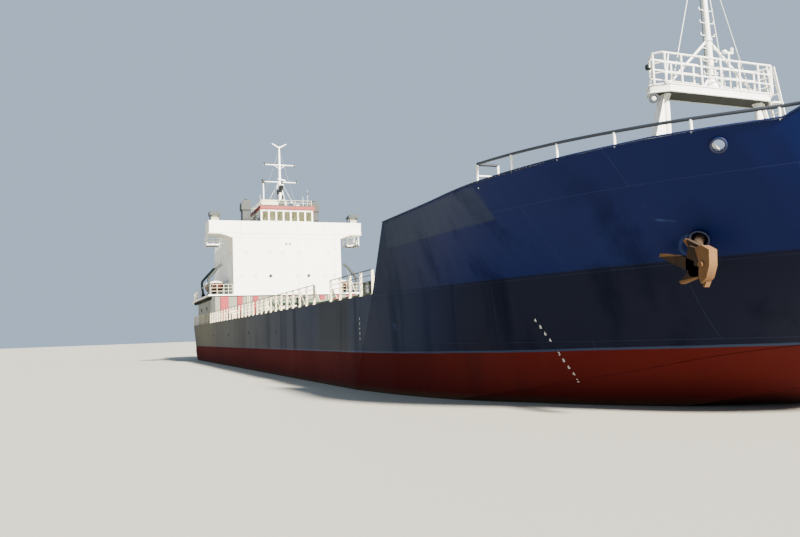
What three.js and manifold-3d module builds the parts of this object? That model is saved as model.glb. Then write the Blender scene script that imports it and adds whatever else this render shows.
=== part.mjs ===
// Coastal tanker, deckhouse aft, as a 1:10 scale model afloat in ballast.
// Sizes are metres of the full-size ship; addPiece turns them into millimetres of the model.
// +X points to the bow, +Y to port, +Z up; z = 0 is the water, midway along the ship.
import * as THREE from 'three';
import { mergeVertices } from 'three/addons/utils/BufferGeometryUtils.js';
import Module from 'manifold-3d';

const wasm = await Module();
wasm.setup();

// Driving dimensions
const metre = 100;
const seat = 0.003;
const clearance = 0.05;
const draught = 1.5;
const keelZ = -draught;
const halfBeam = 8.06;
const deckZ = 5.37 - draught;
const sternX = -45;
const plateThickness = 0.08;

// Raised forecastle
const forecastleAftX = 33;
const forecastleDeckZ = 7.45 - draught;
const bulwarkTopZ = 8.0 - draught;
const bowRailAftZ = 8.52 - draught;
const bowRailForeZ = 8.36 - draught;

// Foremast
const platformForeX = 34.43;
const portalDepth = 0.75;
const portalX = platformForeX - portalDepth / 2;
const platformHalfWidth = 2.28;
const platformFlare = 0.2;
const platformBottomZ = 10.79 - draught;
const platformTopZ = 11.08 - draught;
const foremastTopZ = 16.4 - draught;

// Main deck
const railHeight = 1.0;
const railPitch = 3.08;
const gangwayForeX = 18;
const gangwayAftX = 15;
const plateAftX = 24;
const manifoldX = -2.4;
const pipeRackForeX = 17;
const pipeRackAftX = -21.6;

// Poop and accommodation
const houseFrontX = -24.4;
const houseAftX = -38;
const poopDeckZ = 8.05 - draught;
const poopDeckThickness = 0.14;
const houseHalfWidth = 5.67;
const houseTopZ = 13.95 - draught;
const bridgeDeckZ = 14.4 - draught;
const wingAftX = -27.2;
const bridgeBulwarkTopZ = 15.64 - draught;
const wheelhouseHalfWidth = 2.76;
const wheelhouseAftX = -30.2;
const windowSillZ = 15.7 - draught;
const windowHeadZ = 16.75 - draught;
const wheelhouseTopZ = 16.92 - draught;
const roofTopZ = 17.38 - draught;
const wallThickness = 0.1;
const mastX = -27.6;
const radarMastTopZ = 24.7 - draught;
const railSetback = 0.08;
const postHalf = 0.035;

const paint = (color, roughness, metalness = 0) =>
  new THREE.MeshStandardMaterial({ color, roughness, metalness });
const hullBlue = paint(0x14284f, 0.5);
const deckGreen = paint(0x4a5440, 0.8);
const whitePaint = paint(0xe8e6dc, 0.5);
const creamPaint = paint(0xdcd6c2, 0.55);
const orangeRed = paint(0xc85a3c, 0.6);
const rustedSteel = paint(0x9a7048, 0.85, 0.2);
const darkGrey = paint(0x3a403c, 0.7);
const boatRed = paint(0x5a2a22, 0.75);
const bronze = paint(0x9c7c3c, 0.4, 0.8);
const antifoulingRed = paint(0x6a2a20, 0.8);

const ship = new THREE.Group();

// Closed solids from three.js geometries
function toSolid(geometry) {
  const bare = geometry.clone();
  bare.deleteAttribute('normal');
  bare.deleteAttribute('uv');
  const merged = mergeVertices(bare, 1e-6);
  const numProp = 3;
  const vertProperties = new Float32Array(merged.attributes.position.array);
  const triVerts = new Uint32Array(merged.index.array);
  return new wasm.Manifold(new wasm.Mesh({ numProp, vertProperties, triVerts }));
}

function toGeometry(solid) {
  const mesh = solid.getMesh();
  const geometry = new THREE.BufferGeometry();
  const points = new Float32Array(mesh.vertProperties);
  geometry.setAttribute('position', new THREE.BufferAttribute(points, 3));
  geometry.setIndex(new THREE.BufferAttribute(new Uint32Array(mesh.triVerts), 1));
  return geometry;
}

const joined = (geometries) => geometries.map(toSolid).reduce((sum, next) => sum.add(next));
const without = (solid, cutters) =>
  cutters.map(toSolid).reduce((rest, cutter) => rest.subtract(cutter), solid);

function addPiece(name, shape, material) {
  const geometry = shape.isBufferGeometry ? shape.clone() : toGeometry(shape);
  geometry.scale(metre, metre, metre);
  geometry.computeVertexNormals();
  const mesh = new THREE.Mesh(geometry, material);
  mesh.name = name;
  ship.add(mesh);
}

// A box between two opposite corners
function block(x0, x1, y0, y1, z0, z1) {
  const sizes = [Math.abs(x1 - x0), Math.abs(y1 - y0), Math.abs(z1 - z0)];
  const geometry = new THREE.BoxGeometry(...sizes);
  return geometry.translate((x0 + x1) / 2, (y0 + y1) / 2, (z0 + z1) / 2);
}

// A bar or tapered post from one point to another
function bar(from, to, radius, sides = 4, endRadius = radius) {
  const start = new THREE.Vector3(...from);
  const along = new THREE.Vector3(...to).sub(start);
  const length = along.length();
  const geometry = new THREE.CylinderGeometry(endRadius, radius, length, sides);
  geometry.rotateY(Math.PI / sides);
  geometry.translate(0, length / 2, 0);
  const up = new THREE.Vector3(0, 1, 0);
  geometry.applyQuaternion(new THREE.Quaternion().setFromUnitVectors(up, along.normalize()));
  return geometry.translate(start.x, start.y, start.z);
}

// A closed skin over rings of points that all have the same count
function loft(rings) {
  const count = rings[0].length;
  const faces = [];
  for (let i = 0; i < rings.length - 1; i += 1) {
    for (let j = 0; j < count; j += 1) {
      const a = i * count + j;
      const b = i * count + (j + 1) % count;
      faces.push(a, b, b + count, a, b + count, a + count);
    }
  }
  const last = (rings.length - 1) * count;
  for (let j = 1; j < count - 1; j += 1) {
    faces.push(0, j + 1, j, last, last + j, last + j + 1);
  }
  const points = rings.flat();
  const at = (index) => new THREE.Vector3(...points[index]);
  let volume = 0;
  for (let k = 0; k < faces.length; k += 3) {
    volume += at(faces[k]).dot(at(faces[k + 1]).cross(at(faces[k + 2])));
  }
  const geometry = new THREE.BufferGeometry();
  geometry.setAttribute('position', new THREE.Float32BufferAttribute(points.flat(), 3));
  geometry.setIndex(volume < 0 ? faces.reverse() : faces);
  return geometry;
}

// A smooth line through chosen points, cut into equal steps between them
function fairLine(points, steps) {
  const curve = new THREE.CatmullRomCurve3(points.map((p) => new THREE.Vector3(...p)), false, 'centripetal');
  return curve.getPoints(steps).map((p) => [p.x, p.y, p.z]);
}

const mirrored = ([x, y, z]) => [x, -y, z];
const sides = [{ name: 'starboard', sign: -1 }, { name: 'port', sign: 1 }];

// Hull lines of the port side as [x, y, z], from the transom to the stem
const sternLines = {
  keel: [[sternX, 0.5, 1.7], [-43, 0.5, 1.45], [-40.8, 0.5, 1.15], [-37.5, 0.5, 0.2], [-34, 0.5, -0.9]],
  lowChine: [[sternX, 5.7, 1.75], [-43, 6.3, 1.5], [-40.8, 6.7, 1.2], [-37.5, 7, 0.3], [-34, 7.2, -0.85]],
  highChine: [[sternX, 6.4, 2.1], [-43, 7, 1.9], [-40.8, 7.5, 1.6], [-37.5, 7.9, 0.8], [-34, 8.04, -0.2]],
  deck: [[sternX, 6.7, deckZ], [-43, 7.3, deckZ], [-40.8, 7.8, deckZ], [-37.5, 8.02, deckZ],
  [-34, 8.06, deckZ]],
};
const middleLines = {
  keel: [[-29, 0.5, keelZ], [17, 0.5, keelZ]],
  lowChine: [[-29, 7.3, keelZ], [19, 7.3, keelZ]],
  highChine: [[-29, halfBeam, -0.75], [21, halfBeam, -0.75]],
  deck: [[-29, halfBeam, deckZ], [24, halfBeam, deckZ]],
};
const bowLines = {
  keel: [[21, 0.5, keelZ], [25, 0.5, -1.45], [28.5, 0.5, -1.25], [31.5, 0.5, -0.95],
    [34, 0.4, -0.6], [35.6, 0.2, -0.25], [36.4, 0.08, 0]],
  lowChine: [[23, 7.05, -1.42], [27, 6.35, -1.2], [30.2, 5.3, -0.85], [33, 4.0, -0.4],
    [35.2, 2.8, 0.06], [37, 1.45, 0.46], [38, 0.08, 0.64]],
  highChine: [[25, 7.65, -0.5], [29, 6.7, 0.08], [32, 5.5, 0.57], [34.8, 4.3, 1.04],
    [36.9, 3.15, 1.46], [38.8, 1.5, 1.75], [39.7, 0.08, 1.83]],
  deck: [[28, 7.2, deckZ], [32, 6.3, deckZ], [35, 5.45, deckZ], [38, 4.25, deckZ],
    [40.3, 3.1, deckZ], [42, 1.6, deckZ], [42.8, 0.08, deckZ]],
};
const bulwarkLine = [[25.4, halfBeam, bulwarkTopZ], [29.4, halfBeam, bulwarkTopZ],
  [33, halfBeam, bulwarkTopZ], [36, 7.3, 6.55], [38.8, 5.75, 6.66], [41.2, 3.9, 7.05],
  [43.8, 1.7, 7.2], [45, 0.08, 7.25]];

const bowSteps = 28;
const sternSteps = 8;

function hullLine(name) {
  const stern = fairLine([...sternLines[name], middleLines[name][0]], sternSteps);
  const bow = fairLine([middleLines[name][1], ...bowLines[name]], bowSteps);
  return [...stern, ...bow];
}

// Propeller and rudder
const shaftZ = -0.3;
const skeg = { foreX: -29, aftX: -39.6, foreZ: keelZ - 0.001, aftZ: -1.3, topZ: 1.3, halfWidth: 0.22 };
const boss = { foreX: -36, aftX: -39.9, radius: 0.42, endRadius: 0.3 };
const propeller = { x: -40.35, radius: 1.05, hubLength: 0.45, hubRadius: 0.26, hubEnd: 0.14, count: 4,
  thick: 0.12, chord: 0.62, span: 0.86, pitch: 0.5, root: 0.46 };
const rudder = { stockX: -42.4, stockRadius: 0.14, trunkRadius: 0.24, trunkZ: 1.15, trunkTopZ: 1.9,
  bottomZ: -1.3, topZ: 0.98, stockFootZ: 0.9,
  outline: [[0.55, 0.0], [0.3, 0.16], [-0.6, 0.12], [-1.35, 0.02], [-1.35, -0.02], [-0.6, -0.12],
  [0.3, -0.16]] };

function makeHull() {
  const lines = ['keel', 'lowChine', 'highChine', 'deck'].map(hullLine);
  const rings = lines[0].map((_, i) => {
    const half = lines.map((line) => line[i]);
    return [...half, ...half.map(mirrored).reverse()];
  });
  const skegRing = (x, z) => [[x, skeg.halfWidth, z], [x, skeg.halfWidth, skeg.topZ],
    [x, -skeg.halfWidth, skeg.topZ], [x, -skeg.halfWidth, z]];
  const fin = loft([skegRing(skeg.foreX, skeg.foreZ), skegRing(skeg.aftX, skeg.aftZ)]);
  const tube = bar([boss.foreX, 0, shaftZ], [boss.aftX, 0, shaftZ], boss.radius, 12, boss.endRadius);
  const { stockX, trunkRadius, trunkZ, trunkTopZ } = rudder;
  const trunk = bar([stockX, 0, trunkZ], [stockX, 0, trunkTopZ], trunkRadius, 12);
  return joined([loft(rings), fin, tube, trunk]);
}

function makePropeller() {
  const hub = bar([boss.aftX - seat, 0, shaftZ], [propeller.x - propeller.hubLength, 0, shaftZ],
    propeller.hubRadius, 12, propeller.hubEnd);
  const blades = Array.from({ length: propeller.count }, (_, i) => {
    const blade = new THREE.SphereGeometry(0.5, 8, 6);
    blade.scale(propeller.thick, propeller.chord, propeller.span);
    blade.rotateZ(propeller.pitch);
    blade.translate(0, 0, propeller.radius - propeller.root);
    blade.rotateX((i * 2 * Math.PI) / propeller.count);
    return blade.translate(propeller.x, 0, shaftZ);
  });
  return joined([hub, ...blades]);
}

function makeRudder() {
  const ring = (z) => rudder.outline.map(([x, y]) => [rudder.stockX + x, y, z]);
  const blade = loft([ring(rudder.bottomZ), ring(rudder.topZ)]);
  const stock = bar([rudder.stockX, 0, rudder.stockFootZ], [rudder.stockX, 0, rudder.trunkZ - seat],
    rudder.stockRadius, 10);
  return joined([blade, stock]);
}

// Forecastle block, bulwark and the tall side plates behind it
const stemX = 42;
const flare = { past: 0.02, aftShift: 1, stemFactor: 1.6, halfGap: 0.03 };
const far = 12;

// Sheer of the bow bulwark: level up to a step, then rising to the stem's own height
const sheer = { levelZ: 8.115 - draught, stepX: 40.45, slope: 0.585, aftX: 38, foreX: 41.45 };
const sheerZ = (x) => sheer.levelZ + Math.max(0, x - sheer.stepX) * sheer.slope;

function makeSheerCut() {
  const outline = [[sheer.aftX, sheer.levelZ], [sheer.stepX, sheer.levelZ],
    [sheer.foreX, sheerZ(sheer.foreX)],
    [sheer.foreX, far], [sheer.aftX, far]];
  return loft([-far, far].map((y) => outline.map(([x, z]) => [x, y, z])));
}

// Top edge of the bulwark: the fair line, brought down the flare where the sheer cuts it
function bulwarkEdge() {
  const foot = fairLine([middleLines.deck[1], ...bowLines.deck], 2 * bowSteps);
  return fairLine(bulwarkLine, 2 * bowSteps).map((top, i) => {
    const share = Math.min(1, (sheerZ(top[0]) - foot[i][2]) / (top[2] - foot[i][2]));
    return foot[i].map((value, axis) => value + (top[axis] - value) * share);
  });
}

// Skin of the flared bow; an inset one runs a little past the outer one, so that it cuts clean through
function flareSkin(inset) {
  const foot = fairLine([middleLines.deck[1], ...bowLines.deck], bowSteps);
  const top = fairLine(bulwarkLine, bowSteps);
  const past = inset > 0 ? flare.past : 0;
  const rings = foot.map((low, i) => {
    const shift = i === 0 && inset > 0 ? -flare.aftShift : 0;
    const moved = ([x, y, z], lift) =>
      [(x > stemX ? x - inset * flare.stemFactor : x) + shift, Math.max(y - inset, flare.halfGap), z + lift];
    const half = [moved(low, seat - past), moved(top[i], past)];
    return [...half, ...half.map(mirrored).reverse()];
  });
  return toSolid(loft(rings));
}

function makeBow() {
  const outer = flareSkin(0);
  const inner = flareSkin(plateThickness);
  const past = 50;
  const region = (x0, x1, y0, y1, z0, z1) => toSolid(block(x0, x1, y0, y1, z0, z1));
  const ahead = region(forecastleAftX, past, -far, far, 0, forecastleDeckZ);
  const above = region(forecastleAftX, past, -far, far, forecastleDeckZ + seat, far);
  const shell = outer.subtract(inner);
  const hawseHoles = sides.map(({ sign }) => hawseBore(sign));
  addPiece('forecastle', without(outer.intersect(ahead), hawseHoles), hullBlue);
  const bulwarkCuts = [makeSheerCut(), ...sides.map(({ sign }) => chockHole(sign))];
  addPiece('bow_bulwark', without(shell.intersect(above), bulwarkCuts), hullBlue);
  for (const { name, sign } of sides) {
    const reach = sign < 0 ? [-far, -1] : [1, far];
    const behind = region(0, forecastleAftX - seat, ...reach, 0, far);
    addPiece(`side_plate_${name}`, shell.intersect(behind), hullBlue);
  }
}

// Panama chock in the bulwark, and the hawse pipe below it
const chock = { x: 39.35, y: 5.3, z: 6.28, radius: 0.16, along: 0.5, through: 1 };
const hawse = { x: 37.95, y: 4.6, z: 4.35, radius: 0.3, lip: 0.16, bore: 0.21, inside: -0.6, borePast: 1,
  floor: 0.1, passage: 1.1 };

function chockHole(sign) {
  const { x, y, z, along, through } = chock;
  return bar([x - along, sign * (y - through), z], [x + along, sign * (y + through), z], chock.radius, 12);
}

const hawseOut = (sign) => new THREE.Vector3(0.35, sign * 0.72, -0.6).normalize();
const hawseCentre = (sign) => new THREE.Vector3(hawse.x, sign * hawse.y, hawse.z);

function hawsePoint(sign, distance) {
  return hawseCentre(sign).addScaledVector(hawseOut(sign), distance).toArray();
}

function hawseBore(sign) {
  return bar(hawsePoint(sign, -hawse.passage), hawsePoint(sign, hawse.borePast), hawse.radius, 14);
}

function makeHawsePipe(sign) {
  const pipe = toSolid(bar(hawsePoint(sign, hawse.inside), hawsePoint(sign, hawse.lip), hawse.radius - seat,
    14));
  const bore = bar(hawsePoint(sign, hawse.inside + hawse.floor), hawsePoint(sign, hawse.borePast), hawse.bore,
    12);
  return without(pipe, [bore]);
}

// Stockless anchor housed with its crown forward; both flukes point aft, one above the other
const anchorCrown = { ahead: 0.42, out: 0.5, high: -0.22, middle: -0.55, low: -0.92, radius: 0.2, lean: 0.1 };
const anchorFluke = { reach: 1.25, radius: 0.19, tip: 0.05, inset: 0.05, out: 0.15, droop: 0.8 };
const anchorShank = { inside: -0.45, outside: 0.5, radius: 0.12, neckRadius: 0.13, collarEnd: 0.34,
  collarRadius: 0.26 };

function makeAnchor(sign) {
  const at = (ahead, out, rise) => [hawse.x + ahead, sign * (hawse.y + out), hawse.z + rise];
  const { ahead, out, high, middle, low } = anchorCrown;
  const shank = bar(hawsePoint(sign, anchorShank.inside), hawsePoint(sign, anchorShank.outside),
    anchorShank.radius, 8);
  const neck = bar(hawsePoint(sign, anchorShank.outside - 0.1), at(ahead, out, middle),
    anchorShank.neckRadius, 8);
  const shoulder = bar(hawsePoint(sign, hawse.lip + seat), hawsePoint(sign, anchorShank.collarEnd),
    anchorShank.collarRadius, 10);
  const crown = bar(at(ahead, out, high), at(ahead + anchorCrown.lean, out, low), anchorCrown.radius, 8);
  const flukes = [high - anchorFluke.inset, low + anchorFluke.inset].map((rise) => bar(
    at(ahead, out, rise), at(ahead - anchorFluke.reach, out + anchorFluke.out, rise * anchorFluke.droop),
    anchorFluke.radius, 6, anchorFluke.tip));
  return joined([shank, neck, shoulder, crown, ...flukes]);
}

// Open railing: square posts and bars along a path of [x, y] corners
const barHeights = [0.33, 0.61, railHeight];
const barRadius = 0.032;

const railPost = (x, y, floorZ, height) => block(x - postHalf, x + postHalf, y - postHalf, y + postHalf,
  floorZ + seat, floorZ + height + barRadius - 0.002);

function railing(path, floorZ, pitch = railPitch, heights = barHeights) {
  const pieces = [];
  for (let i = 0; i < path.length - 1; i += 1) {
    const [x0, y0] = path[i];
    const [x1, y1] = path[i + 1];
    const run = Math.hypot(x1 - x0, y1 - y0);
    const spans = Math.max(1, Math.round(run / pitch));
    for (let k = i === 0 ? 0 : 1; k <= spans; k += 1) {
      const x = x0 + ((x1 - x0) * k) / spans;
      const y = y0 + ((y1 - y0) * k) / spans;
      pieces.push(railPost(x, y, floorZ, heights.at(-1)));
    }
    for (const height of heights) {
      pieces.push(bar([x0, y0, floorZ + height], [x1, y1, floorZ + height], barRadius));
    }
  }
  return joined(pieces);
}

// A square bar swept along points, mitred in plan
function sweep(points, radius) {
  const rings = points.map((point, i) => {
    const before = new THREE.Vector3(...points[Math.max(i - 1, 0)]);
    const after = new THREE.Vector3(...points[Math.min(i + 1, points.length - 1)]);
    const along = after.sub(before).normalize();
    const [x, y, z] = point;
    const across = [-along.y * radius, along.x * radius];
    return [[x + across[0], y + across[1], z - radius], [x + across[0], y + across[1], z + radius],
      [x - across[0], y - across[1], z + radius], [x - across[0], y - across[1], z - radius]];
  });
  return loft(rings);
}

// Rail that stands on the forecastle bulwark, with a short return across the deck at its after end
const bowRailPostXs = [33.14, 34.6, 36.05, 37.45, 38.93, 40.3];

function pointAtX(line, x) {
  const i = line.findIndex((point) => point[0] >= x);
  const share = (x - line[i - 1][0]) / (line[i][0] - line[i - 1][0]);
  return line[i].map((value, axis) => line[i - 1][axis] + (value - line[i - 1][axis]) * share);
}

const bowRail = { aftX: forecastleAftX + 0.1, foreX: 40.75, inboard: 0.05, returnLength: 0.74, bend: 0.15,
  radius: 0.045, cap: 0.012 };

// The handrail runs straight, and comes down to the bulwark where the sheer rises
function bowRailZ(x) {
  const share = (x - bowRail.aftX) / (bowRail.foreX - bowRail.aftX);
  return bowRailAftZ + (bowRailForeZ - bowRailAftZ) * share;
}

function makeBowRail(sign) {
  const edge = bulwarkEdge();
  const { aftX, foreX, bend, inboard } = bowRail;
  const top = edge.filter(([x]) => x > aftX + 2 * bend && x < foreX).concat([pointAtX(edge, foreX)]);
  const corner = halfBeam - inboard;
  const end = corner - bowRail.returnLength;
  const path = [[aftX, end], [aftX, corner - bend], [aftX + bend, corner],
    ...top.map(([x, y]) => [x, y - inboard])];
  const rail = sweep(path.map(([x, y]) => [x, sign * y, bowRailZ(x)]), bowRail.radius);
  const post = (x, y, z) => block(x - postHalf, x + postHalf, y - postHalf, y + postHalf, z, bowRailZ(x));
  const posts = bowRailPostXs.map((x) => {
    const [, y, z] = pointAtX(edge, x);
    return post(x, sign * (y - inboard), z + bowRail.cap);
  });
  posts.push(post(aftX, sign * (end + 0.05), forecastleDeckZ + seat));
  return joined([rail, ...posts]);
}

// Foremast: two splayed legs, a box platform, pole, braces and ladder
const portalLeg = { inner: 1.62, headInner: 1.6, outer: 3.05, headOuter: 1.97, halfDepth: 0.2, insert: 0.1 };
const platformRail = { inset: 0.06, pitch: 1.48 };
const foremastPole = { footHeight: 0.35, footRadius: 0.3, footEnd: 0.14, radius: 0.11, tipRadius: 0.06,
  rake: 0.1,
  braceZ: 12.75 - draught, braceY: 1.5, braceRadius: 0.04, yardZ: 14.6 - draught, yardHalf: 0.75,
  yardRadius: 0.04 };
const ladder = { out: 0.06, spread: 1.25, rise: 1.0, halfWidth: 0.22, stringRadius: 0.04, rungRadius: 0.025,
  rungs: 10, stepDepth: 0.15, stepThick: 0.06, stepReach: 0.4 };

function makePortal() {
  const legs = sides.map(({ sign }) => {
    const ring = (z, inner, outer) => [
      [portalX - portalLeg.halfDepth, sign * inner, z], [portalX + portalLeg.halfDepth, sign * inner, z],
      [portalX + portalLeg.halfDepth, sign * outer, z], [portalX - portalLeg.halfDepth, sign * outer, z]];
    return loft([ring(forecastleDeckZ + seat, portalLeg.inner, portalLeg.outer),
      ring(platformBottomZ + portalLeg.insert, portalLeg.headInner, portalLeg.headOuter)]);
  });
  const aftX = platformForeX - portalDepth;
  const outline = (z) => [[platformForeX, -platformHalfWidth, z], [platformForeX, platformHalfWidth, z],
    [portalX, platformHalfWidth + platformFlare, z], [aftX, platformHalfWidth + platformFlare, z],
    [aftX, -platformHalfWidth - platformFlare, z], [portalX, -platformHalfWidth - platformFlare, z]];
  return joined([...legs, loft([outline(platformBottomZ), outline(platformTopZ)])]);
}

function makePlatformRail() {
  const halfDepth = portalDepth / 2 - platformRail.inset;
  const edge = platformHalfWidth - platformRail.inset;
  const path = [[-halfDepth, edge], [-halfDepth, -edge], [halfDepth, -edge], [halfDepth, edge],
    [-halfDepth, edge]];
  return railing(path.map(([x, y]) => [portalX + x, y]), platformTopZ, platformRail.pitch);
}

function makeForemastPole() {
  const pole = foremastPole;
  const foot = bar([portalX, 0, platformTopZ + seat], [portalX, 0, platformTopZ + pole.footHeight],
    pole.footRadius, 12, pole.footEnd);
  const spar = bar([portalX, 0, platformTopZ + pole.footHeight - 0.05],
    [portalX - pole.rake, 0, foremastTopZ],
    pole.radius, 10, pole.tipRadius);
  const braces = sides.map(({ sign }) => bar([portalX, sign * pole.braceY, platformTopZ + 0.035],
    [portalX - 0.03, 0, pole.braceZ], pole.braceRadius, 6));
  const yardX = portalX - pole.rake - 0.02;
  const yard = bar([yardX, -pole.yardHalf, pole.yardZ], [yardX, pole.yardHalf, pole.yardZ], pole.yardRadius,
    6);
  return joined([foot, spar, ...braces, yard]);
}

function makeForemastLadder() {
  const edge = platformHalfWidth + platformFlare;
  const x = portalX - 0.1;
  const top = [edge + ladder.out, platformTopZ + ladder.rise];
  const foot = [platformHalfWidth + ladder.spread, forecastleDeckZ + 0.013];
  const strings = [-ladder.halfWidth, ladder.halfWidth].map((offset) =>
    bar([x + offset, ...foot], [x + offset, ...top], ladder.stringRadius));
  const stepTop = platformTopZ - ladder.stepDepth;
  const step = block(x - ladder.halfWidth - 0.02, x + ladder.halfWidth + 0.02, edge + seat,
    edge + ladder.stepReach,
    stepTop - ladder.stepThick, stepTop);
  const rungs = Array.from({ length: ladder.rungs - 1 }, (_, i) => {
    const [y, z] = foot.map((value, axis) => value + ((top[axis] - value) * (i + 1)) / ladder.rungs);
    return bar([x - ladder.halfWidth, y, z], [x + ladder.halfWidth, y, z], ladder.rungRadius);
  });
  return joined([...strings, step, ...rungs]);
}

// Windlass: a bed with two bearings, and a shaft with gypsies and warping heads
const windlass = { x: 37.4, z: forecastleDeckZ + 0.85, halfWidth: 2.0, bedHalf: 0.7, bedReach: 1.35,
  bedHeight: 0.18,
  bearingYs: [-1.2, -0.45, 0.45, 1.2], bearingHalf: 0.22, bearingThick: 0.09, bearingRise: 0.2,
  gearAft: 0.65, gearFore: 0.3, gearHalf: 0.4, gearRise: 0.35, shaftRadius: 0.1,
  drums: [[0.62, 1.0, 0.36], [1.4, 1.95, 0.24], [1.9, 2.0, 0.32]] };

function makeWindlassBed() {
  const { x, z, bedHalf, bedReach, bearingHalf, bearingThick, gearHalf } = windlass;
  const floor = forecastleDeckZ + seat;
  const bed = block(x - bedHalf, x + bedHalf, -bedReach, bedReach, floor, floor + windlass.bedHeight);
  const bearings = windlass.bearingYs.map((y) => block(x - bearingHalf, x + bearingHalf,
    y - bearingThick, y + bearingThick, floor + 0.1, z + windlass.bearingRise));
  const gearcase = block(x - windlass.gearAft, x - windlass.gearFore, -gearHalf, gearHalf, floor + 0.1,
    z + windlass.gearRise);
  const bore = bar([x, -windlass.halfWidth, z], [x, windlass.halfWidth, z], windlass.shaftRadius + seat * 2,
    12);
  return without(joined([bed, ...bearings, gearcase]), [bore]);
}

function makeWindlassShaft() {
  const drum = (y0, y1, radius) => bar([windlass.x, y0, windlass.z], [windlass.x, y1, windlass.z], radius,
    12);
  const drums = sides.flatMap(({ sign }) => windlass.drums.map(([y0, y1, radius]) =>
    drum(sign * y0, sign * y1, radius)));
  return joined([drum(-windlass.halfWidth, windlass.halfWidth, windlass.shaftRadius), ...drums]);
}

// Mooring bitts: two posts on a plate
const bitts = { x: 34.6, y: 6.1, halfLength: 0.75, halfWidth: 0.25, plate: 0.06, apart: 0.45, height: 0.72,
  radius: 0.16, capRadius: 0.2, capDepth: 0.07 };

function makeBitts(sign) {
  const { x, halfLength, halfWidth, height } = bitts;
  const y = sign * bitts.y;
  const floorZ = forecastleDeckZ;
  const plate = block(x - halfLength, x + halfLength, y - halfWidth, y + halfWidth, floorZ + seat,
    floorZ + bitts.plate);
  const posts = [-bitts.apart, bitts.apart].flatMap((dx) => [
    bar([x + dx, y, floorZ + bitts.plate / 2], [x + dx, y, floorZ + height - 0.02], bitts.radius, 12),
    bar([x + dx, y, floorZ + height - bitts.capDepth], [x + dx, y, floorZ + height], bitts.capRadius, 12)]);
  return joined([plate, ...posts]);
}

// Cargo pipes along the deck, and the crossing manifold with a flange at each side
const pipeYs = [-1.15, -0.55, 0.55, 1.15];
const manifoldXs = [manifoldX - 1.2, manifoldX, manifoldX + 1.2];
const pipeRack = { height: deckZ + 0.5, radius: 0.14, spans: 5, endRoom: 0.4, halfWidth: 1.4, postY: 1.3,
  legHalf: 0.07, beamDepth: 0.2, beamTop: 0.08, beamHalf: 0.08 };
const manifold = { height: deckZ + 0.88, reach: halfBeam - 1.7, radius: 0.13, standInset: 0.6,
  standHalf: 0.07,
  standRoom: 0.3, legRoom: 0.22, beamDepth: 0.2, beamTop: 0.05, flangeRadius: 0.22, flangeHalf: 0.055 };

function makeCargoPipes() {
  const { height, legHalf, beamHalf } = pipeRack;
  const lines = pipeYs.map((y) => bar([pipeRackAftX, y, height], [pipeRackForeX, y, height], pipeRack.radius,
    8));
  const frames = [];
  for (let i = 0; i <= pipeRack.spans; i += 1) {
    const run = pipeRackForeX - pipeRackAftX - 2 * pipeRack.endRoom;
    const x = pipeRackAftX + pipeRack.endRoom + (run * i) / pipeRack.spans;
    frames.push(block(x - beamHalf, x + beamHalf, -pipeRack.halfWidth, pipeRack.halfWidth,
      height - pipeRack.beamDepth, height - pipeRack.beamTop));
    for (const y of [-pipeRack.postY, pipeRack.postY]) {
      frames.push(block(x - legHalf, x + legHalf, y - legHalf, y + legHalf, deckZ + seat, height - 0.1));
    }
  }
  return joined([...lines, ...frames]);
}

function makeManifold() {
  const { height, reach, standHalf, standRoom, legRoom } = manifold;
  const pieces = manifoldXs.map((x) => bar([x, -reach, height], [x, reach, height], manifold.radius, 10));
  for (const { sign } of sides) {
    const y = sign * (reach - manifold.standInset);
    pieces.push(block(manifoldXs[0] - standRoom, manifoldXs[2] + standRoom, y - standHalf, y + standHalf,
      height - manifold.beamDepth, height - manifold.beamTop));
    for (const x of [manifoldXs[0] - legRoom, manifoldXs[2] + legRoom]) {
      pieces.push(block(x - standHalf, x + standHalf, y - standHalf, y + standHalf, deckZ + seat,
        height - 0.1));
    }
    for (const x of manifoldXs) {
      pieces.push(bar([x, sign * (reach - manifold.flangeHalf + 0.005), height],
        [x, sign * (reach + manifold.flangeHalf + 0.005), height], manifold.flangeRadius, 12));
    }
  }
  return joined(pieces);
}

// Tank hatches: a round coaming with a hinged lid
const hatches = [{ number: 1, x: 11.5 }, { number: 2, x: -13.5 }];
const hatchY = 3.7;
const coamingHeight = 0.6;
const lidHinge = { x: -0.75, z: deckZ + coamingHeight + 0.06 };

const coaming = { radius: 0.62, boreRadius: 0.54, wellFloor: 0.12, lugAft: 0.82, lugFore: 0.58, lugHalf: 0.2,
  lugFoot: 0.35, earApart: 0.15, earHalf: 0.05 };
const lid = { radius: 0.66, thick: 0.09, strapHalf: 0.07, strapThick: 0.05, knuckleHalf: 0.097,
  knuckleRadius: 0.05 };

function makeCoaming(x, y) {
  const { earHalf } = coaming;
  const top = deckZ + coamingHeight;
  const outer = toSolid(bar([x, y, deckZ + seat], [x, y, top], coaming.radius, 20));
  const well = bar([x, y, deckZ + coaming.wellFloor], [x, y, top + 0.4], coaming.boreRadius, 20);
  const lug = block(x - coaming.lugAft, x - coaming.lugFore, y - coaming.lugHalf, y + coaming.lugHalf,
    deckZ + coaming.lugFoot, top - 0.03);
  const earX = x + lidHinge.x;
  const ears = [-coaming.earApart, coaming.earApart].map((dy) => block(earX - earHalf, earX + earHalf,
    y + dy - earHalf, y + dy + earHalf, top - 0.05, lidHinge.z + earHalf));
  return without([lug, ...ears].map(toSolid).reduce((sum, next) => sum.add(next), outer), [well]);
}

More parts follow.
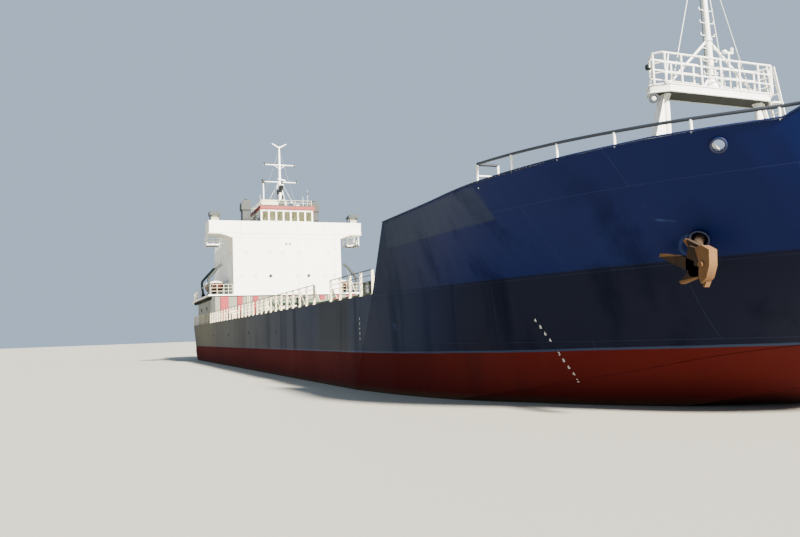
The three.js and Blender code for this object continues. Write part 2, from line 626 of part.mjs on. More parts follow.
function makeLid(x, y) {
  const floor = deckZ + coamingHeight + seat;
  const hingeX = x + lidHinge.x;
  const cover = bar([x, y, floor], [x, y, floor + lid.thick], lid.radius, 20);
  const strap = block(hingeX, x, y - lid.strapHalf, y + lid.strapHalf, lidHinge.z,
    lidHinge.z + lid.strapThick);
  const knuckle = bar([hingeX, y - lid.knuckleHalf, lidHinge.z], [hingeX, y + lid.knuckleHalf, lidHinge.z],
    lid.knuckleRadius, 10);
  return joined([cover, strap, knuckle]);
}

// Poop: the lower tier, inboard of the open side decks that run aft to the stern, and the deck over both
const poop = { inset: 0.56, overhang: 0.1, foreRoom: 0.15 };

function outlineRing(z, inset, foreX) {
  const edge = fairLine([...sternLines.deck, middleLines.deck[0]], sternSteps);
  const half = [...edge.map(([x, y]) => [Math.max(x, sternX + inset), y - inset, z]),
    [foreX, halfBeam - inset, z]];
  return [...half, ...half.map(mirrored).reverse()];
}

// The lower tier, and at its front a web with an open doorway over each side deck
function makePoop() {
  const tier = loft([deckZ + seat, poopDeckZ - seat].map((z) => outlineRing(z, poop.inset, houseFrontX)));
  const frames = sides.flatMap(({ sign }) => {
    const edge = sign * (halfBeam - sideWeb.edge);
    const web = (inner, foot) => block(houseFrontX - sideWeb.thick, houseFrontX, inner, edge, foot,
      poopDeckZ - seat);
    return [web(edge - sign * sideWeb.post, deckZ + seat),
      web(sign * (halfBeam - poop.inset - 0.1), poopDeckZ - sideWeb.lintel)];
  });
  return joined([tier, ...frames]);
}

const sideWeb = { thick: 0.12, edge: 0.13, post: 0.12, lintel: 0.4 };
const poopRailForeX = -32.6;
const boat = { x: -29.0, y: 6.95, length: 4.6, halfWidth: 0.95, bottomZ: 8.62 - draught, topZ: 9.85 - draught,
  cover: 0.42, bilge: 0.4, cradleX: 1.2, cradleHalf: 0.1, cradleReach: 0.6,
  stations: [[-1, 0.55, 0.25], [-0.75, 0.88, 0.06], [-0.6, 1, 0], [0.6, 0.96, 0], [0.78, 0.7, 0.12],
  [1, 0.12, 0.45]] };
const davit = { pivotY: 7.75, pivotZ: 8.5 - draught, spread: 2.75, elbowY: 7.9, elbowZ: 9.95 - draught,
  headY: 6.6,
  headZ: 11.4 - draught, radius: 0.11, tipRadius: 0.08, pinRadius: 0.07, pinHalf: 0.29, spanRadius: 0.05,
  lugX: 0.2, lugHalf: 0.06, lugReach: 0.18, lugRise: 0.15 };

function makePoopDeck() {
  const top = poopDeckZ + poopDeckThickness;
  const deck = (z) => outlineRing(z, -poop.overhang, houseFrontX + poop.foreRoom);
  const pieces = [loft([deck(poopDeckZ), deck(top)])];
  for (const { sign } of sides) {
    for (const x of [boat.x - boat.cradleX, boat.x + boat.cradleX]) {
      const y = sign * boat.y;
      pieces.push(block(x - boat.cradleHalf, x + boat.cradleHalf, y - boat.cradleReach, y + boat.cradleReach,
        top - 0.02, boat.bottomZ - seat));
    }
    const y = sign * davit.pivotY;
    for (const middle of [boat.x - davit.spread, boat.x + davit.spread]) {
      for (const x of [middle - davit.lugX, middle + davit.lugX]) {
        pieces.push(block(x - davit.lugHalf, x + davit.lugHalf, y - davit.lugReach, y + davit.lugReach,
          top - 0.02, davit.pivotZ + davit.lugRise));
      }
    }
  }
  const reach = boat.length;
  const bores = sides.map(({ sign }) => bar([boat.x - reach, sign * davit.pivotY, davit.pivotZ],
    [boat.x + reach, sign * davit.pivotY, davit.pivotZ], davit.pinRadius + seat * 2, 12));
  return without(joined(pieces), bores);
}

// Rail round the poop, following the deck edge just inside it
const sternEdge = (inset) => fairLine(sternLines.deck,
  4).map(([x, y]) => [Math.max(x, sternX + inset), y - inset])
  .reverse();
const poopRail = { inset: 0.12, sternY: 3.2 };

function makePoopRail() {
  const floor = poopDeckZ + poopDeckThickness;
  const port = [[poopRailForeX, halfBeam - poopRail.inset], ...sternEdge(poopRail.inset),
    [sternX + poopRail.inset, poopRail.sternY]];
  const path = [...port, ...port.map(([x, y]) => [x, -y]).reverse()];
  const bars = barHeights.map((height) => sweep(path.map(([x, y]) => [x, y, floor + height]), barRadius));
  return joined([...bars, ...path.map(([x, y]) => railPost(x, y, floor, railHeight))]);
}

// Main deck rail abaft the gangway gap: along the side, then round the stern to a gap amidships
const sternGap = 0.15;

function makeAfterRail(sign) {
  const path = [[gangwayAftX, halfBeam - railSetback], ...sternEdge(railSetback),
    [sternX + railSetback, sternGap]];
  return railing(path.map(([x, y]) => [x, sign * y]), deckZ);
}

function makeBoat(sign) {
  const rings = boat.stations.map(([along, width, rise]) => {
    const x = boat.x + (along * boat.length) / 2;
    const half = boat.halfWidth * width;
    const bottom = boat.bottomZ + rise;
    const gunwale = boat.topZ - boat.cover;
    const y = sign * boat.y;
    return [[x, y - half * 0.6, bottom], [x, y - half, bottom + boat.bilge], [x, y - half, gunwale],
      [x, y, gunwale + boat.cover * width], [x, y + half, gunwale], [x, y + half, bottom + boat.bilge],
      [x, y + half * 0.6, bottom]];
  });
  return loft(rings);
}

function makeDavit(sign) {
  const at = (y, z, x) => [x, sign * y, z];
  const ends = [boat.x - davit.spread, boat.x + davit.spread];
  const arms = ends.flatMap((x) => {
    const elbow = at(davit.elbowY, davit.elbowZ, x);
    return [bar(at(davit.pivotY, davit.pivotZ - 0.08, x), elbow, davit.radius, 8),
      bar(elbow, at(davit.headY, davit.headZ, x), davit.radius, 8, davit.tipRadius),
      bar(at(davit.pivotY, davit.pivotZ, x - davit.pinHalf),
      at(davit.pivotY, davit.pivotZ, x + davit.pinHalf),
        davit.pinRadius, 10)];
  });
  const span = ends.map((x) => at(davit.headY, davit.headZ - 0.02, x));
  return joined([...arms, bar(...span, davit.spanRadius, 6)]);
}

// Deckhouse of two tiers with recessed doors
const houseDoor = { x: -34.0, width: 0.8, bottomZ: 8.45 - draught, height: 1.9, depth: 0.12 };

function makeDeckhouse() {
  const floor = poopDeckZ + poopDeckThickness + seat;
  const tiers = block(houseAftX, houseFrontX, -houseHalfWidth, houseHalfWidth, floor, houseTopZ);
  const recesses = sides.map(({ sign }) => {
    const face = sign * houseHalfWidth;
    return block(houseDoor.x - clearance, houseDoor.x + houseDoor.width + clearance,
      face - sign * houseDoor.depth, face + sign * 0.2,
      houseDoor.bottomZ - clearance, houseDoor.bottomZ + houseDoor.height + clearance);
  });
  return without(toSolid(tiers), recesses);
}

// A door leaf in a side wall, with its handle and the hinge knuckles just outside the wall
const hinge = { ahead: 0.045, out: 0.033, radius: 0.03, half: 0.12, flapHalf: 0.08, heights: [0.25, 0.75] };
const doorLeaf = { thick: 0.06, handleRise: 0.95, handleInset: 0.08, handleLength: 0.12, handleOut: 0.05 };

function makeDoor(foreX, aftX, face, sign, bottomZ, topZ) {
  const leaf = block(aftX, foreX, face - sign * doorLeaf.thick, face, bottomZ, topZ);
  const knuckleX = foreX + hinge.ahead;
  const knuckleY = face + sign * hinge.out;
  const hinges = hinge.heights.flatMap((part) => {
    const z = bottomZ + (topZ - bottomZ) * part;
    return [bar([knuckleX, knuckleY, z - hinge.half], [knuckleX, knuckleY, z + hinge.half], hinge.radius, 8),
      block(foreX - 0.12, knuckleX, face - sign * 0.02, knuckleY, z - hinge.flapHalf, z + hinge.flapHalf)];
  });
  const handleX = aftX + doorLeaf.handleInset;
  const handleZ = bottomZ + doorLeaf.handleRise;
  const handle = block(handleX, handleX + doorLeaf.handleLength, face - sign * 0.01,
    face + sign * doorLeaf.handleOut,
    handleZ, handleZ + 0.05);
  return joined([leaf, handle, ...hinges]);
}

// Bridge deck with full-width wings, haunched where they meet the house, and a side-light platform hung
// under each
const wing = { aftRoom: 0.3, root: 0.2, haunch: [[0.08, 0], [0.53, 0.18], [1.18, 0.367], [2.39, 0.387]] };
const sideLight = { foreX: -25.5, aftX: -27.1, innerY: 6.75, outerY: 8.12, floorZ: 13.35 - draught,
  thick: 0.1,
  railHeights: [0.3, 0.6] };

function makeSideLight(sign) {
  const { foreX, aftX, floorZ, railHeights } = sideLight;
  const [inner, outer] = [sideLight.innerY, sideLight.outerY].map((y) => sign * y);
  const floor = block(aftX, foreX, inner, outer, floorZ - sideLight.thick, floorZ);
  const [nearY, farY] = [inner + sign * postHalf, outer - sign * postHalf];
  const corners = [[foreX - postHalf, nearY], [foreX - postHalf, farY], [aftX + postHalf, farY],
    [aftX + postHalf, nearY]];
  const hangers = corners.map(([x, y]) => block(x - postHalf, x + postHalf, y - postHalf, y + postHalf,
    floorZ - 0.02, bridgeDeckZ - 0.02));
  const bars = corners.slice(0, -1).flatMap(([x, y], i) => railHeights.map((height) =>
    bar([x, y, floorZ + height], [...corners[i + 1], floorZ + height], barRadius)));
  return [floor, ...hangers, ...bars];
}

function makeBridgeDeck() {
  const full = block(wheelhouseAftX - wing.aftRoom, houseFrontX, -houseHalfWidth, houseHalfWidth,
    houseTopZ + seat,
    bridgeDeckZ);
  const wings = sides.map(({ sign }) => {
    const root = sign * (houseHalfWidth - wing.root);
    const ring = (x) => [[x, root, bridgeDeckZ], [x, root, houseTopZ + seat],
      ...wing.haunch.map(([out, rise]) => [x, sign * (houseHalfWidth + out), houseTopZ + seat + rise]),
      [x, sign * halfBeam, bridgeDeckZ]];
    return loft([ring(wingAftX), ring(houseFrontX)]);
  });
  return joined([full, ...wings, ...sides.flatMap(({ sign }) => makeSideLight(sign))]);
}

function makeBridgeBulwark() {
  const low = bridgeDeckZ + seat;
  const high = bridgeBulwarkTopZ;
  const front = block(houseFrontX - plateThickness, houseFrontX, -halfBeam, halfBeam, low, high);
  const pieces = [front];
  for (const { sign } of sides) {
    const tip = sign * halfBeam;
    pieces.push(block(wingAftX, houseFrontX, tip, tip - sign * plateThickness, low, high));
    pieces.push(block(wingAftX, wingAftX + plateThickness, tip, sign * (houseHalfWidth - 0.6), low, high));
  }
  return joined(pieces);
}

// Wheelhouse: hollow, windows and door openings cut through
const wheelhouseForeX = houseFrontX - plateThickness - 0.03;
const bridgeDoor = { foreX: -25.6, aftX: -26.4, bottomZ: bridgeDeckZ + 0.15, topZ: bridgeDeckZ + 2.1 };

const windows = { frontCount: 7, frontEdge: 0.08, frontBar: 0.06,
  sideXs: [wheelhouseForeX - 0.5, -27.15, -28.25, -29.35],
  sideHalf: 0.38, aftYs: [-1.5, 0, 1.5], aftHalf: 0.5, cut: 0.3, floor: 0.08 };

function makeWheelhouse() {
  const low = bridgeDeckZ + seat;
  const half = wheelhouseHalfWidth;
  const outer = toSolid(block(wheelhouseAftX, wheelhouseForeX, -half, half, low, wheelhouseTopZ));
  const inner = block(wheelhouseAftX + wallThickness, wheelhouseForeX - wallThickness, -half + wallThickness,
    half - wallThickness, low + windows.floor, wheelhouseTopZ + 1);
  const cutters = [inner];
  const pitch = (2 * (half - windows.frontEdge)) / windows.frontCount;
  for (let i = 0; i < windows.frontCount; i += 1) {
    const y = -half + windows.frontEdge + i * pitch;
    cutters.push(block(wheelhouseForeX - windows.cut, wheelhouseForeX + 0.1, y + windows.frontBar,
      y + pitch - windows.frontBar, windowSillZ, windowHeadZ));
  }
  for (const { sign } of sides) {
    const [inside, outside] = [sign * (half - windows.cut), sign * (half + 0.1)];
    for (const x of windows.sideXs) {
      cutters.push(block(x - windows.sideHalf, x + windows.sideHalf, inside, outside, windowSillZ,
        windowHeadZ));
    }
    cutters.push(block(bridgeDoor.aftX - clearance, bridgeDoor.foreX + clearance, inside, outside,
      bridgeDoor.bottomZ - clearance, bridgeDoor.topZ + clearance));
  }
  for (const y of windows.aftYs) {
    cutters.push(block(wheelhouseAftX - 0.1, wheelhouseAftX + windows.cut, y - windows.aftHalf,
      y + windows.aftHalf,
      windowSillZ, windowHeadZ));
  }
  return without(outer, cutters);
}

const roof = { overhang: 0.12, eave: 0.08, band: 0.04, railInset: 0.1, railPitch: 2.8,
  railHeights: [0.28, 0.55] };
const roofPole = { x: mastX + 0.4, y: -1.88, topZ: 20.25 - draught, radius: 0.07, lampX: 0.16, lampY: 0.2,
  lampHeight: 0.4 };

function makeRoof() {
  const { x, y, topZ } = roofPole;
  const slab = (grown, low, high) => block(wheelhouseAftX - grown, wheelhouseForeX + grown,
    -wheelhouseHalfWidth - grown, wheelhouseHalfWidth + grown, low, high);
  const eave = slab(roof.overhang, wheelhouseTopZ + seat, wheelhouseTopZ + roof.eave);
  const band = slab(roof.band, wheelhouseTopZ + roof.eave - 0.02, roofTopZ);
  const pole = bar([x, y, roofTopZ - 0.1], [x, y, topZ], roofPole.radius, 8);
  const lamp = block(x - roofPole.lampX, x + roofPole.lampX, y - roofPole.lampY, y + roofPole.lampY,
    topZ - 0.02, topZ + roofPole.lampHeight);
  return joined([eave, band, pole, lamp]);
}

function makeRoofRail() {
  const x0 = wheelhouseAftX + roof.railInset;
  const x1 = wheelhouseForeX - roof.railInset;
  const y = wheelhouseHalfWidth - roof.railInset;
  return railing([[x0, y], [x0, -y], [x1, -y], [x1, y], [x0, y]], roofTopZ, roof.railPitch, roof.railHeights);
}

// Radar mast with yards and platform, and its two turning scanners
const scanners = [{ name: 'radar_scanner_upper', z: 20.45 - draught, halfSpan: 0.65, reach: 0.95, turn: 41 },
  { name: 'radar_scanner_lower', z: 18.7 - draught, halfSpan: 0.95, reach: 1.3, turn: 77 }];
const scannerBeam = { halfThick: 0.06, height: 0.14, hubRadius: 0.09, hubDrop: 0.1, hubRise: 0.08 };
const radarMast = { radius: 0.2, tipRadius: 0.07, tipDrop: 0.25, armDrop: 0.4, armReach: 0.75,
  armRadius: 0.045,
  strutAft: 1.0, strutY: 0.9, strutRadius: 0.06, strutTopZ: 20.6 - draught, yardRadius: 0.05,
  yards: [[22.33 - draught, 1.75], [20.45 - draught, 1.95]],
  shelfHalf: 0.2, shelfDrop: 0.55, shelfThick: 0.1, shelfRoom: 0.22, postRadius: 0.14 };

function makeRadarMast() {
  const mast = radarMast;
  const pieces = [bar([mastX, 0, roofTopZ + seat], [mastX, 0, radarMastTopZ - mast.tipDrop], mast.radius, 10,
    mast.tipRadius)];
  for (const { sign } of sides) {
    pieces.push(bar([mastX, 0, radarMastTopZ - mast.armDrop], [mastX, sign * mast.armReach, radarMastTopZ],
      mast.armRadius, 6));
    pieces.push(bar([mastX - mast.strutAft, sign * mast.strutY, roofTopZ + seat + 0.02],
      [mastX, 0, mast.strutTopZ],
      mast.strutRadius, 6));
  }
  for (const [z, half] of mast.yards) {
    pieces.push(bar([mastX, -half, z], [mastX, half, z], mast.yardRadius, 6));
  }
  for (const { z, reach } of scanners) {
    const shelfZ = z - mast.shelfDrop;
    pieces.push(block(mastX, mastX + reach + mast.shelfRoom, -mast.shelfHalf, mast.shelfHalf, shelfZ,
      shelfZ + mast.shelfThick));
    pieces.push(bar([mastX + reach, 0, shelfZ + 0.05], [mastX + reach, 0, z - scannerBeam.hubDrop],
      mast.postRadius, 10));
  }
  return joined(pieces);
}

function makeScanner({ z, halfSpan, reach, turn }) {
  const { halfThick, height } = scannerBeam;
  const beam = block(-halfThick, halfThick, -halfSpan, halfSpan, z, z + height);
  beam.rotateZ(THREE.MathUtils.degToRad(turn));
  const { hubRadius, hubDrop, hubRise } = scannerBeam;
  const hub = bar([0, 0, z - hubDrop + seat], [0, 0, z + hubRise], hubRadius, 10);
  return joined([beam, hub].map((piece) => piece.translate(mastX + reach, 0, 0)));
}

// Exhaust casings, bridge wing shelters
const funnel = { foreX: -27.2, aftX: -28.4, y: 3.72, halfWidth: 0.52, rebate: 0.1, shoulderZ: 17.3 - draught,
  topZ: 18.35 - draught, pipeX: 0.28, pipeRadius: 0.16, pipeRise: 0.15 };
const shelter = { x: wingAftX + 1.9, inboard: 0.73, postX: 0.5, postY: 0.4, postHalf: 0.04, hoodX: 0.58,
  hoodY: 0.55,
  hoodZ: 16.22 - draught, hoodHeight: 0.42 };

function makeFunnel(sign) {
  const { foreX, aftX, rebate, shoulderZ, topZ } = funnel;
  const y = sign * funnel.y;
  const half = funnel.halfWidth;
  const casing = block(aftX + rebate, foreX - rebate, y - half + rebate, y + half - rebate,
    bridgeDeckZ + seat, shoulderZ + 0.1);
  const cap = block(aftX, foreX, y - half, y + half, shoulderZ, topZ);
  const middle = (foreX + aftX) / 2;
  const pipes = [-funnel.pipeX, funnel.pipeX].map((dx) =>
    bar([middle + dx, y, topZ - 0.05], [middle + dx, y, topZ + funnel.pipeRise], funnel.pipeRadius, 12));
  return joined([casing, cap, ...pipes]);
}

function makeShelter(sign) {
  const { x, postX, postY, postHalf: half, hoodX, hoodY, hoodZ } = shelter;
  const y = sign * (halfBeam - shelter.inboard);
  const posts = [[-postX, -postY], [-postX, postY], [postX, -postY], [postX, postY]].map(([dx, dy]) =>
    block(x + dx - half, x + dx + half, y + dy - half, y + dy + half, bridgeDeckZ + seat, hoodZ + 0.1));
  const hood = block(x - hoodX, x + hoodX, y - hoodY, y + hoodY, hoodZ, hoodZ + shelter.hoodHeight);
  return joined([...posts, hood]);
}

// Assembly
addPiece('hull', makeHull(), hullBlue);
addPiece('propeller', makePropeller(), bronze);
addPiece('rudder', makeRudder(), antifoulingRed);
makeBow();
for (const { name, sign } of sides) {
  addPiece(`hawse_pipe_${name}`, makeHawsePipe(sign), hullBlue);
  addPiece(`anchor_${name}`, makeAnchor(sign), rustedSteel);
  addPiece(`bow_rail_${name}`, makeBowRail(sign), hullBlue);
  addPiece(`forecastle_bitts_${name}`, makeBitts(sign), darkGrey);
  const railY = sign * (halfBeam - railSetback);
  addPiece(`deck_rail_fore_${name}`, railing([[plateAftX - 0.1, railY], [gangwayForeX, railY]], deckZ),
    creamPaint);
  addPiece(`deck_rail_aft_${name}`, makeAfterRail(sign), creamPaint);
  for (const { number, x } of hatches) {
    addPiece(`tank_coaming_${number}_${name}`, makeCoaming(x, sign * hatchY), deckGreen);
    addPiece(`tank_lid_${number}_${name}`, makeLid(x, sign * hatchY), deckGreen);
  }
  addPiece(`lifeboat_${name}`, makeBoat(sign), boatRed);
  addPiece(`davit_${name}`, makeDavit(sign), darkGrey);
  addPiece(`house_door_${name}`, makeDoor(houseDoor.x + houseDoor.width, houseDoor.x, sign * houseHalfWidth,
    sign, houseDoor.bottomZ, houseDoor.bottomZ + houseDoor.height), whitePaint);
  addPiece(`bridge_door_${name}`, makeDoor(bridgeDoor.foreX, bridgeDoor.aftX, sign * wheelhouseHalfWidth,
    sign,
    bridgeDoor.bottomZ, bridgeDoor.topZ), whitePaint);
  addPiece(`funnel_${name}`, makeFunnel(sign), darkGrey);
  addPiece(`wing_shelter_${name}`, makeShelter(sign), darkGrey);
}
addPiece('foremast_portal', makePortal(), whitePaint);
addPiece('foremast_platform_rail', makePlatformRail(), whitePaint);
addPiece('foremast_pole', makeForemastPole(), whitePaint);
addPiece('foremast_ladder', makeForemastLadder(), whitePaint);
addPiece('windlass_bed', makeWindlassBed(), deckGreen);
addPiece('windlass_shaft', makeWindlassShaft(), darkGrey);
addPiece('cargo_pipes', makeCargoPipes(), deckGreen);
addPiece('cargo_manifold', makeManifold(), deckGreen);
addPiece('poop', makePoop(), whitePaint);
addPiece('poop_deck', makePoopDeck(), whitePaint);
addPiece('poop_rail', makePoopRail(), creamPaint);
addPiece('deckhouse', makeDeckhouse(), whitePaint);
addPiece('bridge_deck', makeBridgeDeck(), whitePaint);
addPiece('bridge_bulwark', makeBridgeBulwark(), whitePaint);
addPiece('wheelhouse', makeWheelhouse(), whitePaint);
addPiece('wheelhouse_roof', makeRoof(), orangeRed);
addPiece('roof_rail', makeRoofRail(), creamPaint);
addPiece('radar_mast', makeRadarMast(), creamPaint);
for (const scanner of scanners) {
  addPiece(scanner.name, makeScanner(scanner), whitePaint);
}

export default ship;
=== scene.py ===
import math
import bmesh
import bpy
import numpy as np
from mathutils import Matrix, Vector


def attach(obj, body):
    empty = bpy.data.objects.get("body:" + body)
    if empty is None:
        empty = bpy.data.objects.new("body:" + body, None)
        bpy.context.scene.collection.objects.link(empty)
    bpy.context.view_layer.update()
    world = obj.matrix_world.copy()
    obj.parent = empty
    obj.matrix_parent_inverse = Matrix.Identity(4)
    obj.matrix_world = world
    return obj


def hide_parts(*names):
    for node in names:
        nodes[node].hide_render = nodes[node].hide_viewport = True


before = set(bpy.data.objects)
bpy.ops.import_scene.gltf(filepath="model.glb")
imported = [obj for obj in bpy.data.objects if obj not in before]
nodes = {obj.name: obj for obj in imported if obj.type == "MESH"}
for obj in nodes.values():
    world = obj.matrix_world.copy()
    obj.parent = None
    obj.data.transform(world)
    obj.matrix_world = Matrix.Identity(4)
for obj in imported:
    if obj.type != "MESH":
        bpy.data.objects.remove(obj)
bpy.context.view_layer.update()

# A coastal tanker afloat in ballast, modelled at 1:10. Shapes below are in metres of the full-size
# ship, x forward from midships, y to port, z up from the water; meshOf brings them to the model's size.
modelScale = .1
sides = (("starboard", -1), ("port", 1))


class Sizes(dict):
    # A dictionary whose entries are also read as names
    __getattr__ = dict.__getitem__


# Camera: where the picture was taken from, worked out from the draught marks, rails and decks
camera = Sizes({"place": (52.0, -17.959, 2.373), "yaw": 21.661, "pitch": 4.77, "roll": 2.059, "lens": 33.90,
                "sensor": 36.0, "clip": (.05, 200.0)})


def makeCamera(its):
    yaw, pitch, roll = (math.radians(its[key]) for key in ("yaw", "pitch", "roll"))
    ahead = Vector((-math.cos(yaw) * math.cos(pitch), math.sin(yaw) * math.cos(pitch), math.sin(pitch)))
    level = Vector((math.sin(yaw), math.cos(yaw), 0.0))
    above = level.cross(ahead)
    across = level * math.cos(roll) - above * math.sin(roll)
    upward = level * math.sin(roll) + above * math.cos(roll)
    data = bpy.data.cameras.new("bowCamera")
    data.lens = its.lens
    data.sensor_width = its.sensor
    data.clip_start, data.clip_end = its.clip
    made = bpy.data.objects.new("bowCamera", data)
    turn = Matrix((across, upward, -ahead)).transposed().to_4x4()
    made.matrix_world = Matrix.Translation(Vector(its.place) * modelScale) @ turn
    bpy.context.scene.collection.objects.link(made)
    bpy.context.scene.camera = made


makeCamera(camera)
print("camera in place")


# Shader helpers
def tint(red, green, blue):
    # Screen values from 0 to 255 turned into linear light
    c = np.array([red, green, blue]) / 255
    linear = np.where(c <= .04045, c / 12.92, ((c + .055) / 1.055) ** 2.4)
    return (*map(float, linear), 1.0)


def addNode(tree, kind, inputs=None, **settings):
    made = tree.nodes.new(kind)
    for key, value in settings.items():
        setattr(made, key, value)
    for key, value in (inputs or {}).items():
        if isinstance(value, bpy.types.NodeSocket):
            tree.links.new(value, made.inputs[key])
        else:
            made.inputs[key].default_value = value
    return made


def mixColours(tree, share, first, second):
    return addNode(tree, "ShaderNodeMix", {0: share, 6: first, 7: second}, data_type="RGBA",
                   blend_type="MIX").outputs[2]


def maths(tree, operation, first, second=.5, clamp=False):
    return addNode(tree, "ShaderNodeMath", {0: first, 1: second}, operation=operation,
                   use_clamp=clamp).outputs[0]


def times(tree, first, second):
    return maths(tree, "MULTIPLY", first, second)


def plus(tree, first, second, clamp=False):
    return maths(tree, "ADD", first, second, clamp)


def between(tree, value, low, high, start=0.0, end=1.0):
    return addNode(tree, "ShaderNodeMapRange", {"Value": value, "From Min": low, "From Max": high,
                                                "To Min": start, "To Max": end},
                   interpolation_type="SMOOTHSTEP").outputs[0]


def noiseAt(tree, vector, scale, detail=4.0, rough=.55, stretch=(1, 1, 1), turn=(0, 0, 0)):
    place = addNode(tree, "ShaderNodeMapping", {"Vector": vector, "Scale": stretch,
                                                "Rotation": turn}).outputs[0]
    return addNode(tree, "ShaderNodeTexNoise", {"Vector": place, "Scale": scale, "Detail": detail,
                                                "Roughness": rough}).outputs[0]


def makeGroup(name, inputs, outputs, build):
    tree = bpy.data.node_groups.new(name, "ShaderNodeTree")
    kinds = {float: "NodeSocketFloat", tuple: "NodeSocketColor", list: "NodeSocketVector"}
    for label, value in inputs.items():
        made = tree.interface.new_socket(label, in_out="INPUT", socket_type=kinds[type(value)])
        made.default_value = value
    for label, kind in outputs.items():
        tree.interface.new_socket(label, in_out="OUTPUT", socket_type=kinds[kind])
    source, target = tree.nodes.new("NodeGroupInput"), tree.nodes.new("NodeGroupOutput")
    for label, socket in build(tree, source.outputs).items():
        tree.links.new(socket, target.inputs[label])
    return tree


def useGroup(tree, group, **inputs):
    named = {key[0].upper() + key[1:]: value for key, value in inputs.items()}
    return addNode(tree, "ShaderNodeGroup", named, node_tree=group).outputs


# Weathered paint: broad fading, grime that runs down in streaks, small spots and a fine grain
def buildWeather(tree, given):
    vector, scale = given["Vector"], given["Scale"]
    broad = noiseAt(tree, vector, times(tree, scale, 1.1), 5.0)
    fade = times(tree, between(tree, broad, .38, .66), given["Fade"])
    streak = noiseAt(tree, vector, times(tree, scale, 9.0), 6.0, .6, (1, 1, .06))
    run = times(tree, between(tree, streak, .5, .72), between(tree, broad, .3, .6))
    grime = times(tree, run, given["Streaks"])
    fleck = noiseAt(tree, vector, times(tree, scale, 30.0), 4.0, .7)
    spot = times(tree, between(tree, fleck, .62, .7), given["Spots"])
    colour = mixColours(tree, fade, given["Colour"], given["Faded"])
    colour = mixColours(tree, maths(tree, "MAXIMUM", grime, spot), colour, given["Grime"])
    rough = plus(tree, times(tree, broad, .35), times(tree, grime, .5))
    grain = noiseAt(tree, vector, times(tree, scale, 60.0), 3.0)
    height = maths(tree, "SUBTRACT", times(tree, grain, .25), times(tree, spot, .6))
    return {"Colour": colour, "Roughness": rough, "Height": height}


weather = makeGroup("weather", {"Vector": [0.0, 0.0, 0.0], "Colour": (1.0, 1.0, 1.0, 1.0),
                                "Faded": (1.0, 1.0, 1.0, 1.0), "Grime": (.1, .1, .1, 1.0), "Fade": .5,
                                "Streaks": .5, "Spots": .5, "Scale": 1.0},
                    {"Colour": tuple, "Roughness": float, "Height": float}, buildWeather)


# Welded plates: thin beads along the edges of staggered plates, given in the first two coordinates
def buildSeams(tree, given):
    brick = addNode(tree, "ShaderNodeTexBrick", {"Vector": given["Vector"], "Scale": 1.0,
                                                 "Mortar Size": given["Width"], "Mortar Smooth": .6,
                                                 "Brick Width": given["Length"],
                                                 "Row Height": given["Height"]}, offset=.5)
    broken = noiseAt(tree, given["Vector"], 7.0, 3.0)
    return {"Seam": times(tree, brick.outputs["Fac"], between(tree, broken, .3, .5, .35, 1.0))}


seams = makeGroup("plateSeams", {"Vector": [0.0, 0.0, 0.0], "Length": .6, "Height": .18, "Width": .001},
                  {"Seam": float}, buildSeams)


# Hairline scratches: the places where a long stretched noise crosses its middle value
def buildScratches(tree, given):
    long = noiseAt(tree, given["Vector"], given["Scale"], 2.0, .4, (.35, .35, 1.6), (.25, .3, 0.0))
    offset = maths(tree, "ABSOLUTE", maths(tree, "SUBTRACT", long, .5))
    line = between(tree, offset, 0.0, .004, 1.0, 0.0)
    patch = between(tree, noiseAt(tree, given["Vector"], times(tree, given["Scale"], 1.7)), .55, .62)
    return {"Mask": times(tree, times(tree, line, patch), given["Share"])}


scratches = makeGroup("scratches", {"Vector": [0.0, 0.0, 0.0], "Scale": 3.0, "Share": .5}, {"Mask": float},
                      buildScratches)


# Rust: patches with a dark middle and an orange rim that runs downwards
def buildRust(tree, given):
    patch = noiseAt(tree, given["Vector"], given["Scale"], 8.0, .68)
    runs = noiseAt(tree, given["Vector"], times(tree, given["Scale"], 2.0), 6.0, .6, (1, 1, .12))
    both = plus(tree, times(tree, patch, .65), times(tree, runs, .35))
    limit = maths(tree, "SUBTRACT", .72, times(tree, given["Share"], .3))
    mask = between(tree, both, limit, plus(tree, limit, .05))
    depth = between(tree, both, plus(tree, limit, .03), plus(tree, limit, .1))
    fine = noiseAt(tree, given["Vector"], times(tree, given["Scale"], 14.0), 6.0, .7)
    colour = mixColours(tree, depth, tint(150, 84, 44), tint(70, 42, 30))
    colour = mixColours(tree, between(tree, fine, .35, .7), colour, tint(176, 124, 78))
    return {"Mask": mask, "Colour": colour, "Height": times(tree, fine, mask)}


rust = makeGroup("rust", {"Vector": [0.0, 0.0, 0.0], "Scale": 4.0, "Share": .3},
                 {"Mask": float, "Colour": tuple, "Height": float}, buildRust)


# Every finish: weathered colour, then rust, then what a finish adds of its own, then fine relief
plainFinish = Sizes({"fade": .4, "streaks": .3, "spots": .25, "scale": 1.6, "rust": .1, "rustScale": 4.0,
                     "roughness": .45, "metallic": 0.0, "relief": .35, "coat": 0.0, "specular": .5})
finishes = {}


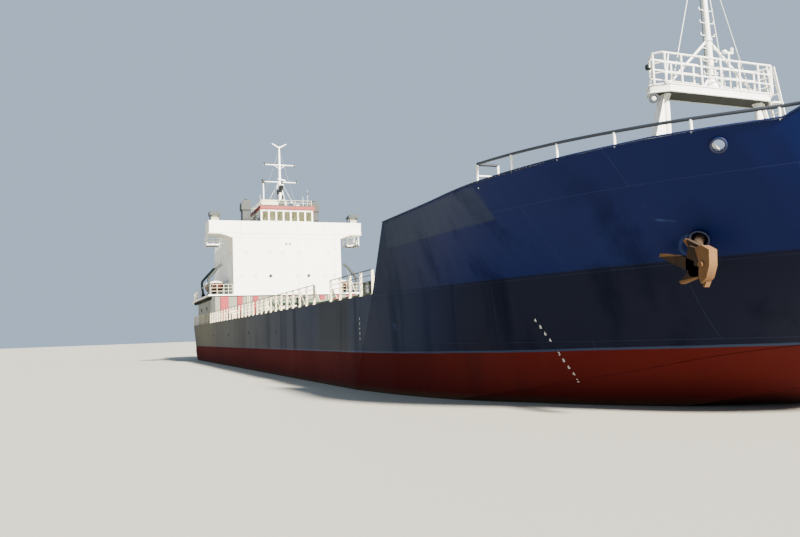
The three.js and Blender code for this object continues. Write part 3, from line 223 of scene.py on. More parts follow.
def makeFinish(name, colour, faded, grime, special=None, **changes):
    its = Sizes(plainFinish, **changes)
    made = bpy.data.materials.new(name)
    made.use_nodes = True
    tree = made.node_tree
    tree.nodes.clear()
    place = addNode(tree, "ShaderNodeTexCoord").outputs["Object"]
    worn = useGroup(tree, weather, vector=place, colour=tint(*colour), faded=tint(*faded),
                    grime=tint(*grime), fade=its.fade, streaks=its.streaks, spots=its.spots, scale=its.scale)
    rusted = useGroup(tree, rust, vector=place, scale=its.rustScale, share=its.rust)
    state = {"colour": worn["Colour"], "height": worn["Height"], "place": place,
             "roughness": plus(tree, its.roughness - .15, worn["Roughness"], True)}
    if special:
        special(tree, state)
    if its.rust > 0:
        state["colour"] = mixColours(tree, rusted["Mask"], state["colour"], rusted["Colour"])
        state["height"] = plus(tree, state["height"], rusted["Height"])
        state["roughness"] = plus(tree, state["roughness"], times(tree, rusted["Mask"], .4), True)
    bump = addNode(tree, "ShaderNodeBump", {"Height": state["height"], "Strength": its.relief,
                                            "Distance": .0008})
    shader = addNode(tree, "ShaderNodeBsdfPrincipled", {"Base Color": state["colour"],
                                                        "Roughness": state["roughness"],
                                                        "Metallic": its.metallic, "Coat Weight": its.coat,
                                                        "Specular IOR Level": its.specular,
                                                        "Normal": bump.outputs[0]})
    shader.inputs["Coat Roughness"].default_value = .15
    output = addNode(tree, "ShaderNodeOutputMaterial")
    tree.links.new(shader.outputs[0], output.inputs[0])
    finishes[name] = made


def coordinate(tree, place, axis):
    return addNode(tree, "ShaderNodeSeparateXYZ", {0: place}).outputs[axis]


def facingUp(tree):
    # How far the surface faces upwards, from its own normal
    normal = addNode(tree, "ShaderNodeNewGeometry").outputs["True Normal"]
    return between(tree, addNode(tree, "ShaderNodeSeparateXYZ", {0: normal}).outputs[2], .7, .9)


def alongSide(tree, place):
    # Length and height as the two coordinates of a pattern on an upright plate
    apart = addNode(tree, "ShaderNodeSeparateXYZ", {0: place})
    return addNode(tree, "ShaderNodeCombineXYZ", {0: apart.outputs[0], 1: apart.outputs[2]}).outputs[0]


def addSeams(tree, state, vector, share, **sizes):
    seam = useGroup(tree, seams, vector=vector, **sizes)["Seam"]
    state["height"] = plus(tree, state["height"], times(tree, seam, share))
    return seam


# Blue topsides over a red bottom, parted by a thin dull line; a duller bare patch on the bow
paintLines = Sizes({"bootTopZ": .156, "rise": .014, "riseStart": 2.5, "riseEnd": 4.3, "lineWidth": .006,
                    "patchLow": .545, "patchHigh": .65, "patchAft": 2.56, "patchFore": 3.3, "dullFore": 3.05,
                    "dullAft": 2.5, "dustFore": 1.8, "dustAft": -3.2, "stainFore": 2.1, "stainAft": 1.55,
                    "shadeTop": .392})


def hullPaint(tree, state):
    place, its = state["place"], paintLines
    x, z = coordinate(tree, place, 0), coordinate(tree, place, 2)
    seam = addSeams(tree, state, alongSide(tree, place), 1.4, length=.62, height=.19, width=.0011)
    uneven = between(tree, noiseAt(tree, place, .8, 4.0), .25, .6, .75, 1.0)
    dull = times(tree, between(tree, x, its.dullFore, its.dullAft, 0.0, .85), uneven)
    dusty = times(tree, between(tree, x, its.dustFore, its.dustAft, 0.0, .9), uneven)
    stain = times(tree, between(tree, x, its.stainFore, its.stainFore - .07),
                  between(tree, x, its.stainAft, its.stainAft + .1, 0.0, .7))
    # Painted shade: the blue below deck level is darkened towards the bow, standing in for the shade under
    # the knuckle
    low = times(tree, between(tree, z, its.shadeTop, its.shadeTop - .006),
                between(tree, x, its.dullAft, its.dullFore, 0.0, .8))
    colour = mixColours(tree, dull, state["colour"], tint(26, 34, 50))
    colour = mixColours(tree, dusty, colour, tint(104, 100, 86))
    colour = mixColours(tree, stain, colour, tint(16, 20, 24))
    colour = mixColours(tree, low, colour, tint(0, 3, 14))
    along = times(tree, between(tree, x, its.patchAft, its.patchAft + .02),
                  between(tree, x, its.patchFore, its.patchFore - .02))
    upright = times(tree, between(tree, z, its.patchLow, its.patchLow + .01),
                    between(tree, z, its.patchHigh, its.patchHigh - .01))
    colour = mixColours(tree, times(tree, times(tree, along, upright), .45), colour, tint(44, 54, 66))
    colour = mixColours(tree, times(tree, seam, .1), colour, tint(80, 92, 124))
    scratch = useGroup(tree, scratches, vector=place, scale=2.4, share=.5)["Mask"]
    colour = mixColours(tree, scratch, colour, tint(54, 72, 112))
    wave = times(tree, noiseAt(tree, place, 6.0, 3.0), .004)
    edge = plus(tree, between(tree, x, its.riseStart, its.riseEnd, its.bootTopZ - .002, its.bootTopZ
                              + its.rise), wave)
    above = maths(tree, "SUBTRACT", z, edge)
    band = times(tree, between(tree, above, its.lineWidth + .001, its.lineWidth), .3)
    colour = mixColours(tree, band, colour, tint(74, 90, 120))
    redPaint = useGroup(tree, weather, vector=place, colour=tint(72, 16, 12), faded=tint(84, 26, 20),
                        grime=tint(44, 18, 14), fade=.6, streaks=.4, spots=.4, scale=1.3)
    bottom = mixColours(tree, between(tree, z, .03, -.01), redPaint["Colour"], tint(64, 58, 42))
    under = between(tree, above, .0006, -.0006)
    state["colour"] = mixColours(tree, under, colour, bottom)
    state["roughness"] = plus(tree, state["roughness"], plus(tree, times(tree, under, .4),
                                                             times(tree, dusty, .4)), True)


def deckPattern(tree, state):
    seam = addSeams(tree, state, state["place"], .8, length=.6, height=.2, width=.0014)
    state["colour"] = mixColours(tree, times(tree, seam, .5), state["colour"], tint(90, 74, 58))


def houseWalls(tree, state):
    # White walls with plate seams, and painted walkways where a face looks up
    addSeams(tree, state, alongSide(tree, state["place"]), .5, length=.45, height=.17, width=.0009)
    walked = useGroup(tree, weather, vector=state["place"], colour=tint(96, 104, 92),
                      faded=tint(130, 132, 116), grime=tint(78, 66, 52), fade=.6, streaks=0.0, spots=.5,
                      scale=3.0)["Colour"]
    state["colour"] = mixColours(tree, facingUp(tree), state["colour"], walked)


makeFinish("hullPaint", (0, 14, 62), (2, 20, 72), (0, 6, 30), hullPaint, fade=.5, streaks=.5, spots=.1,
           scale=.9, roughness=.5, rust=.05, rustScale=3.0, specular=.12)
makeFinish("deckPaint", (44, 54, 38), (64, 68, 50), (58, 42, 30), deckPattern, fade=.7, streaks=0.0,
           spots=.7, scale=1.6, roughness=.65, rust=.35, rustScale=2.4)
makeFinish("whiteWalls", (240, 238, 228), (226, 222, 206), (176, 152, 118), houseWalls, streaks=.35,
           spots=.12, scale=1.5, roughness=.4, rust=.1, rustScale=5.0)
makeFinish("poopWalls", (104, 104, 90), (120, 118, 102), (84, 74, 60), houseWalls, fade=.5, streaks=.6,
           spots=.3, scale=2.0, roughness=.5, rust=.1, rustScale=4.0)
makeFinish("canvas", (196, 188, 160), (178, 170, 144), (140, 122, 98), streaks=.3, spots=.2, scale=5.0,
           roughness=.8, rust=0.0, relief=.8)
makeFinish("whitePaint", (240, 239, 232), (224, 222, 210), (170, 150, 122), streaks=.3, spots=.15, scale=3.0,
           roughness=.38, rust=.12, rustScale=9.0)
makeFinish("creamPaint", (206, 196, 164), (192, 184, 158), (150, 122, 88), streaks=.5, spots=.3, scale=4.0,
           roughness=.45, rust=.25, rustScale=12.0)
makeFinish("darkBar", (22, 28, 38), (36, 42, 50), (52, 42, 34), streaks=.2, spots=.4, scale=5.0,
           roughness=.5, rust=.15, rustScale=12.0)
makeFinish("bluePaint", (2, 14, 56), (10, 26, 72), (2, 8, 28), streaks=.3, spots=.2, scale=4.0,
           roughness=.35, rust=.12, rustScale=10.0)
makeFinish("greyPaint", (26, 32, 28), (40, 45, 39), (32, 27, 22), streaks=.4, spots=.4, scale=3.0,
           roughness=.55, rust=.2, rustScale=8.0)
# Painted shade: the dark grey of the sheet under the white foremast platform
makeFinish("underPaint", (46, 48, 46), (58, 60, 56), (42, 36, 30), streaks=0.0, spots=.4, scale=3.0,
           roughness=.6, rust=.2, rustScale=6.0)
makeFinish("orangeRed", (118, 26, 8), (126, 40, 18), (76, 30, 18), streaks=.4, spots=.25, scale=2.5,
           roughness=.45, rust=.1)
makeFinish("panelRed", (126, 16, 28), (136, 34, 40), (84, 34, 34), streaks=.5, spots=.25, scale=3.0,
           roughness=.5, rust=.1)
makeFinish("boatRed", (66, 28, 22), (84, 42, 34), (48, 28, 24), streaks=.4, spots=.3, scale=3.0,
           roughness=.55, rust=0.0)
# Paler rust: on the anchors' heads and fluke ends it is a painted sunlit face beside the darker copy
makeFinish("rustedSteel", (92, 64, 38), (108, 80, 52), (44, 28, 18), streaks=.3, spots=.8, scale=5.0,
           roughness=.9, rust=.3, rustScale=9.0, relief=.9, fade=.9, specular=.2)
# Darker copy of the same rust: painted shade on the anchors' shanks and fluke bodies
makeFinish("rustBrown", (36, 26, 20), (56, 42, 30), (18, 14, 12), streaks=.3, spots=.8, scale=5.0,
           roughness=.9, rust=.12, rustScale=8.0, relief=.9, fade=.9, specular=.2)
makeFinish("deckGear", (64, 84, 66), (92, 104, 82), (92, 66, 46), streaks=.4, spots=.6, scale=4.0,
           roughness=.55, rust=.35, rustScale=8.0)
makeFinish("wireRope", (176, 178, 174), (196, 196, 190), (120, 104, 84), streaks=.1, spots=.2, scale=12.0,
           roughness=.4, metallic=.4, rust=.05, rustScale=20.0)
makeFinish("bronze", (170, 132, 70), (150, 124, 78), (74, 84, 58), streaks=.2, spots=.6, scale=6.0,
           roughness=.35, metallic=.85, rust=0.0)
makeFinish("bottomRed", (80, 22, 16), (98, 38, 28), (48, 26, 20), streaks=.5, spots=.6, scale=3.0,
           roughness=.75, rust=.2)
makeFinish("markWhite", (226, 226, 218), (196, 198, 196), (120, 110, 100), streaks=.4, spots=.6, scale=20.0,
           roughness=.6, rust=0.0)
makeFinish("lampGlass", (214, 216, 208), (210, 214, 210), (150, 146, 136), streaks=.1, spots=.1, scale=20.0,
           roughness=.22, rust=0.0, coat=.6)
# Black rubber; it also fills the overboard discharges as painted shade for their holes
makeFinish("blackRubber", (30, 30, 30), (48, 46, 44), (80, 72, 62), streaks=.2, spots=.4, scale=9.0,
           roughness=.75, rust=0.0)


def makeGlass(name, colour, through):
    made = bpy.data.materials.new(name)
    made.use_nodes = True
    tree = made.node_tree
    tree.nodes.clear()
    place = addNode(tree, "ShaderNodeTexCoord").outputs["Object"]
    film = noiseAt(tree, place, 14.0, 5.0)
    salted = mixColours(tree, between(tree, film, .45, .75, 0.0, .35), colour, tint(150, 148, 120))
    rough = between(tree, film, .4, .8, .04, .2)
    shader = addNode(tree, "ShaderNodeBsdfPrincipled", {"Base Color": salted, "Roughness": rough,
                                                        "Transmission Weight": through})
    output = addNode(tree, "ShaderNodeOutputMaterial")
    tree.links.new(shader.outputs[0], output.inputs[0])
    finishes[name] = made


makeGlass("windowGlass", tint(92, 92, 62), .35)
makeGlass("portGlass", tint(28, 34, 38), 0.0)
print("finishes ready:", len(finishes))


# Shapes as whole arrays. A chunk is (points, list of face arrays, material index, smooth)
def fairLine(points, steps):
    # Centripetal Catmull-Rom: each span is a cubic, its end slopes weighted by the roots of the distances
    p = np.asarray(points, float)
    spans = len(p) - 1
    p = np.vstack([2 * p[0] - p[1], p, 2 * p[-1] - p[-2]])
    t = np.linspace(0, spans, steps + 1)
    i = np.minimum(t.astype(int), spans - 1)
    w = (t - i)[:, None]
    a, b, c, d = (p[i + k] for k in range(4))
    g0, g1, g2 = (np.maximum(np.linalg.norm(q - r, axis=1, keepdims=True), 1e-6) ** .5
                  for q, r in ((b, a), (c, b), (d, c)))
    s1 = ((b - a) / g0 - (c - a) / (g0 + g1) + (c - b) / g1) * g1
    s2 = ((c - b) / g1 - (d - b) / (g1 + g2) + (d - c) / g2) * g1
    return b + s1 * w + (3 * (c - b) - 2 * s1 - s2) * w ** 2 + (2 * (b - c) + s1 + s2) * w ** 3


def skin(grid, closed=True, material=0, smooth=True):
    # A grid of points, rows along a path and columns round a section; the two end rows are capped.
    # A list of materials gives each column of faces its own
    rows, columns = grid.shape[:2]
    index = np.arange(rows * columns).reshape(rows, columns)
    if closed:
        index = np.hstack([index, index[:, :1]])
    quads = np.stack([index[:-1, :-1], index[:-1, 1:], index[1:, 1:], index[1:, :-1]], -1).reshape(-1, 4)
    faces = [quads]
    if closed:
        faces += [index[:1, :-1][:, ::-1], index[-1:, :-1]]
    if np.ndim(material):
        material = [np.tile(material, rows - 1)] + [np.array([material[0]])] * (len(faces) - 1)
    return grid.reshape(-1, 3), faces, material, smooth


def unit(vectors):
    # Each vector over its own length
    vectors = np.asarray(vectors, float)
    return vectors / np.maximum(np.linalg.norm(vectors, axis=-1, keepdims=True), 1e-9)


def travelled(path):
    # The way along a path to each of its points
    return np.insert(np.cumsum(np.linalg.norm(np.diff(path, axis=0), axis=1)), 0, 0)


def perpendiculars(along):
    # Two unit vectors square to each direction
    guide = np.where(np.abs(along[:, 2:3]) > .9, [[1.0, 0.0, 0.0]], [[0.0, 0.0, 1.0]])
    across = unit(np.cross(guide, along))
    return across, np.cross(along, across)


def rods(starts, ends, radius, count, material=0, endRadius=None):
    # Many round bars at once: two rings of points for each, centre + radius times (cos, sin) of the section
    a, b = np.atleast_2d(starts).astype(float), np.atleast_2d(ends).astype(float)
    across, upright = perpendiculars(unit(b - a))
    angle = (np.arange(count) + .5) * 2 * math.pi / count
    ring = across[:, None] * np.cos(angle)[None, :, None] + upright[:, None] * np.sin(angle)[None, :, None]
    first = np.broadcast_to(np.asarray(radius, float), (len(a),))[:, None, None]
    last = first if endRadius is None else np.broadcast_to(np.asarray(endRadius, float),
                                                           (len(a),))[:, None, None]
    points = np.stack([a[:, None] + ring * first, b[:, None] + ring * last], 1)
    base = (np.arange(len(a)) * 2 * count)[:, None]
    low = base + np.arange(count)[None]
    nextLow = base + (np.arange(count)[None] + 1) % count
    quads = np.stack([low, nextLow, nextLow + count, low + count], -1).reshape(-1, 4)
    return points.reshape(-1, 3), [quads, low[:, ::-1], low + count], material, True


def pipe(path, radius, count, material=0, flat=1.0):
    # A bar along a path: rings square to the path's mean direction at each point, height times flat
    p = np.asarray(path, float)
    across, upright = perpendiculars(unit(np.gradient(p, axis=0)))
    angle = (np.arange(count) + .5) * 2 * math.pi / count
    r = np.broadcast_to(np.asarray(radius, float), (len(p),))[:, None, None]
    grid = p[:, None] + r * (across[:, None] * np.cos(angle)[None, :, None] + upright[:, None]
                             * np.sin(angle)[None, :, None] * flat)
    return skin(grid, True, material)


def points(*columns):
    # Points from their columns, of which a single number fills a whole one
    columns = [np.asarray(column, float) for column in columns]
    count = max(len(column) for column in columns if column.ndim)
    wide = [column if column.ndim > 1 else np.broadcast_to(column, count)[:, None] for column in columns]
    return np.hstack(wide)


cornerSigns = np.array([[x, y, z] for x in (0, 1) for y in (0, 1) for z in (0, 1)])


def chamferedFaces():
    # Faces of a block whose eight corners are each three points, one for each face that meets there
    def code(corner, axis):
        return ((corner[0] * 2 + corner[1]) * 2 + corner[2]) * 3 + axis
    quads = []
    for axis in range(3):
        others = [k for k in range(3) if k != axis]
        for side in (0, 1):
            face = []
            for u, v in ((0, 0), (0, 1), (1, 1), (1, 0)):
                corner = [0, 0, 0]
                corner[axis], corner[others[0]], corner[others[1]] = side, u, v
                face.append(code(corner, axis))
            quads.append(face)
        for u in (0, 1):
            for v in (0, 1):
                edge = []
                for end, order in ((0, others), (1, others[::-1])):
                    corner = [0, 0, 0]
                    corner[axis], corner[others[0]], corner[others[1]] = end, u, v
                    edge += [code(corner, normal) for normal in order]
                quads.append(edge)
    return np.array(quads), np.array([[code(corner, axis) for axis in range(3)] for corner in cornerSigns])


chamferQuads, chamferCorners = chamferedFaces()


def boxes(lows, highs, material=0, chamfer=.012):
    # Many blocks at once between opposite corners, each corner cut back into three points by the chamfer
    a, b = np.atleast_2d(lows).astype(float), np.atleast_2d(highs).astype(float)
    low, high = np.minimum(a, b), np.maximum(a, b)
    cut = np.minimum(chamfer, (high - low).min(1) * .35)[:, None, None, None]
    corner = low[:, None] + (high - low)[:, None] * cornerSigns[None]
    points = corner[:, :, None] + cut * (1 - 2 * cornerSigns)[None, :, None] * (1 - np.eye(3))[None, None]
    base = (np.arange(len(low)) * 24)[:, None, None]
    return (points.reshape(-1, 3), [(base + chamferQuads[None]).reshape(-1, 4),
                                    (base + chamferCorners[None]).reshape(-1, 3)], material, False)


def lathe(profile, centre, segments=24, material=0, axis=(0, 0, 1)):
    # A profile of (distance along the axis, radius) turned round the axis
    profile = np.asarray(profile, float)
    along = unit(axis)[None]
    across, upright = perpendiculars(along)
    angle = np.arange(segments) * 2 * math.pi / segments
    ring = across * np.cos(angle)[:, None] + upright * np.sin(angle)[:, None]
    grid = (np.asarray(centre, float)[None, None] + profile[:, 0, None, None] * along[None]
            + profile[:, 1, None, None] * ring[None])
    return skin(grid, True, material)


def plate(outline, low, high, axis, material=0):
    # An outline given in the two other axes, drawn out along one axis from low to high
    outline = np.asarray(outline, float)
    rings = [np.insert(outline, axis, level, axis=1) for level in (low, high)]
    return skin(np.stack(rings), True, material, False)


def hoop(centre, axis, radius, tube, segments, tubeSides, material=0):
    # A round bar bent into a ring: the tube's circle carried round the axis
    along = unit(axis)[None]
    across, upright = perpendiculars(along)
    a = np.arange(segments + 1) * 2 * math.pi / segments
    b = np.arange(tubeSides) * 2 * math.pi / tubeSides
    out = across * np.cos(a)[:, None] + upright * np.sin(a)[:, None]
    grid = (np.asarray(centre, float) + out[:, None] * (radius + tube * np.cos(b)[None, :, None])
            + along[None] * tube * np.sin(b)[None, :, None])
    points, faces, _, smooth = skin(grid, True, material)
    return points, faces[:1], material, smooth


def ball(centre, radii, segments, rings):
    # An ellipsoid: centre + radii times the unit sphere at evenly spaced latitudes
    lat = np.linspace(.02, math.pi - .02, rings)
    profile = np.stack([-np.cos(lat), np.sin(lat)], 1)
    points, faces, kind, smooth = lathe(profile, (0, 0, 0), segments)
    return points * np.asarray(radii, float) + np.asarray(centre, float), faces, kind, smooth


def mirrored(chunk):
    return (chunk[0] * [1, -1, 1],) + chunk[1:]


def placed(chunk, offset, turn):
    return (chunk[0] @ np.asarray(turn, float).T + np.asarray(offset, float),) + chunk[1:]


def bothSides(port):
    # The port side's chunks with their mirror image
    return port + [mirrored(chunk) for chunk in port]


def outward(mesh):
    work = bmesh.new()
    work.from_mesh(mesh)
    bmesh.ops.remove_doubles(work, verts=work.verts, dist=1e-6)
    bmesh.ops.recalc_face_normals(work, faces=work.faces)
    work.to_mesh(mesh)
    work.free()


def meshOf(name, chunks, materials=(), sharpAngle=32):
    points, loops, counts, kinds, smooth, start = [], [], [], [], [], 0
    for cloud, faces, material, soft in chunks:
        points.append(cloud)
        for order, face in enumerate(faces):
            loops.append(face.ravel() + start)
            counts.append(np.full(len(face), face.shape[1]))
            kinds.append(material[order] if isinstance(material, list) else np.full(len(face), material))
            smooth.append(np.full(len(face), soft))
        start += len(cloud)
    points, loops, counts = np.concatenate(points), np.concatenate(loops), np.concatenate(counts)
    mesh = bpy.data.meshes.new(name)
    mesh.vertices.add(len(points))
    mesh.vertices.foreach_set("co", (points * modelScale).astype(np.float32).ravel())
    mesh.loops.add(len(loops))
    mesh.loops.foreach_set("vertex_index", loops.astype(np.int32))
    mesh.polygons.add(len(counts))
    mesh.polygons.foreach_set("loop_start", (np.cumsum(counts) - counts).astype(np.int32))
    mesh.polygons.foreach_set("material_index", np.concatenate(kinds).astype(np.int32))
    mesh.polygons.foreach_set("use_smooth", np.concatenate(smooth))
    mesh.update(calc_edges=True)
    for entry in materials:
        mesh.materials.append(finishes[entry])
    outward(mesh)
    mesh.set_sharp_from_angle(angle=math.radians(sharpAngle))
    return mesh


def buildPiece(name, chunks, materials, replaced="", body="ship", sharpAngle=32, cuts=()):
    made = bpy.data.objects.new(name, meshOf(name, chunks, materials.split(), sharpAngle))
    bpy.context.scene.collection.objects.link(made)
    if cuts:
        carve(made, cuts)
        made.data.set_sharp_from_angle(angle=math.radians(sharpAngle))
    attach(made, body)
    if replaced:
        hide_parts(*replaced.split())


def buildSides(name, chunks, materials, replaced="", body="", sharpAngle=32, which=sides):
    # The port side's chunks and their mirror image, each a piece of its own
    for side, sign in which:
        own = chunks if sign > 0 else [mirrored(chunk) for chunk in chunks]
        buildPiece(f"{name}_{side}", own, materials, replaced and f"{replaced}_{side}",
                   f"{body}_{side}" if body else "ship", sharpAngle)


def carve(target, cuts):
    # Each cutter is taken away by a boolean that is applied at once
    for cut in cuts:
        cutter = bpy.data.objects.new("cutter", meshOf("cutter", [cut]))
        bpy.context.scene.collection.objects.link(cutter)
        modifier = target.modifiers.new("cut", "BOOLEAN")
        modifier.operation, modifier.solver, modifier.object = "DIFFERENCE", "EXACT", cutter
        solid = target.evaluated_get(bpy.context.evaluated_depsgraph_get())
        mesh = bpy.data.meshes.new_from_object(solid)
        target.modifiers.clear()
        target.data = mesh
        bpy.data.objects.remove(cutter)


def railBars(path, heights, radius, material, count=6):
    # Straight bars between neighbouring points of a path, one set at each height
    p = np.asarray(path, float)
    lift = np.asarray(heights, float)[:, None, None] * [0, 0, 1]
    starts, ends = (p[None, :-1] + lift).reshape(-1, 3), (p[None, 1:] + lift).reshape(-1, 3)
    return rods(starts, ends, radius, count, material)


def alongPath(path, pitch):
    # Points at nearly even pitch along each straight stretch of a path
    found = []
    p = np.asarray(path, float)
    for a, b in zip(p[:-1], p[1:]):
        spans = max(1, round(float(np.linalg.norm(b - a)) / pitch))
        share = np.linspace(0, 1, spans + 1)[:, None]
        found.append(a + (b - a) * share)
    return np.concatenate(found)


def railing(path, heights, pitch, radius, postRadius, materials=(0, 0)):
    posts = np.unique(np.round(alongPath(path, pitch), 4), axis=0)
    top = max(heights)
    return [railBars(path, heights, radius, materials[0]), rods(posts, posts + [0, 0, top], postRadius, 8,
                                                                materials[1]),
            rods(posts, posts + [0, 0, .03], postRadius * 2.2, 8, materials[1])]


print("shapes ready")


# Hull: four fair lines on the port side, ruled between, with plates sunk a little between the frames
hull = Sizes({"deckZ": 3.87, "halfBeam": 8.06, "steps": (90, 330, 130), "rowsUp": 18, "frames": .65,
              "strake": 1.9, "sink": .011, "camber": .06, "dents": 26, "dentDepth": .035,
              "dentSeeds": (11, 12), "dentZs": (.4, 3.4)})
hullLines = {"keel": ([[-45, .5, 1.7], [-43, .5, 1.45], [-40.8, .5, 1.15], [-37.5, .5, .2], [-34, .5, -.9]],
                      [[-29, .5, -1.5], [17, .5, -1.5]], [[21, .5, -1.5], [25, .5, -1.45], [28.5, .5, -1.25],
                                                          [31.5, .5, -.95], [34, .4, -.6], [35.6, .2, -.25],
                                                          [36.4, .08, 0]]),
             "lowChine": ([[-45, 5.7, 1.75], [-43, 6.3, 1.5], [-40.8, 6.7, 1.2], [-37.5, 7, .3],
                           [-34, 7.2, -.85]], [[-29, 7.3, -1.5], [19, 7.3, -1.5]],
                          [[23, 7.05, -1.42], [27, 6.35, -1.2], [30.2, 5.3, -.85], [33, 4, -.4],
                           [35.2, 2.8, .06], [37, 1.45, .46], [38, .08, .64]]),
             "highChine": ([[-45, 6.4, 2.1], [-43, 7, 1.9], [-40.8, 7.5, 1.6], [-37.5, 7.9, .8],
                            [-34, 8.04, -.2]], [[-29, 8.06, -.75], [21, 8.06, -.75]],
                           [[25, 7.65, -.5], [29, 6.7, .08], [32, 5.5, .57], [34.8, 4.3, 1.04],
                            [36.9, 3.15, 1.46], [38.8, 1.5, 1.75], [39.7, .08, 1.83]]),
             "deck": ([[-45, 6.7, 3.87], [-43, 7.3, 3.87], [-40.8, 7.8, 3.87], [-37.5, 8.02, 3.87],
                       [-34, 8.06, 3.87]], [[-29, 8.06, 3.87], [24, 8.06, 3.87]],
                      [[28, 7.2, 3.87], [32, 6.3, 3.87], [35, 5.45, 3.87], [38, 4.25, 3.87],
                       [40.3, 3.1, 3.87], [42, 1.6, 3.87], [42.8, .08, 3.87]])}


def hullLine(name):
    stern, middle, fore = hullLines[name]
    aftSteps, middleSteps, foreSteps = hull.steps
    aft = fairLine(stern + middle[:1], aftSteps)
    ahead = fairLine(middle[1:] + fore, foreSteps)
    share = np.linspace(0, 1, middleSteps + 1)[1:-1, None]
    return np.vstack([aft, aft[-1] * (1 - share) + ahead[0] * share, ahead])


def ruled(low, high, count):
    # Straight lines between two curves: low + share * (high - low)
    share = np.linspace(0, 1, count + 1)[None, :, None]
    return low[:, None] + share * (high - low)[:, None]


def inwards(grid):
    # Unit vectors into the hull on the port side, from the two directions of the grid
    normal = unit(np.cross(np.gradient(grid, axis=0), np.gradient(grid, axis=1)))
    return normal * np.where(normal[..., 1:2] > 0, -1, 1)


def sunkPlates(grid, depth, frames, strake):
    # Plates sink between frames by depth * sin^2(pi x / frames) * sin^2(pi z / strake), and not at the edges
    amount = depth * np.sin(math.pi * grid[..., 0] / frames) ** 2 * np.sin(math.pi
                                                                           * grid[..., 2] / strake) ** 2
    return sunkBy(grid, amount)


def sunkBy(grid, amount):
    amount[:, 0] = amount[:, -1] = 0
    amount[0] = amount[-1] = 0
    return grid + inwards(grid) * amount[..., None]


def dented(grid, seed, count, depth, lowZ, highZ):
    # Round dents: each sinks by depth * exp(-(distance / width)^2)
    random = np.random.default_rng(seed)
    amount = np.zeros(grid.shape[:2])
    for x, z, width, sink in zip(random.uniform(-40, 34, count), random.uniform(lowZ, highZ, count),
                                 random.uniform(.35, 1.1, count), random.uniform(.3, 1, count)):
        away = ((grid[..., 0] - x) / width) ** 2 + ((grid[..., 2] - z) / width * 1.4) ** 2
        amount += sink * depth * np.exp(-away)
    return sunkBy(grid, amount)


def makeHull():
    keel, lowChine, highChine, deck = (hullLine(name) for name in ("keel", "lowChine", "highChine", "deck"))
    side = sunkPlates(ruled(highChine, deck, hull.rowsUp), hull.sink, hull.frames, hull.strake)
    shells = [dented(side, seed, hull.dents, hull.dentDepth, *hull.dentZs) for seed in hull.dentSeeds]
    bottom = np.concatenate([ruled(keel, lowChine, 3)[:, :-1], ruled(lowChine, highChine, 4)[:, :-1]], 1)
    starboard, port = (np.concatenate([bottom, shell], 1) for shell in shells)
    starboard = starboard * [1, -1, 1]
    top = ruled(port[:, -1], starboard[:, -1], 12)[:, 1:-1]
    half = np.maximum(np.abs(port[:, -1:, 1]), .01)
    top[..., 2] += hull.camber * (1 - (top[..., 1] / half) ** 2)
    ring = np.concatenate([port, top, starboard[:, ::-1]], 1)
    kinds = [0] * (port.shape[1] - 1) + [1] * (top.shape[1] + 1) + [0] * port.shape[1]
    chunks = [skin(ring, True, kinds)]
    # Beads of weld along the chines, and the flat bar that edges the main deck
    for line, radius in ((lowChine, .02), (highChine, .024)):
        chunks += [pipe(line[:-2] * [1, sign, 1], radius, 6) for _, sign in sides]
    waterway = deck[(deck[:, 0] > -24) & (deck[:, 0] < 32.9)] + [0, -.16, .045]
    chunks += [pipe(waterway * [1, sign, 1], .035, 4, 1, 2.2) for _, sign in sides]
    # Skeg, shaft boss and rudder trunk, under the stern
    skeg = np.array([[[x, y, z] for y, z in ((.22, low), (.22, 1.3), (-.22, 1.3), (-.22, low))]
                     for x, low in zip(np.linspace(-29, -39.6, 12), np.linspace(-1.5, -1.3, 12))])
    skeg[:, :, 1] *= np.linspace(1, .55, 12)[:, None]
    chunks += [skin(skeg), lathe([[0, .5], [1.5, .46], [2.9, .36], [3.8, .31], [3.9, .29]], (-36, 0, -.3),
                                 axis=(-1, 0, 0)), lathe([[0, .24], [.06, .25], [.75, .25]],
                                                         (-42.4, 0, 1.15))]
    buildPiece("hull_shell", chunks, "hullPaint deckPaint", "hull", sharpAngle=9)


def makeRubbing():
    # Overboard discharges along each side: a lip, and a black disc in it as painted shade for the hole
    chunks = []
    for _, sign in sides:
        for x in np.arange(-22, 14, 9.3):
            chunks += [hoop((x, sign * hull.halfBeam, 2.62 + .12 * math.sin(x)), (0, 1, 0), .09, .025, 16,
                            6)]
            chunks += [lathe([[-.05, .085], [.012, .085]], (x, sign * (hull.halfBeam - .02),
                                                            2.62 + .12 * math.sin(x)), 16, 1, (0, sign, 0))]
    buildPiece("side_discharges", chunks, "bluePaint blackRubber")


def skinPlace(low, high, x, z):
    # Where ruled skin stands at a length and height (port side), and its two tangents and outward normal
    def at(x, z):
        share = (z - low[:, 2]) / (high[:, 2] - low[:, 2])
        level = low + share[:, None] * (high - low)
        return np.array([x, np.interp(x, level[:, 0], level[:, 1]), z])
    reach = .06
    ahead = at(x + reach, z) - at(x - reach, z)
    up = at(x, z + reach) - at(x, z - reach)
    ahead, up = unit(ahead), unit(up)
    normal = unit(np.cross(ahead, up))
    normal *= math.copysign(1, normal[1])
    return at(x, z), ahead, up, normal


# Draught marks: plain numbers of raised paint near the bow and a second set farther aft
marks = Sizes({"digitHeight": .11, "bowZs": [2.55, 2.35, 2.15, 1.95, 1.55, 1.35, 1.15, .95, .75],
               "bowXs": [32.53, 32.65, 32.74, 32.83, 32.96, 33.02, 33.09, 33.15, 33.18],
               "bowDigits": ["4", "8", "6", "4", "3", "8", "6", "4", "2"], "aftX": 22.35,
               "aftZs": [2.94, 2.74, 2.54, 2.34, 2.14], "aftDigits": ["4", "2", "4", "8", "6"]})


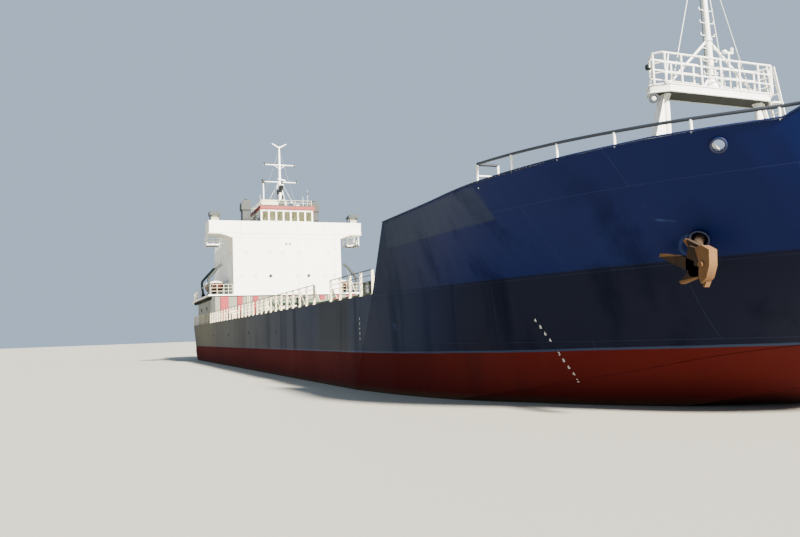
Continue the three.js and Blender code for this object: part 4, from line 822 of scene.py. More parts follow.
def digitPoints(text, height):
    curve = bpy.data.curves.new("digit", "FONT")
    curve.body, curve.size, curve.extrude, curve.resolution_u = text, height * 1.42, .002, 3
    curve.align_x, curve.align_y = "CENTER", "CENTER"
    letter = bpy.data.objects.new("digit", curve)
    bpy.context.scene.collection.objects.link(letter)
    mesh = bpy.data.meshes.new_from_object(letter.evaluated_get(bpy.context.evaluated_depsgraph_get()))
    mesh.calc_loop_triangles()
    points = np.empty(len(mesh.vertices) * 3)
    mesh.vertices.foreach_get("co", points)
    faces = np.empty(len(mesh.loop_triangles) * 3, int)
    mesh.loop_triangles.foreach_get("vertices", faces)
    bpy.data.objects.remove(letter)
    bpy.data.meshes.remove(mesh)
    return points.reshape(-1, 3), faces.reshape(-1, 3)


def makeMarks():
    highChine, deck = hullLine("highChine"), hullLine("deck")
    shapes = {digit: digitPoints(digit, marks.digitHeight) for digit in "23468"}
    rows = list(zip(marks.bowXs, marks.bowZs, marks.bowDigits))
    rows += [(marks.aftX, z, digit) for z, digit in zip(marks.aftZs, marks.aftDigits)]
    chunks = []
    for _, sign in sides:
        for x, z, digit in rows:
            place, ahead, up, normal = skinPlace(highChine, deck, x, z)
            points, faces = shapes[digit]
            flat = points[:, :1] * -sign * ahead + points[:, 1:2] * up + (points[:, 2:] + .006) * normal
            chunks += [((place + flat) * [1, sign, 1], [faces], 0, False)]
    buildPiece("draught_marks", chunks, "markWhite")


makeHull()
makeRubbing()
makeMarks()
print("hull done")


# Bow: flared skin from the deck line to the bulwark line, holed for the chocks and hawse pipes
bow = Sizes({"plate": .08, "aftX": 33.0, "deckZ": 5.95, "steps": 170, "columns": 24, "raked": 42.0,
             "rakedShare": 1.6, "bracketPitch": 1.3, "capWidth": .09})
bulwarkPoints = [[25.4, 8.06, 6.5], [29.4, 8.06, 6.5], [33, 8.06, 6.5], [36, 7.3, 6.55], [38.8, 5.75, 6.66],
                 [41.2, 3.9, 7.05], [43.8, 1.7, 7.2], [45, .08, 7.25]]
chock = Sizes({"x": 39.25, "z": 6.27, "radius": .15})
hawse = Sizes({"mouth": (37.95, 4.6, 4.35), "radius": .225, "out": (.35, .72, -.6)})
hawseMouth, hawseOut = np.array(hawse.mouth), unit(hawse.out)
flareFoot = fairLine([hullLines["deck"][1][1]] + hullLines["deck"][2], bow.steps)
flareTop = fairLine(bulwarkPoints, bow.steps)
sheer = Sizes({"levelZ": 6.615, "stepX": 40.45, "slope": .585})


def belowSheer(foot, top):
    # The bulwark line brought down the flare: share = (sheer height - foot) / (top - foot), at most 1
    limit = sheer.levelZ + np.maximum(0, top[:, 0] - sheer.stepX) * sheer.slope
    share = np.minimum(1, (limit - foot[:, 2]) / (top[:, 2] - foot[:, 2]))
    return foot + share[:, None] * (top - foot)


flareTop = belowSheer(flareFoot, flareTop)


def insetSkin(points, inset):
    # The inner face of the plating: moved inboard, and aft where the stem rakes
    x, y, z = points[..., 0], points[..., 1], points[..., 2]
    return np.stack([np.where(x > bow.raked, x - inset * bow.rakedShare, x), np.maximum(y - inset, .03), z],
                    -1)


def flareLevel(z, inset):
    # The skin's curve at one height, from aft to the stem
    share = (z - flareFoot[:, 2]) / (flareTop[:, 2] - flareFoot[:, 2])
    return insetSkin(flareFoot + share[:, None] * (flareTop - flareFoot), inset)


def makeBowPlating():
    outer = sunkPlates(ruled(flareFoot, flareTop, bow.columns), .008, hull.frames, 1.32)
    inner = insetSkin(ruled(flareFoot, flareTop, bow.columns), bow.plate)
    section = np.concatenate([outer, inner[:, ::-1]], 1)
    around = np.concatenate([section, section[::-1] * [1, -1, 1]])
    kinds = [0] * (bow.columns + 1) + [1] * (bow.columns + 1)
    cuts = []
    for _, sign in sides:
        place, _, _, normal = skinPlace(flareFoot, flareTop, chock.x, chock.z)
        turn = np.array([1, sign, 1])
        cuts.append(rods((place - normal * .4) * turn, (place + normal * .4) * turn, chock.radius, 40))
        cuts.append(rods((hawseMouth - hawseOut * .9) * turn, (hawseMouth + hawseOut * .9) * turn,
                         hawse.radius, 40))
    buildPiece("bow_plating", [skin(around, True, kinds)], "hullPaint bluePaint",
               "forecastle bow_bulwark side_plate_starboard side_plate_port", sharpAngle=12, cuts=cuts)


def acrossDeck(z, fromX, inset, camber=.05):
    # A deck from side to side at one height: rows of points between the two inner faces
    edge = flareLevel(z, inset)
    firstY = np.interp(fromX, edge[:, 0], edge[:, 1])
    edge = edge[edge[:, 0] > fromX]
    edge = np.vstack([[fromX, firstY, z], edge])
    deck = ruled(edge, edge * [1, -1, 1], 14)
    deck[..., 2] += camber * (1 - (deck[..., 1] / np.maximum(edge[:, 1:2], .01)) ** 2)
    return deck


def makeForecastleDeck():
    top = acrossDeck(bow.deckZ, bow.aftX, bow.plate * .6)
    low = acrossDeck(bow.deckZ - .06, bow.aftX, bow.plate * .6, camber=0.0)
    chunks = [skin(np.concatenate([top, low[:, ::-1]], 1), True)]
    # Bulkhead with a door, uprights and a step at the break of the forecastle
    zs = np.linspace(hull.deckZ, bow.deckZ - .02, 8)
    ys = [np.interp(bow.aftX, flareLevel(z, .04)[:, 0], flareLevel(z, .04)[:, 1]) for z in zs]
    outline = [[y, z] for y, z in zip(ys, zs)] + [[-y, z] for y, z in zip(ys[::-1], zs[::-1])]
    chunks += [plate(outline, bow.aftX, bow.aftX + .05, 0, 1)]
    uprights = np.arange(-5.6, 5.7, .8)
    uprights = uprights[(np.abs(uprights) < 1.9) | (np.abs(uprights) > 3.3)]
    chunks += [boxes(points(32.9, uprights - .03, 3.9), points(33.0, uprights + .03, 5.85), 1)]
    chunks += bothSides([boxes([32.93, 2.2, 4.1], [33.0, 3.0, 5.75], 2, .03),
                         boxes([32.88, 2.3, 4.2], [32.95, 2.9, 5.65], 2, .05)])
    chunks += [railBars([[32.97, -6.1, 5.98], [32.97, 6.1, 5.98]], [0.0], .03, 1)]
    buildPiece("forecastle_deck", chunks, "deckPaint whitePaint creamPaint")


def makeBulwarkFrames():
    # Cap rail on the bulwark and triangular brackets inside it
    chunks = []
    top = flareTop + [0, 0, .012]
    normal = unit(np.gradient(flareTop, axis=0)[:, [1, 0, 2]] * [1, -1, 0])
    width = bow.capWidth
    section = np.stack([top - normal * width * .35, top + normal * width * 1.1, top + normal * width * 1.1
                        + [0, 0, .035], top - normal * width * .35 + [0, 0, .035]], 1)
    section[..., 1] = np.maximum(section[..., 1], 0.0)
    chunks += bothSides([skin(section[:-1], True, 0, False)])
    for floor, xs, height in ((hull.deckZ, np.arange(26.2, 32.7, bow.bracketPitch), 2.3),
                              (bow.deckZ, np.arange(33.9, 43.5, bow.bracketPitch), .42)):
        for x in xs:
            foot, *_ = skinPlace(flareFoot, flareTop, x, floor + .02)
            head, *_ = skinPlace(flareFoot, flareTop, x, floor + height)
            foot, head = insetSkin(foot, bow.plate), insetSkin(head, bow.plate)
            reach = .5 if height > 1 else .3
            outline = np.array([foot, head, head - [0, .07, 0], foot - [0, reach, -.06],
                                foot - [0, reach, 0]])
            plates = np.stack([outline - [.012, 0, 0], outline + [.012, 0, 0]])
            chunks += bothSides([skin(plates, True, 1, False)])
    buildPiece("bulwark_frames", chunks, "bluePaint whitePaint")


def makeChocks():
    # A raised round-edged lip about each hole, on both faces of the bulwark
    chunks = []
    place, _, _, normal = skinPlace(flareFoot, flareTop, chock.x, chock.z)
    for offset in (.02, -.1):
        lip = hoop(place + normal * offset, normal, chock.radius + .012, .032, 40, 10)
        chunks += bothSides([lip])
    tube = lathe([[-.1, chock.radius + .01], [.02, chock.radius + .01], [.02, chock.radius - .012],
                  [-.1, chock.radius - .012], [-.1, chock.radius + .01]], place, 40, 0, normal)
    chunks += bothSides([(tube[0], tube[1][:1], 0, True)])
    buildPiece("bow_chocks", chunks, "bluePaint")


def makeHawsePipes():
    # Pipe through the flare with a rolled outer lip
    profile = [[-.6, .215], [0.0, .215], [.01, .24], [.05, .25], [.08, .24], [.09, .22], [.07, .19],
               [.03, .175], [-.4, .165], [-.6, .165], [-.6, .215]]
    lining = lathe(profile, hawseMouth, 40, 0, hawseOut)
    buildSides("hawse_lip", [(lining[0], lining[1][:1], 0, True)], "bluePaint", "hawse_pipe")


makeBowPlating()
makeForecastleDeck()
makeBulwarkFrames()
makeChocks()
makeHawsePipes()
print("bow done")


# Stockless anchors, housed with the crown forward and the flukes pointing aft
anchor = Sizes({"shankEnd": (38.3, 4.9, 3.86), "insideY": 4.94, "outsideY": 5.06, "headHalf": .12,
                "head": [(38.3, 4.08), (38.52, 4.1), (38.74, 3.98), (38.72, 3.62), (38.6, 3.34),
                         (38.42, 3.22), (38.36, 3.4), (38.4, 3.7)],
                "plates": [[(38.24, 3.76), (37.86, 3.93), (37.14, 4.06), (37.1, 3.98), (37.5, 3.78),
                            (38.2, 3.48)], [(38.46, 4.05), (37.92, 4.33), (37.83, 4.29), (38.0, 4.1),
                                            (38.3, 3.84)], [(38.46, 3.6), (38.4, 3.4), (37.78, 3.26),
                                                            (37.73, 3.33), (37.98, 3.48), (38.2, 3.66)],
                           [(38.5, 3.42), (38.5, 3.26), (38.42, 3.14), (38.36, 3.17), (38.4, 3.4)]],
                "body": [(38.46, 4.02), (38.1, 4.14), (37.98, 3.84), (37.96, 3.6), (38.08, 3.42),
                         (38.46, 3.34)]})


def makeAnchors():
    its = anchor
    end = np.array(its.shankEnd)
    inside, outside = its.insideY, its.outsideY
    middle = (inside + outside) / 2
    # Shank in the darker rust as painted shade, head in the paler rust as a painted sunlit face
    chunks = [rods(hawseMouth - hawseOut * .4, hawseMouth + hawseOut * .3, .11, 12, 1, .12),
              rods(hawseMouth + hawseOut * .26, end, .12, 12, 1, .15),
              plate(its.head, middle - its.headHalf, middle + its.headHalf, 1, 0)]
    # Bent plates for the flukes, each leaning out towards its tip: painted shade on its body, a painted
    # sunlit face at its end
    for number, outline in enumerate(its.plates):
        shift = .05 * (-1) ** number
        body = plate(outline, inside + shift, outside + shift, 1, 1)
        tip = np.array(outline[1:4])
        chunks += [body, plate(tip.mean(0) + (tip - tip.mean(0)) * 1.04, inside + shift - .012,
                               outside + shift + .012, 1, 0)]
    chunks += [plate(its.body, inside - .05, outside + .05, 1, 1),
               rods([38.5, inside - .1, 3.66], [38.5, outside + .13, 3.66], .07, 12)]
    buildSides("stockless_anchor", chunks, "rustedSteel rustBrown", "anchor", sharpAngle=38)


# Rail on the bow bulwark: dark blue handrail on white posts, with a return across the deck aft
bowRail = Sizes({"aftX": 33.1, "foreX": 40.75, "aftZ": 7.05, "foreZ": 6.89, "inboard": .05, "corner": 8.01,
                 "postXs": [33.14, 34.6, 36.05, 37.45, 38.93, 40.3], "returnLength": .72,
                 "returnZs": [6.38, 6.72], "radius": .042, "postRadius": .036})


def topAt(x):
    return np.array([np.interp(x, flareTop[:, 0], flareTop[:, axis]) for axis in (1, 2)])


def makeBowRails():
    its = bowRail
    edge = flareTop[(flareTop[:, 0] > its.aftX + .2) & (flareTop[:, 0] < its.foreX)]
    bend = np.linspace(0, math.pi / 2, 8)[:, None]
    corner = np.array([its.aftX + .15, its.corner - .15])
    around = corner + .15 * np.hstack([-np.cos(bend), np.sin(bend)])
    end = its.corner - its.returnLength
    plan = np.vstack([[its.aftX, end], around, np.stack([edge[:, 0], edge[:, 1] - its.inboard], 1)])
    heights = np.interp(plan[:, 0], [its.aftX, its.foreX], [its.aftZ, its.foreZ])
    chunks = [pipe(np.column_stack([plan, heights]), its.radius, 10, 0)]
    feet = np.array([[x, topAt(x)[0] - its.inboard, topAt(x)[1] - .02] for x in its.postXs])
    heads = feet.copy()
    heads[:, 2] = np.interp(feet[:, 0], [its.aftX, its.foreX], [its.aftZ, its.foreZ])
    chunks += [rods(feet, heads, its.postRadius, 10, 1), rods(feet + [0, 0, .04], feet + [0, 0, .08], .055,
                                                              10, 1), rods([its.aftX, end, bow.deckZ],
                                                                           [its.aftX, end, its.aftZ],
                                                                           its.postRadius, 10, 1),
               railBars([[its.aftX, end, 0], [its.aftX, its.corner - .05, 0]], its.returnZs, .026, 1)]
    buildSides("bulwark_rail", chunks, "darkBar whitePaint", "bow_rail")


# Foremast: two legs of column and gusset, a railed box platform, and a braced pole with its lamps and stays
foremast = Sizes({"x": 34.055, "foreX": 34.43, "aftX": 33.68, "halfWidth": 2.28, "flare": .2,
                  "aftHalf": 2.26, "bottomZ": 9.29, "topZ": 9.58, "columnY": 1.86, "columnRadius": .1,
                  "baseY": 3.05, "headZ": 14.9, "braceZ": 11.25,
                  "postYs": [-2.1, -1.47, -.69, .09, .85, 1.64, 2.2], "barHeights": [.31, .62, .93]})


def makeLegs():
    its = foremast
    floor, top, x = bow.deckZ, its.bottomZ + .06, its.x
    outline = [[1.96, floor], [its.baseY, floor], [1.98, top], [1.78, top], [1.78, top - .45],
               [1.92, top - .6]]
    gusset = plate(outline, x - .03, x + .03, 0)
    flange = plate([[its.baseY, floor], [its.baseY + .035, floor], [2.0, top], [1.965, top]], x - .14,
                   x + .14, 0)
    hole = plate([[2.3, 6.85], [2.42, 6.85], [2.42, 7.15], [2.3, 7.15]], x - .2, x + .2, 0)
    chunks = bothSides([gusset, flange])
    buildPiece("foremast_gussets", chunks, "whitePaint", cuts=[hole, mirrored(hole)])
    column = rods([x, its.columnY, floor], [x, its.columnY, top], its.columnRadius, 28)
    foot = lathe([[0, .22], [.02, .23], [.05, .16], [.12, .11]], (x, its.columnY, floor), 28)
    head = lathe([[0, .11], [.1, .15], [.14, .2]], (x, its.columnY, top - .16), 28)
    buildPiece("foremast_columns", bothSides([column, foot, head]), "whitePaint")


def makePlatform():
    its = foremast
    end, side, cut = its.halfWidth, its.halfWidth + its.flare, .3
    outline = [[its.foreX - cut, -end - .1], [its.foreX, -end + cut], [its.foreX, end - cut],
               [its.foreX - cut, end + .1], [its.x, side - .04], [its.aftX, its.aftHalf],
               [its.aftX, -its.aftHalf], [its.x, .04 - side]]
    box = plate(outline, its.bottomZ + .03, its.topZ - .03, 2, 0)
    inner = np.array(outline) * [1, .97]
    lid = plate(inner, its.topZ - .04, its.topZ - .022, 2, 2)
    # Rolled edges above and below, a dark grey sheet underneath as painted shade, and the round lamp under
    # the starboard corner
    loop = np.array(outline + outline[:1])
    rims = []
    for z in (its.bottomZ + .03, its.topZ - .03):
        rims += [rods(points(loop[:-1], z), points(loop[1:], z), .03, 8)]
    under = plate(inner * [1, .99], its.bottomZ + .012, its.bottomZ + .032, 2, 1)
    lamp = [lathe([[-.1, .12], [.06, .14], [.09, .15], [.09, .09], [.05, .08]], (34.16, -2.42, 9.11), 24, 4,
                  (.85, -.5, -.1)), lathe([[.04, .07], [.07, .07], [.08, .04]], (34.16, -2.42, 9.11), 24, 3,
                                          (.85, -.5, -.1))]
    patches = boxes([its.foreX - .01, .3, 9.3], [its.foreX + .012, .42, 9.56], 0)
    buildPiece("foremast_platform", [box, lid, under, *rims, *lamp, patches],
               "whitePaint underPaint deckPaint lampGlass darkBar", "foremast_portal")


def makePlatformRail():
    its = foremast
    top = its.topZ
    fore, aft, end = its.foreX - .05, its.aftX + .06, its.halfWidth + .08
    aftEnd = its.aftHalf - .12
    side = np.array([[fore, -2.2], [fore - .22, -end], [aft, -aftEnd]])
    loop = np.vstack([[[fore, 2.2]], side, [[aft, aftEnd], [fore - .22, end], [fore, 2.2]]])
    path = points(loop, top)
    chunks = [railBars(path, its.barHeights, .024, 0, 8)]
    chunks += [rods(path[:-1] + [0, 0, its.barHeights[-1]], path[1:] + [0, 0, its.barHeights[-1]], .032, 8)]
    foot = np.array([[fore, y, top] for y in its.postYs]
                    + [[aft, y, top] for y in (-aftEnd, -1.3, -.4, .5, 1.4, aftEnd)]
                    + [[fore - .22, y, top] for y in (-end, end)])
    head = foot + [0, 0, its.barHeights[-1]]
    chunks += [rods(foot - [0, 0, .02], head, .034, 8)]
    lean = foot[[0, 6]]
    chunks += [rods(lean, lean + [[-.02, .16, .9], [-.02, -.16, .9]], .026, 8)]
    # Floodlights hung outboard at the starboard corner, and a T-shaped lamp on its own post
    chunks += [boxes([33.9, -2.47, 10.07], [34.08, -2.3, 10.24], 1, .03),
               boxes([34.07, -2.45, 10.09], [34.095, -2.32, 10.22], 2, .01),
               rods([33.98, -2.36, 10.2], [34.0, -2.34, 10.45], .015, 6, 1)]
    chunks += [rods([34.1, .75, top], [34.1, .75, 10.89], .03, 8),
               rods([34.1, .52, 10.89], [34.1, .92, 10.89], .035, 8),
               boxes([34.05, .5, 10.84], [34.18, .64, 10.96], 0, .03),
               lathe([[0, .035], [.05, .06], [.16, .055], [.19, 0.0]], (34.1, .88, 10.9), 16, 2)]
    buildPiece("foremast_rail", chunks, "whitePaint greyPaint lampGlass",
               "foremast_platform_rail")


def makePole():
    its = foremast
    x, top, head = its.x, its.topZ, its.headZ
    pole = lathe([[0, .3], [.03, .31], [.12, .29], [.34, .15], [.36, .135], [.5, .125]], (x, 0, top), 28)
    shaft = rods([x, 0, top + .3], [x - .1, 0, head - .02], .115, 24, 0, .055)
    cap = ball((x - .1, 0, head - .03), (.06, .06, .03), 16, 6)
    feet = [skin(np.stack([np.array([[x + cos * .1, sin * .1, top + .02],
                                     [x + cos * .42, sin * .42, top + .02],
                                     [x + cos * .1, sin * .1, top + .5]]) + np.array([-sin, cos, 0]) * w
                           for w in (-.014, .014)]), True, 0, False)
            for cos, sin in ((0, 1), (0, -1), (1, 0), (-1, 0))]
    braces = bothSides([rods([x, 1.8, top], [x - .03, .03, its.braceZ], .042, 10),
                        lathe([[0, .09], [.03, .09], [.05, .05]], (x, 1.8, top - .02), 12)])
    collar = lathe([[-.06, .11], [-.04, .14], [.04, .14], [.06, .11]], (x - .04, 0, its.braceZ), 20)
    # Conduit up the after side, steps on both sides, and a yard with three lamps
    conduit = [rods([x - .04, -.15, top], [x - .13, -.1, head - .6], .018, 8, 1)]
    rungZs = np.arange(top + .55, head - .5, .42)
    lean = x - .1 * (rungZs - top) / (head - top)
    for sign in (-1, 1):
        starts = points(lean, sign * .06, rungZs)
        ends = points(lean + .02, sign * .27, rungZs + .01)
        conduit += [rods(starts, ends, .014, 6)]
        conduit += [rods(ends, ends + [0, 0, .08], .014, 6)]
    yard = [rods([x - .12, -.75, 13.1], [x - .12, .75, 13.1], .036, 10)]
    for y in (-.7, 0.0, .7):
        yard += [lathe([[0, .05], [.03, .075], [.05, .075], [.05, .05]],
                       (x - .12 + .14 * (y == 0), y, 13.13), 16, 1)]
        yard += [lathe([[.05, .055], [.16, .055], [.19, .02]], (x - .12 + .14 * (y == 0), y, 13.13), 16, 2)]
    buildPiece("foremast_pole_dressed", [pole, shaft, cap, *feet, *braces, collar, *conduit, *yard],
               "whitePaint greyPaint lampGlass", "foremast_pole")


def makeStays():
    # Wires from the masthead to the fore edge of the platform, each with its screw at the foot
    head = np.array([foremast.x - .09, 0, foremast.headZ - .1])
    feet = np.array([[34.3, -1.75, 9.7], [34.3, .3, 9.7], [34.3, 1.3, 9.7]])
    chunks = [rods(feet, np.broadcast_to(head, feet.shape), .015, 6)]
    share = .055
    chunks += [rods(feet + (head - feet) * .008, feet + (head - feet) * share, .028, 8)]
    chunks += [rods(feet - [0, 0, .14], feet + (head - feet) * .01, .02, 6)]
    buildPiece("foremast_stays", chunks, "wireRope")


def makeLadder():
    its = foremast
    x = its.x - .1
    head = np.array([x, its.halfWidth + its.flare + .06, its.topZ + 1.0])
    foot = np.array([x, its.halfWidth + 1.25, bow.deckZ + .013])
    strings = [flatBar(foot + [dx, 0, 0], head + [dx, 0, 0], .015, .05) for dx in (-.22, .22)]
    share = (np.arange(1, 16) / 16)[:, None]
    rungs = foot + (head - foot) * share
    chunks = strings + [rods(rungs - [.22, 0, 0], rungs + [.22, 0, 0], .018, 8)]
    step = its.topZ - .15
    edge = its.halfWidth + its.flare
    chunks += [boxes([x - .24, edge - .02, step - .06], [x + .24, edge + .4, step])]
    buildPiece("foremast_ladder_dressed", chunks, "whitePaint", "foremast_ladder")


def flatBar(start, end, halfAcross, halfDeep):
    # A flat bar between two points, standing on edge
    start, end = np.asarray(start, float), np.asarray(end, float)
    across, upright = perpendiculars(unit(end - start)[None])
    corners = [(-1, -1), (1, -1), (1, 1), (-1, 1)]
    ring = np.array([across[0] * u * halfAcross + upright[0] * v * halfDeep for u, v in corners])
    return skin(np.stack([start + ring, end + ring]), True, 0, False)


# Windlass: bed, gearcase and motor, and a shaft that turns with its drums, chain wheels and warping heads
windlass = Sizes({"x": 37.4, "z": 6.8, "halfWidth": 2.0})


def makeWindlass():
    x, z, floor = windlass.x, windlass.z, bow.deckZ
    ys = np.array([-1.2, -.45, .45, 1.2])
    bed = [boxes([x - .7, -1.35, floor], [x - .5, 1.35, floor + .18]),
           boxes([x + .5, -1.35, floor], [x + .7, 1.35, floor + .18]),
           boxes([x - .7, -1.34, floor], [x + .7, 1.34, floor + .07]),
           boxes(points(x - .24, ys - .09, floor), points(x + .24, ys + .09, z), 0, .03)]
    for y in ys:
        bed += [lathe([[-.1, .2], [-.08, .23], [.08, .23], [.1, .2]], (x, y, z), 24, 0, (0, 1, 0))]
        bed += [rods([[x - .17, y, z + .1], [x + .17, y, z + .1]],
                     [[x - .17, y, z + .2], [x + .17, y, z + .2]], .028, 6)]
    bed += [boxes([x - .65, -.4, floor + .07], [x - .28, .4, z + .3], 0, .06),
            lathe([[-.36, .12], [-.34, .2], [.3, .2], [.34, .15], [.36, .08]], (x - .85, 0, floor + .42), 24,
                  1, (0, 1, 0)), boxes([x - 1.0, -.3, floor], [x - .7, .3, floor + .24], 1, .02)]
    for sign in (-1, 1):
        bed += [boxes([x + .95, sign * .78 - .16, floor], [x + 1.4, sign * .78 + .16, floor + .22], 0, .04)]
        bed += [rods([x + 1.15, sign * .78 - .2, floor + .3], [x + 1.15, sign * .78 + .2, floor + .3], .07,
                     12)]
        bed += [rods([x - .12, sign * 1.08, z + .35], [x + .3, sign * 1.08, floor + .1], .025, 8)]
        bed += [hoop((x + .42, sign * 1.08, z + .3), (1, 0, .4), .13, .014, 20, 6, 1)]
        bed += [rods([x + .1, sign * 1.08, z + .18], [x + .42, sign * 1.08, z + .3], .014, 6, 1)]
    buildPiece("windlass_frame", bed, "deckGear greyPaint", "windlass_bed")
    shaft = [rods([x, -windlass.halfWidth + .02, z], [x, windlass.halfWidth - .02, z], .085, 24, 1)]
    for sign in (-1, 1):
        shaft += [lathe([[-.19, .2], [-.19, .34], [-.15, .36], [-.1, .3], [-.03, .25], [.03, .25], [.1, .3],
                         [.15, .36], [.19, .34], [.19, .2]], (x, sign * .81, z), 40, 0, (0, 1, 0))]
        whelps = np.arange(6) * math.pi / 3
        for a in whelps:
            spot = np.array([x + .27 * math.cos(a), sign * .81, z + .27 * math.sin(a)])
            shaft += [ball(spot, (.055, .12, .055), 8, 6)]
        shaft += [lathe([[0.0, .3], [0.0, .33], [.1, .33], [.1, .3]], (x, sign * 1.04, z), 36, 1,
                        (0, sign, 0))]
        shaft += [lathe([[-.28, .15], [-.27, .25], [-.2, .23], [0.0, .19], [.18, .21], [.27, .27],
                         [.32, .31], [.33, .27], [.3, .1]], (x, sign * 1.67, z), 36, 0, (0, sign, 0))]
    buildPiece("windlass_drums", shaft, "deckGear greyPaint", "windlass_shaft",
               body="windlass_shaft")


def chainLink(centre, along, turn):
    # One chain link: a long oval of round bar
    length, width, wire = .15, .09, .018
    a = np.linspace(0, 2 * math.pi, 13)
    oval = np.stack([np.sign(np.cos(a)) * np.abs(np.cos(a)) ** .8 * length / 2, np.sin(a) * width / 2], 1)
    along = unit(along)
    across, upright = (v[0] for v in perpendiculars(along[None]))
    side = across * math.cos(turn) + upright * math.sin(turn)
    path = np.asarray(centre) + oval[:, :1] * along + oval[:, 1:] * side
    return pipe(path, wire, 6)


def makeDeckChain():
    # Chain from each chain wheel over its roller to the deck mouth of the hawse pipe
    chunks = []
    for sign in (-1, 1):
        path = np.array([[37.5, sign * .81, 6.49], [38.45, sign * .8, 6.28], [39.2, sign * 1.35, 6.08]])
        along = fairLine(path, 20)
        steps = travelled(along)
        spots = np.arange(.05, steps[-1], .1)
        centres = np.stack([np.interp(spots, steps, along[:, k]) for k in range(3)], 1)
        directions = np.gradient(centres, axis=0)
        chunks += [chainLink(c, d, (k % 2) * math.pi / 2)
                   for k, (c, d) in enumerate(zip(centres, directions))]
        chunks += [lathe([[0, .3], [.05, .32], [.1, .28], [.08, .2], [0.0, .18]],
                         (39.3, sign * 1.45, bow.deckZ + .02), 24)]
    buildPiece("anchor_chains", chunks, "rustedSteel")


def bitts(x, y, floor, material=0):
    made = [boxes([x - .78, y - .26, floor], [x + .78, y + .26, floor + .06], material, .02)]
    for dx in (-.45, .45):
        made += [lathe([[0.0, .2], [.03, .2], [.1, .165], [.62, .16], [.66, .2], [.7, .205], [.725, .18],
                        [.73, 0.0]], (x + dx, y, floor + .03), 28, material)]
    return made


def makeForedeckFittings():
    floor = bow.deckZ
    for name, sign in sides:
        buildPiece(f"bitts_{name}", bitts(34.6, sign * 6.1, floor), "greyPaint",
                   f"forecastle_bitts_{name}")
    # Mushroom vents, a roller fairlead on its post, and a small hatch amidships
    chunks = bothSides(bitts(40.6, 1.9, floor) + [lathe([[0, .16], [.5, .15], [.52, .3], [.6, .3],
                                                         [.72, .18], [.74, 0.0]], (35.6, 3.9, floor), 24, 1),
                                                  lathe([[0, .12], [.4, .11], [.42, .22], [.48, .22],
                                                         [.57, .12], [.58, 0.0]], (38.9, 2.9, floor), 24, 1),
                                                  lathe([[0, .22], [.3, .2], [.3, .26], [.33, .26]],
                                                        (39.9, 3.1, floor), 24),
                                                  lathe([[0, .11], [.02, .15], [.1, .12], [.2, .15],
                                                         [.22, .1]], (39.9, 3.1, floor + .33), 24)])
    chunks += [boxes([35.1, -.55, floor], [36.2, .55, floor + .5], 1, .05),
               boxes([35.05, -.6, floor + .5], [36.25, .6, floor + .56], 1, .02),
               rods([36.22, 0, floor + .56], [36.4, 0, floor + .56], .03, 8)]
    # Ladders down to the main deck at the break
    for sign in (-1, 1):
        rungs = np.arange(4.15, 5.95, .3)
        chunks += [rods(points(32.78, sign * 4.1 - .2, rungs), points(32.78, sign * 4.1 + .2, rungs), .016,
                        6, 1)]
        chunks += [rods([[32.78, sign * 4.1 - .2, 3.9], [32.78, sign * 4.1 + .2, 3.9]],
                        [[32.78, sign * 4.1 - .2, 6.9], [32.78, sign * 4.1 + .2, 6.9]], .022, 8, 1)]
    buildPiece("foredeck_fittings", chunks, "greyPaint whitePaint")


makeAnchors()
makeBowRails()
makeLegs()
makePlatform()
makePlatformRail()
makePole()
makeStays()
makeLadder()
makeWindlass()
makeDeckChain()
makeForedeckFittings()
print("foredeck done")


# Main deck rails: flat stanchions athwart, raked stays inboard, three thin bars and a dark handrail
deckRail = Sizes({"y": 7.98, "pitch": 1.54, "top": 1.0, "bars": [.3, .55, .78], "width": .12, "thick": .028,
                  "runs": {"fore": (23.9, 18.0), "aft": (15.0, -24.3)}})


def poopEdge(inset, foreX):
    # The deck's outline in plan on the port side, from the front of the poop round to the transom
    edge = fairLine(hullLines["deck"][0] + hullLines["deck"][1][:1], 90)[:, :2]
    edge = np.stack([np.maximum(edge[:, 0], -45 + inset), edge[:, 1] - inset], 1)[::-1]
    ahead = points(np.linspace(foreX, -29, 24)[:-1], 8.06 - inset)
    return np.vstack([ahead, edge])


def sternRail():
    # The after rail from the front of the poop round the stern: bars and posts along the deck's edge
    floor, edge = hull.deckZ, poopEdge(.08, deckRail.runs["aft"][1])
    steps = travelled(edge)
    spots = np.arange(0.0, steps[-1], 1.1)
    posts = np.column_stack([np.interp(spots, steps, edge[:, 0]), np.interp(spots, steps, edge[:, 1])])
    posts = np.vstack([posts, [[-44.92, y] for y in np.arange(.2, 6.4, 1.05)]])
    posts = points(posts, floor)
    path = points(np.vstack([edge[::3], [[-44.92, 6.5], [-44.92, .15]]]), floor)
    return [rods(posts, posts + [0, 0, .99], .03, 8), rods(posts, posts + [0, 0, .03], .06, 8),
            railBars(path, deckRail.bars, .018, 0, 6), railBars(path, [1.0], .028, 0, 8)]


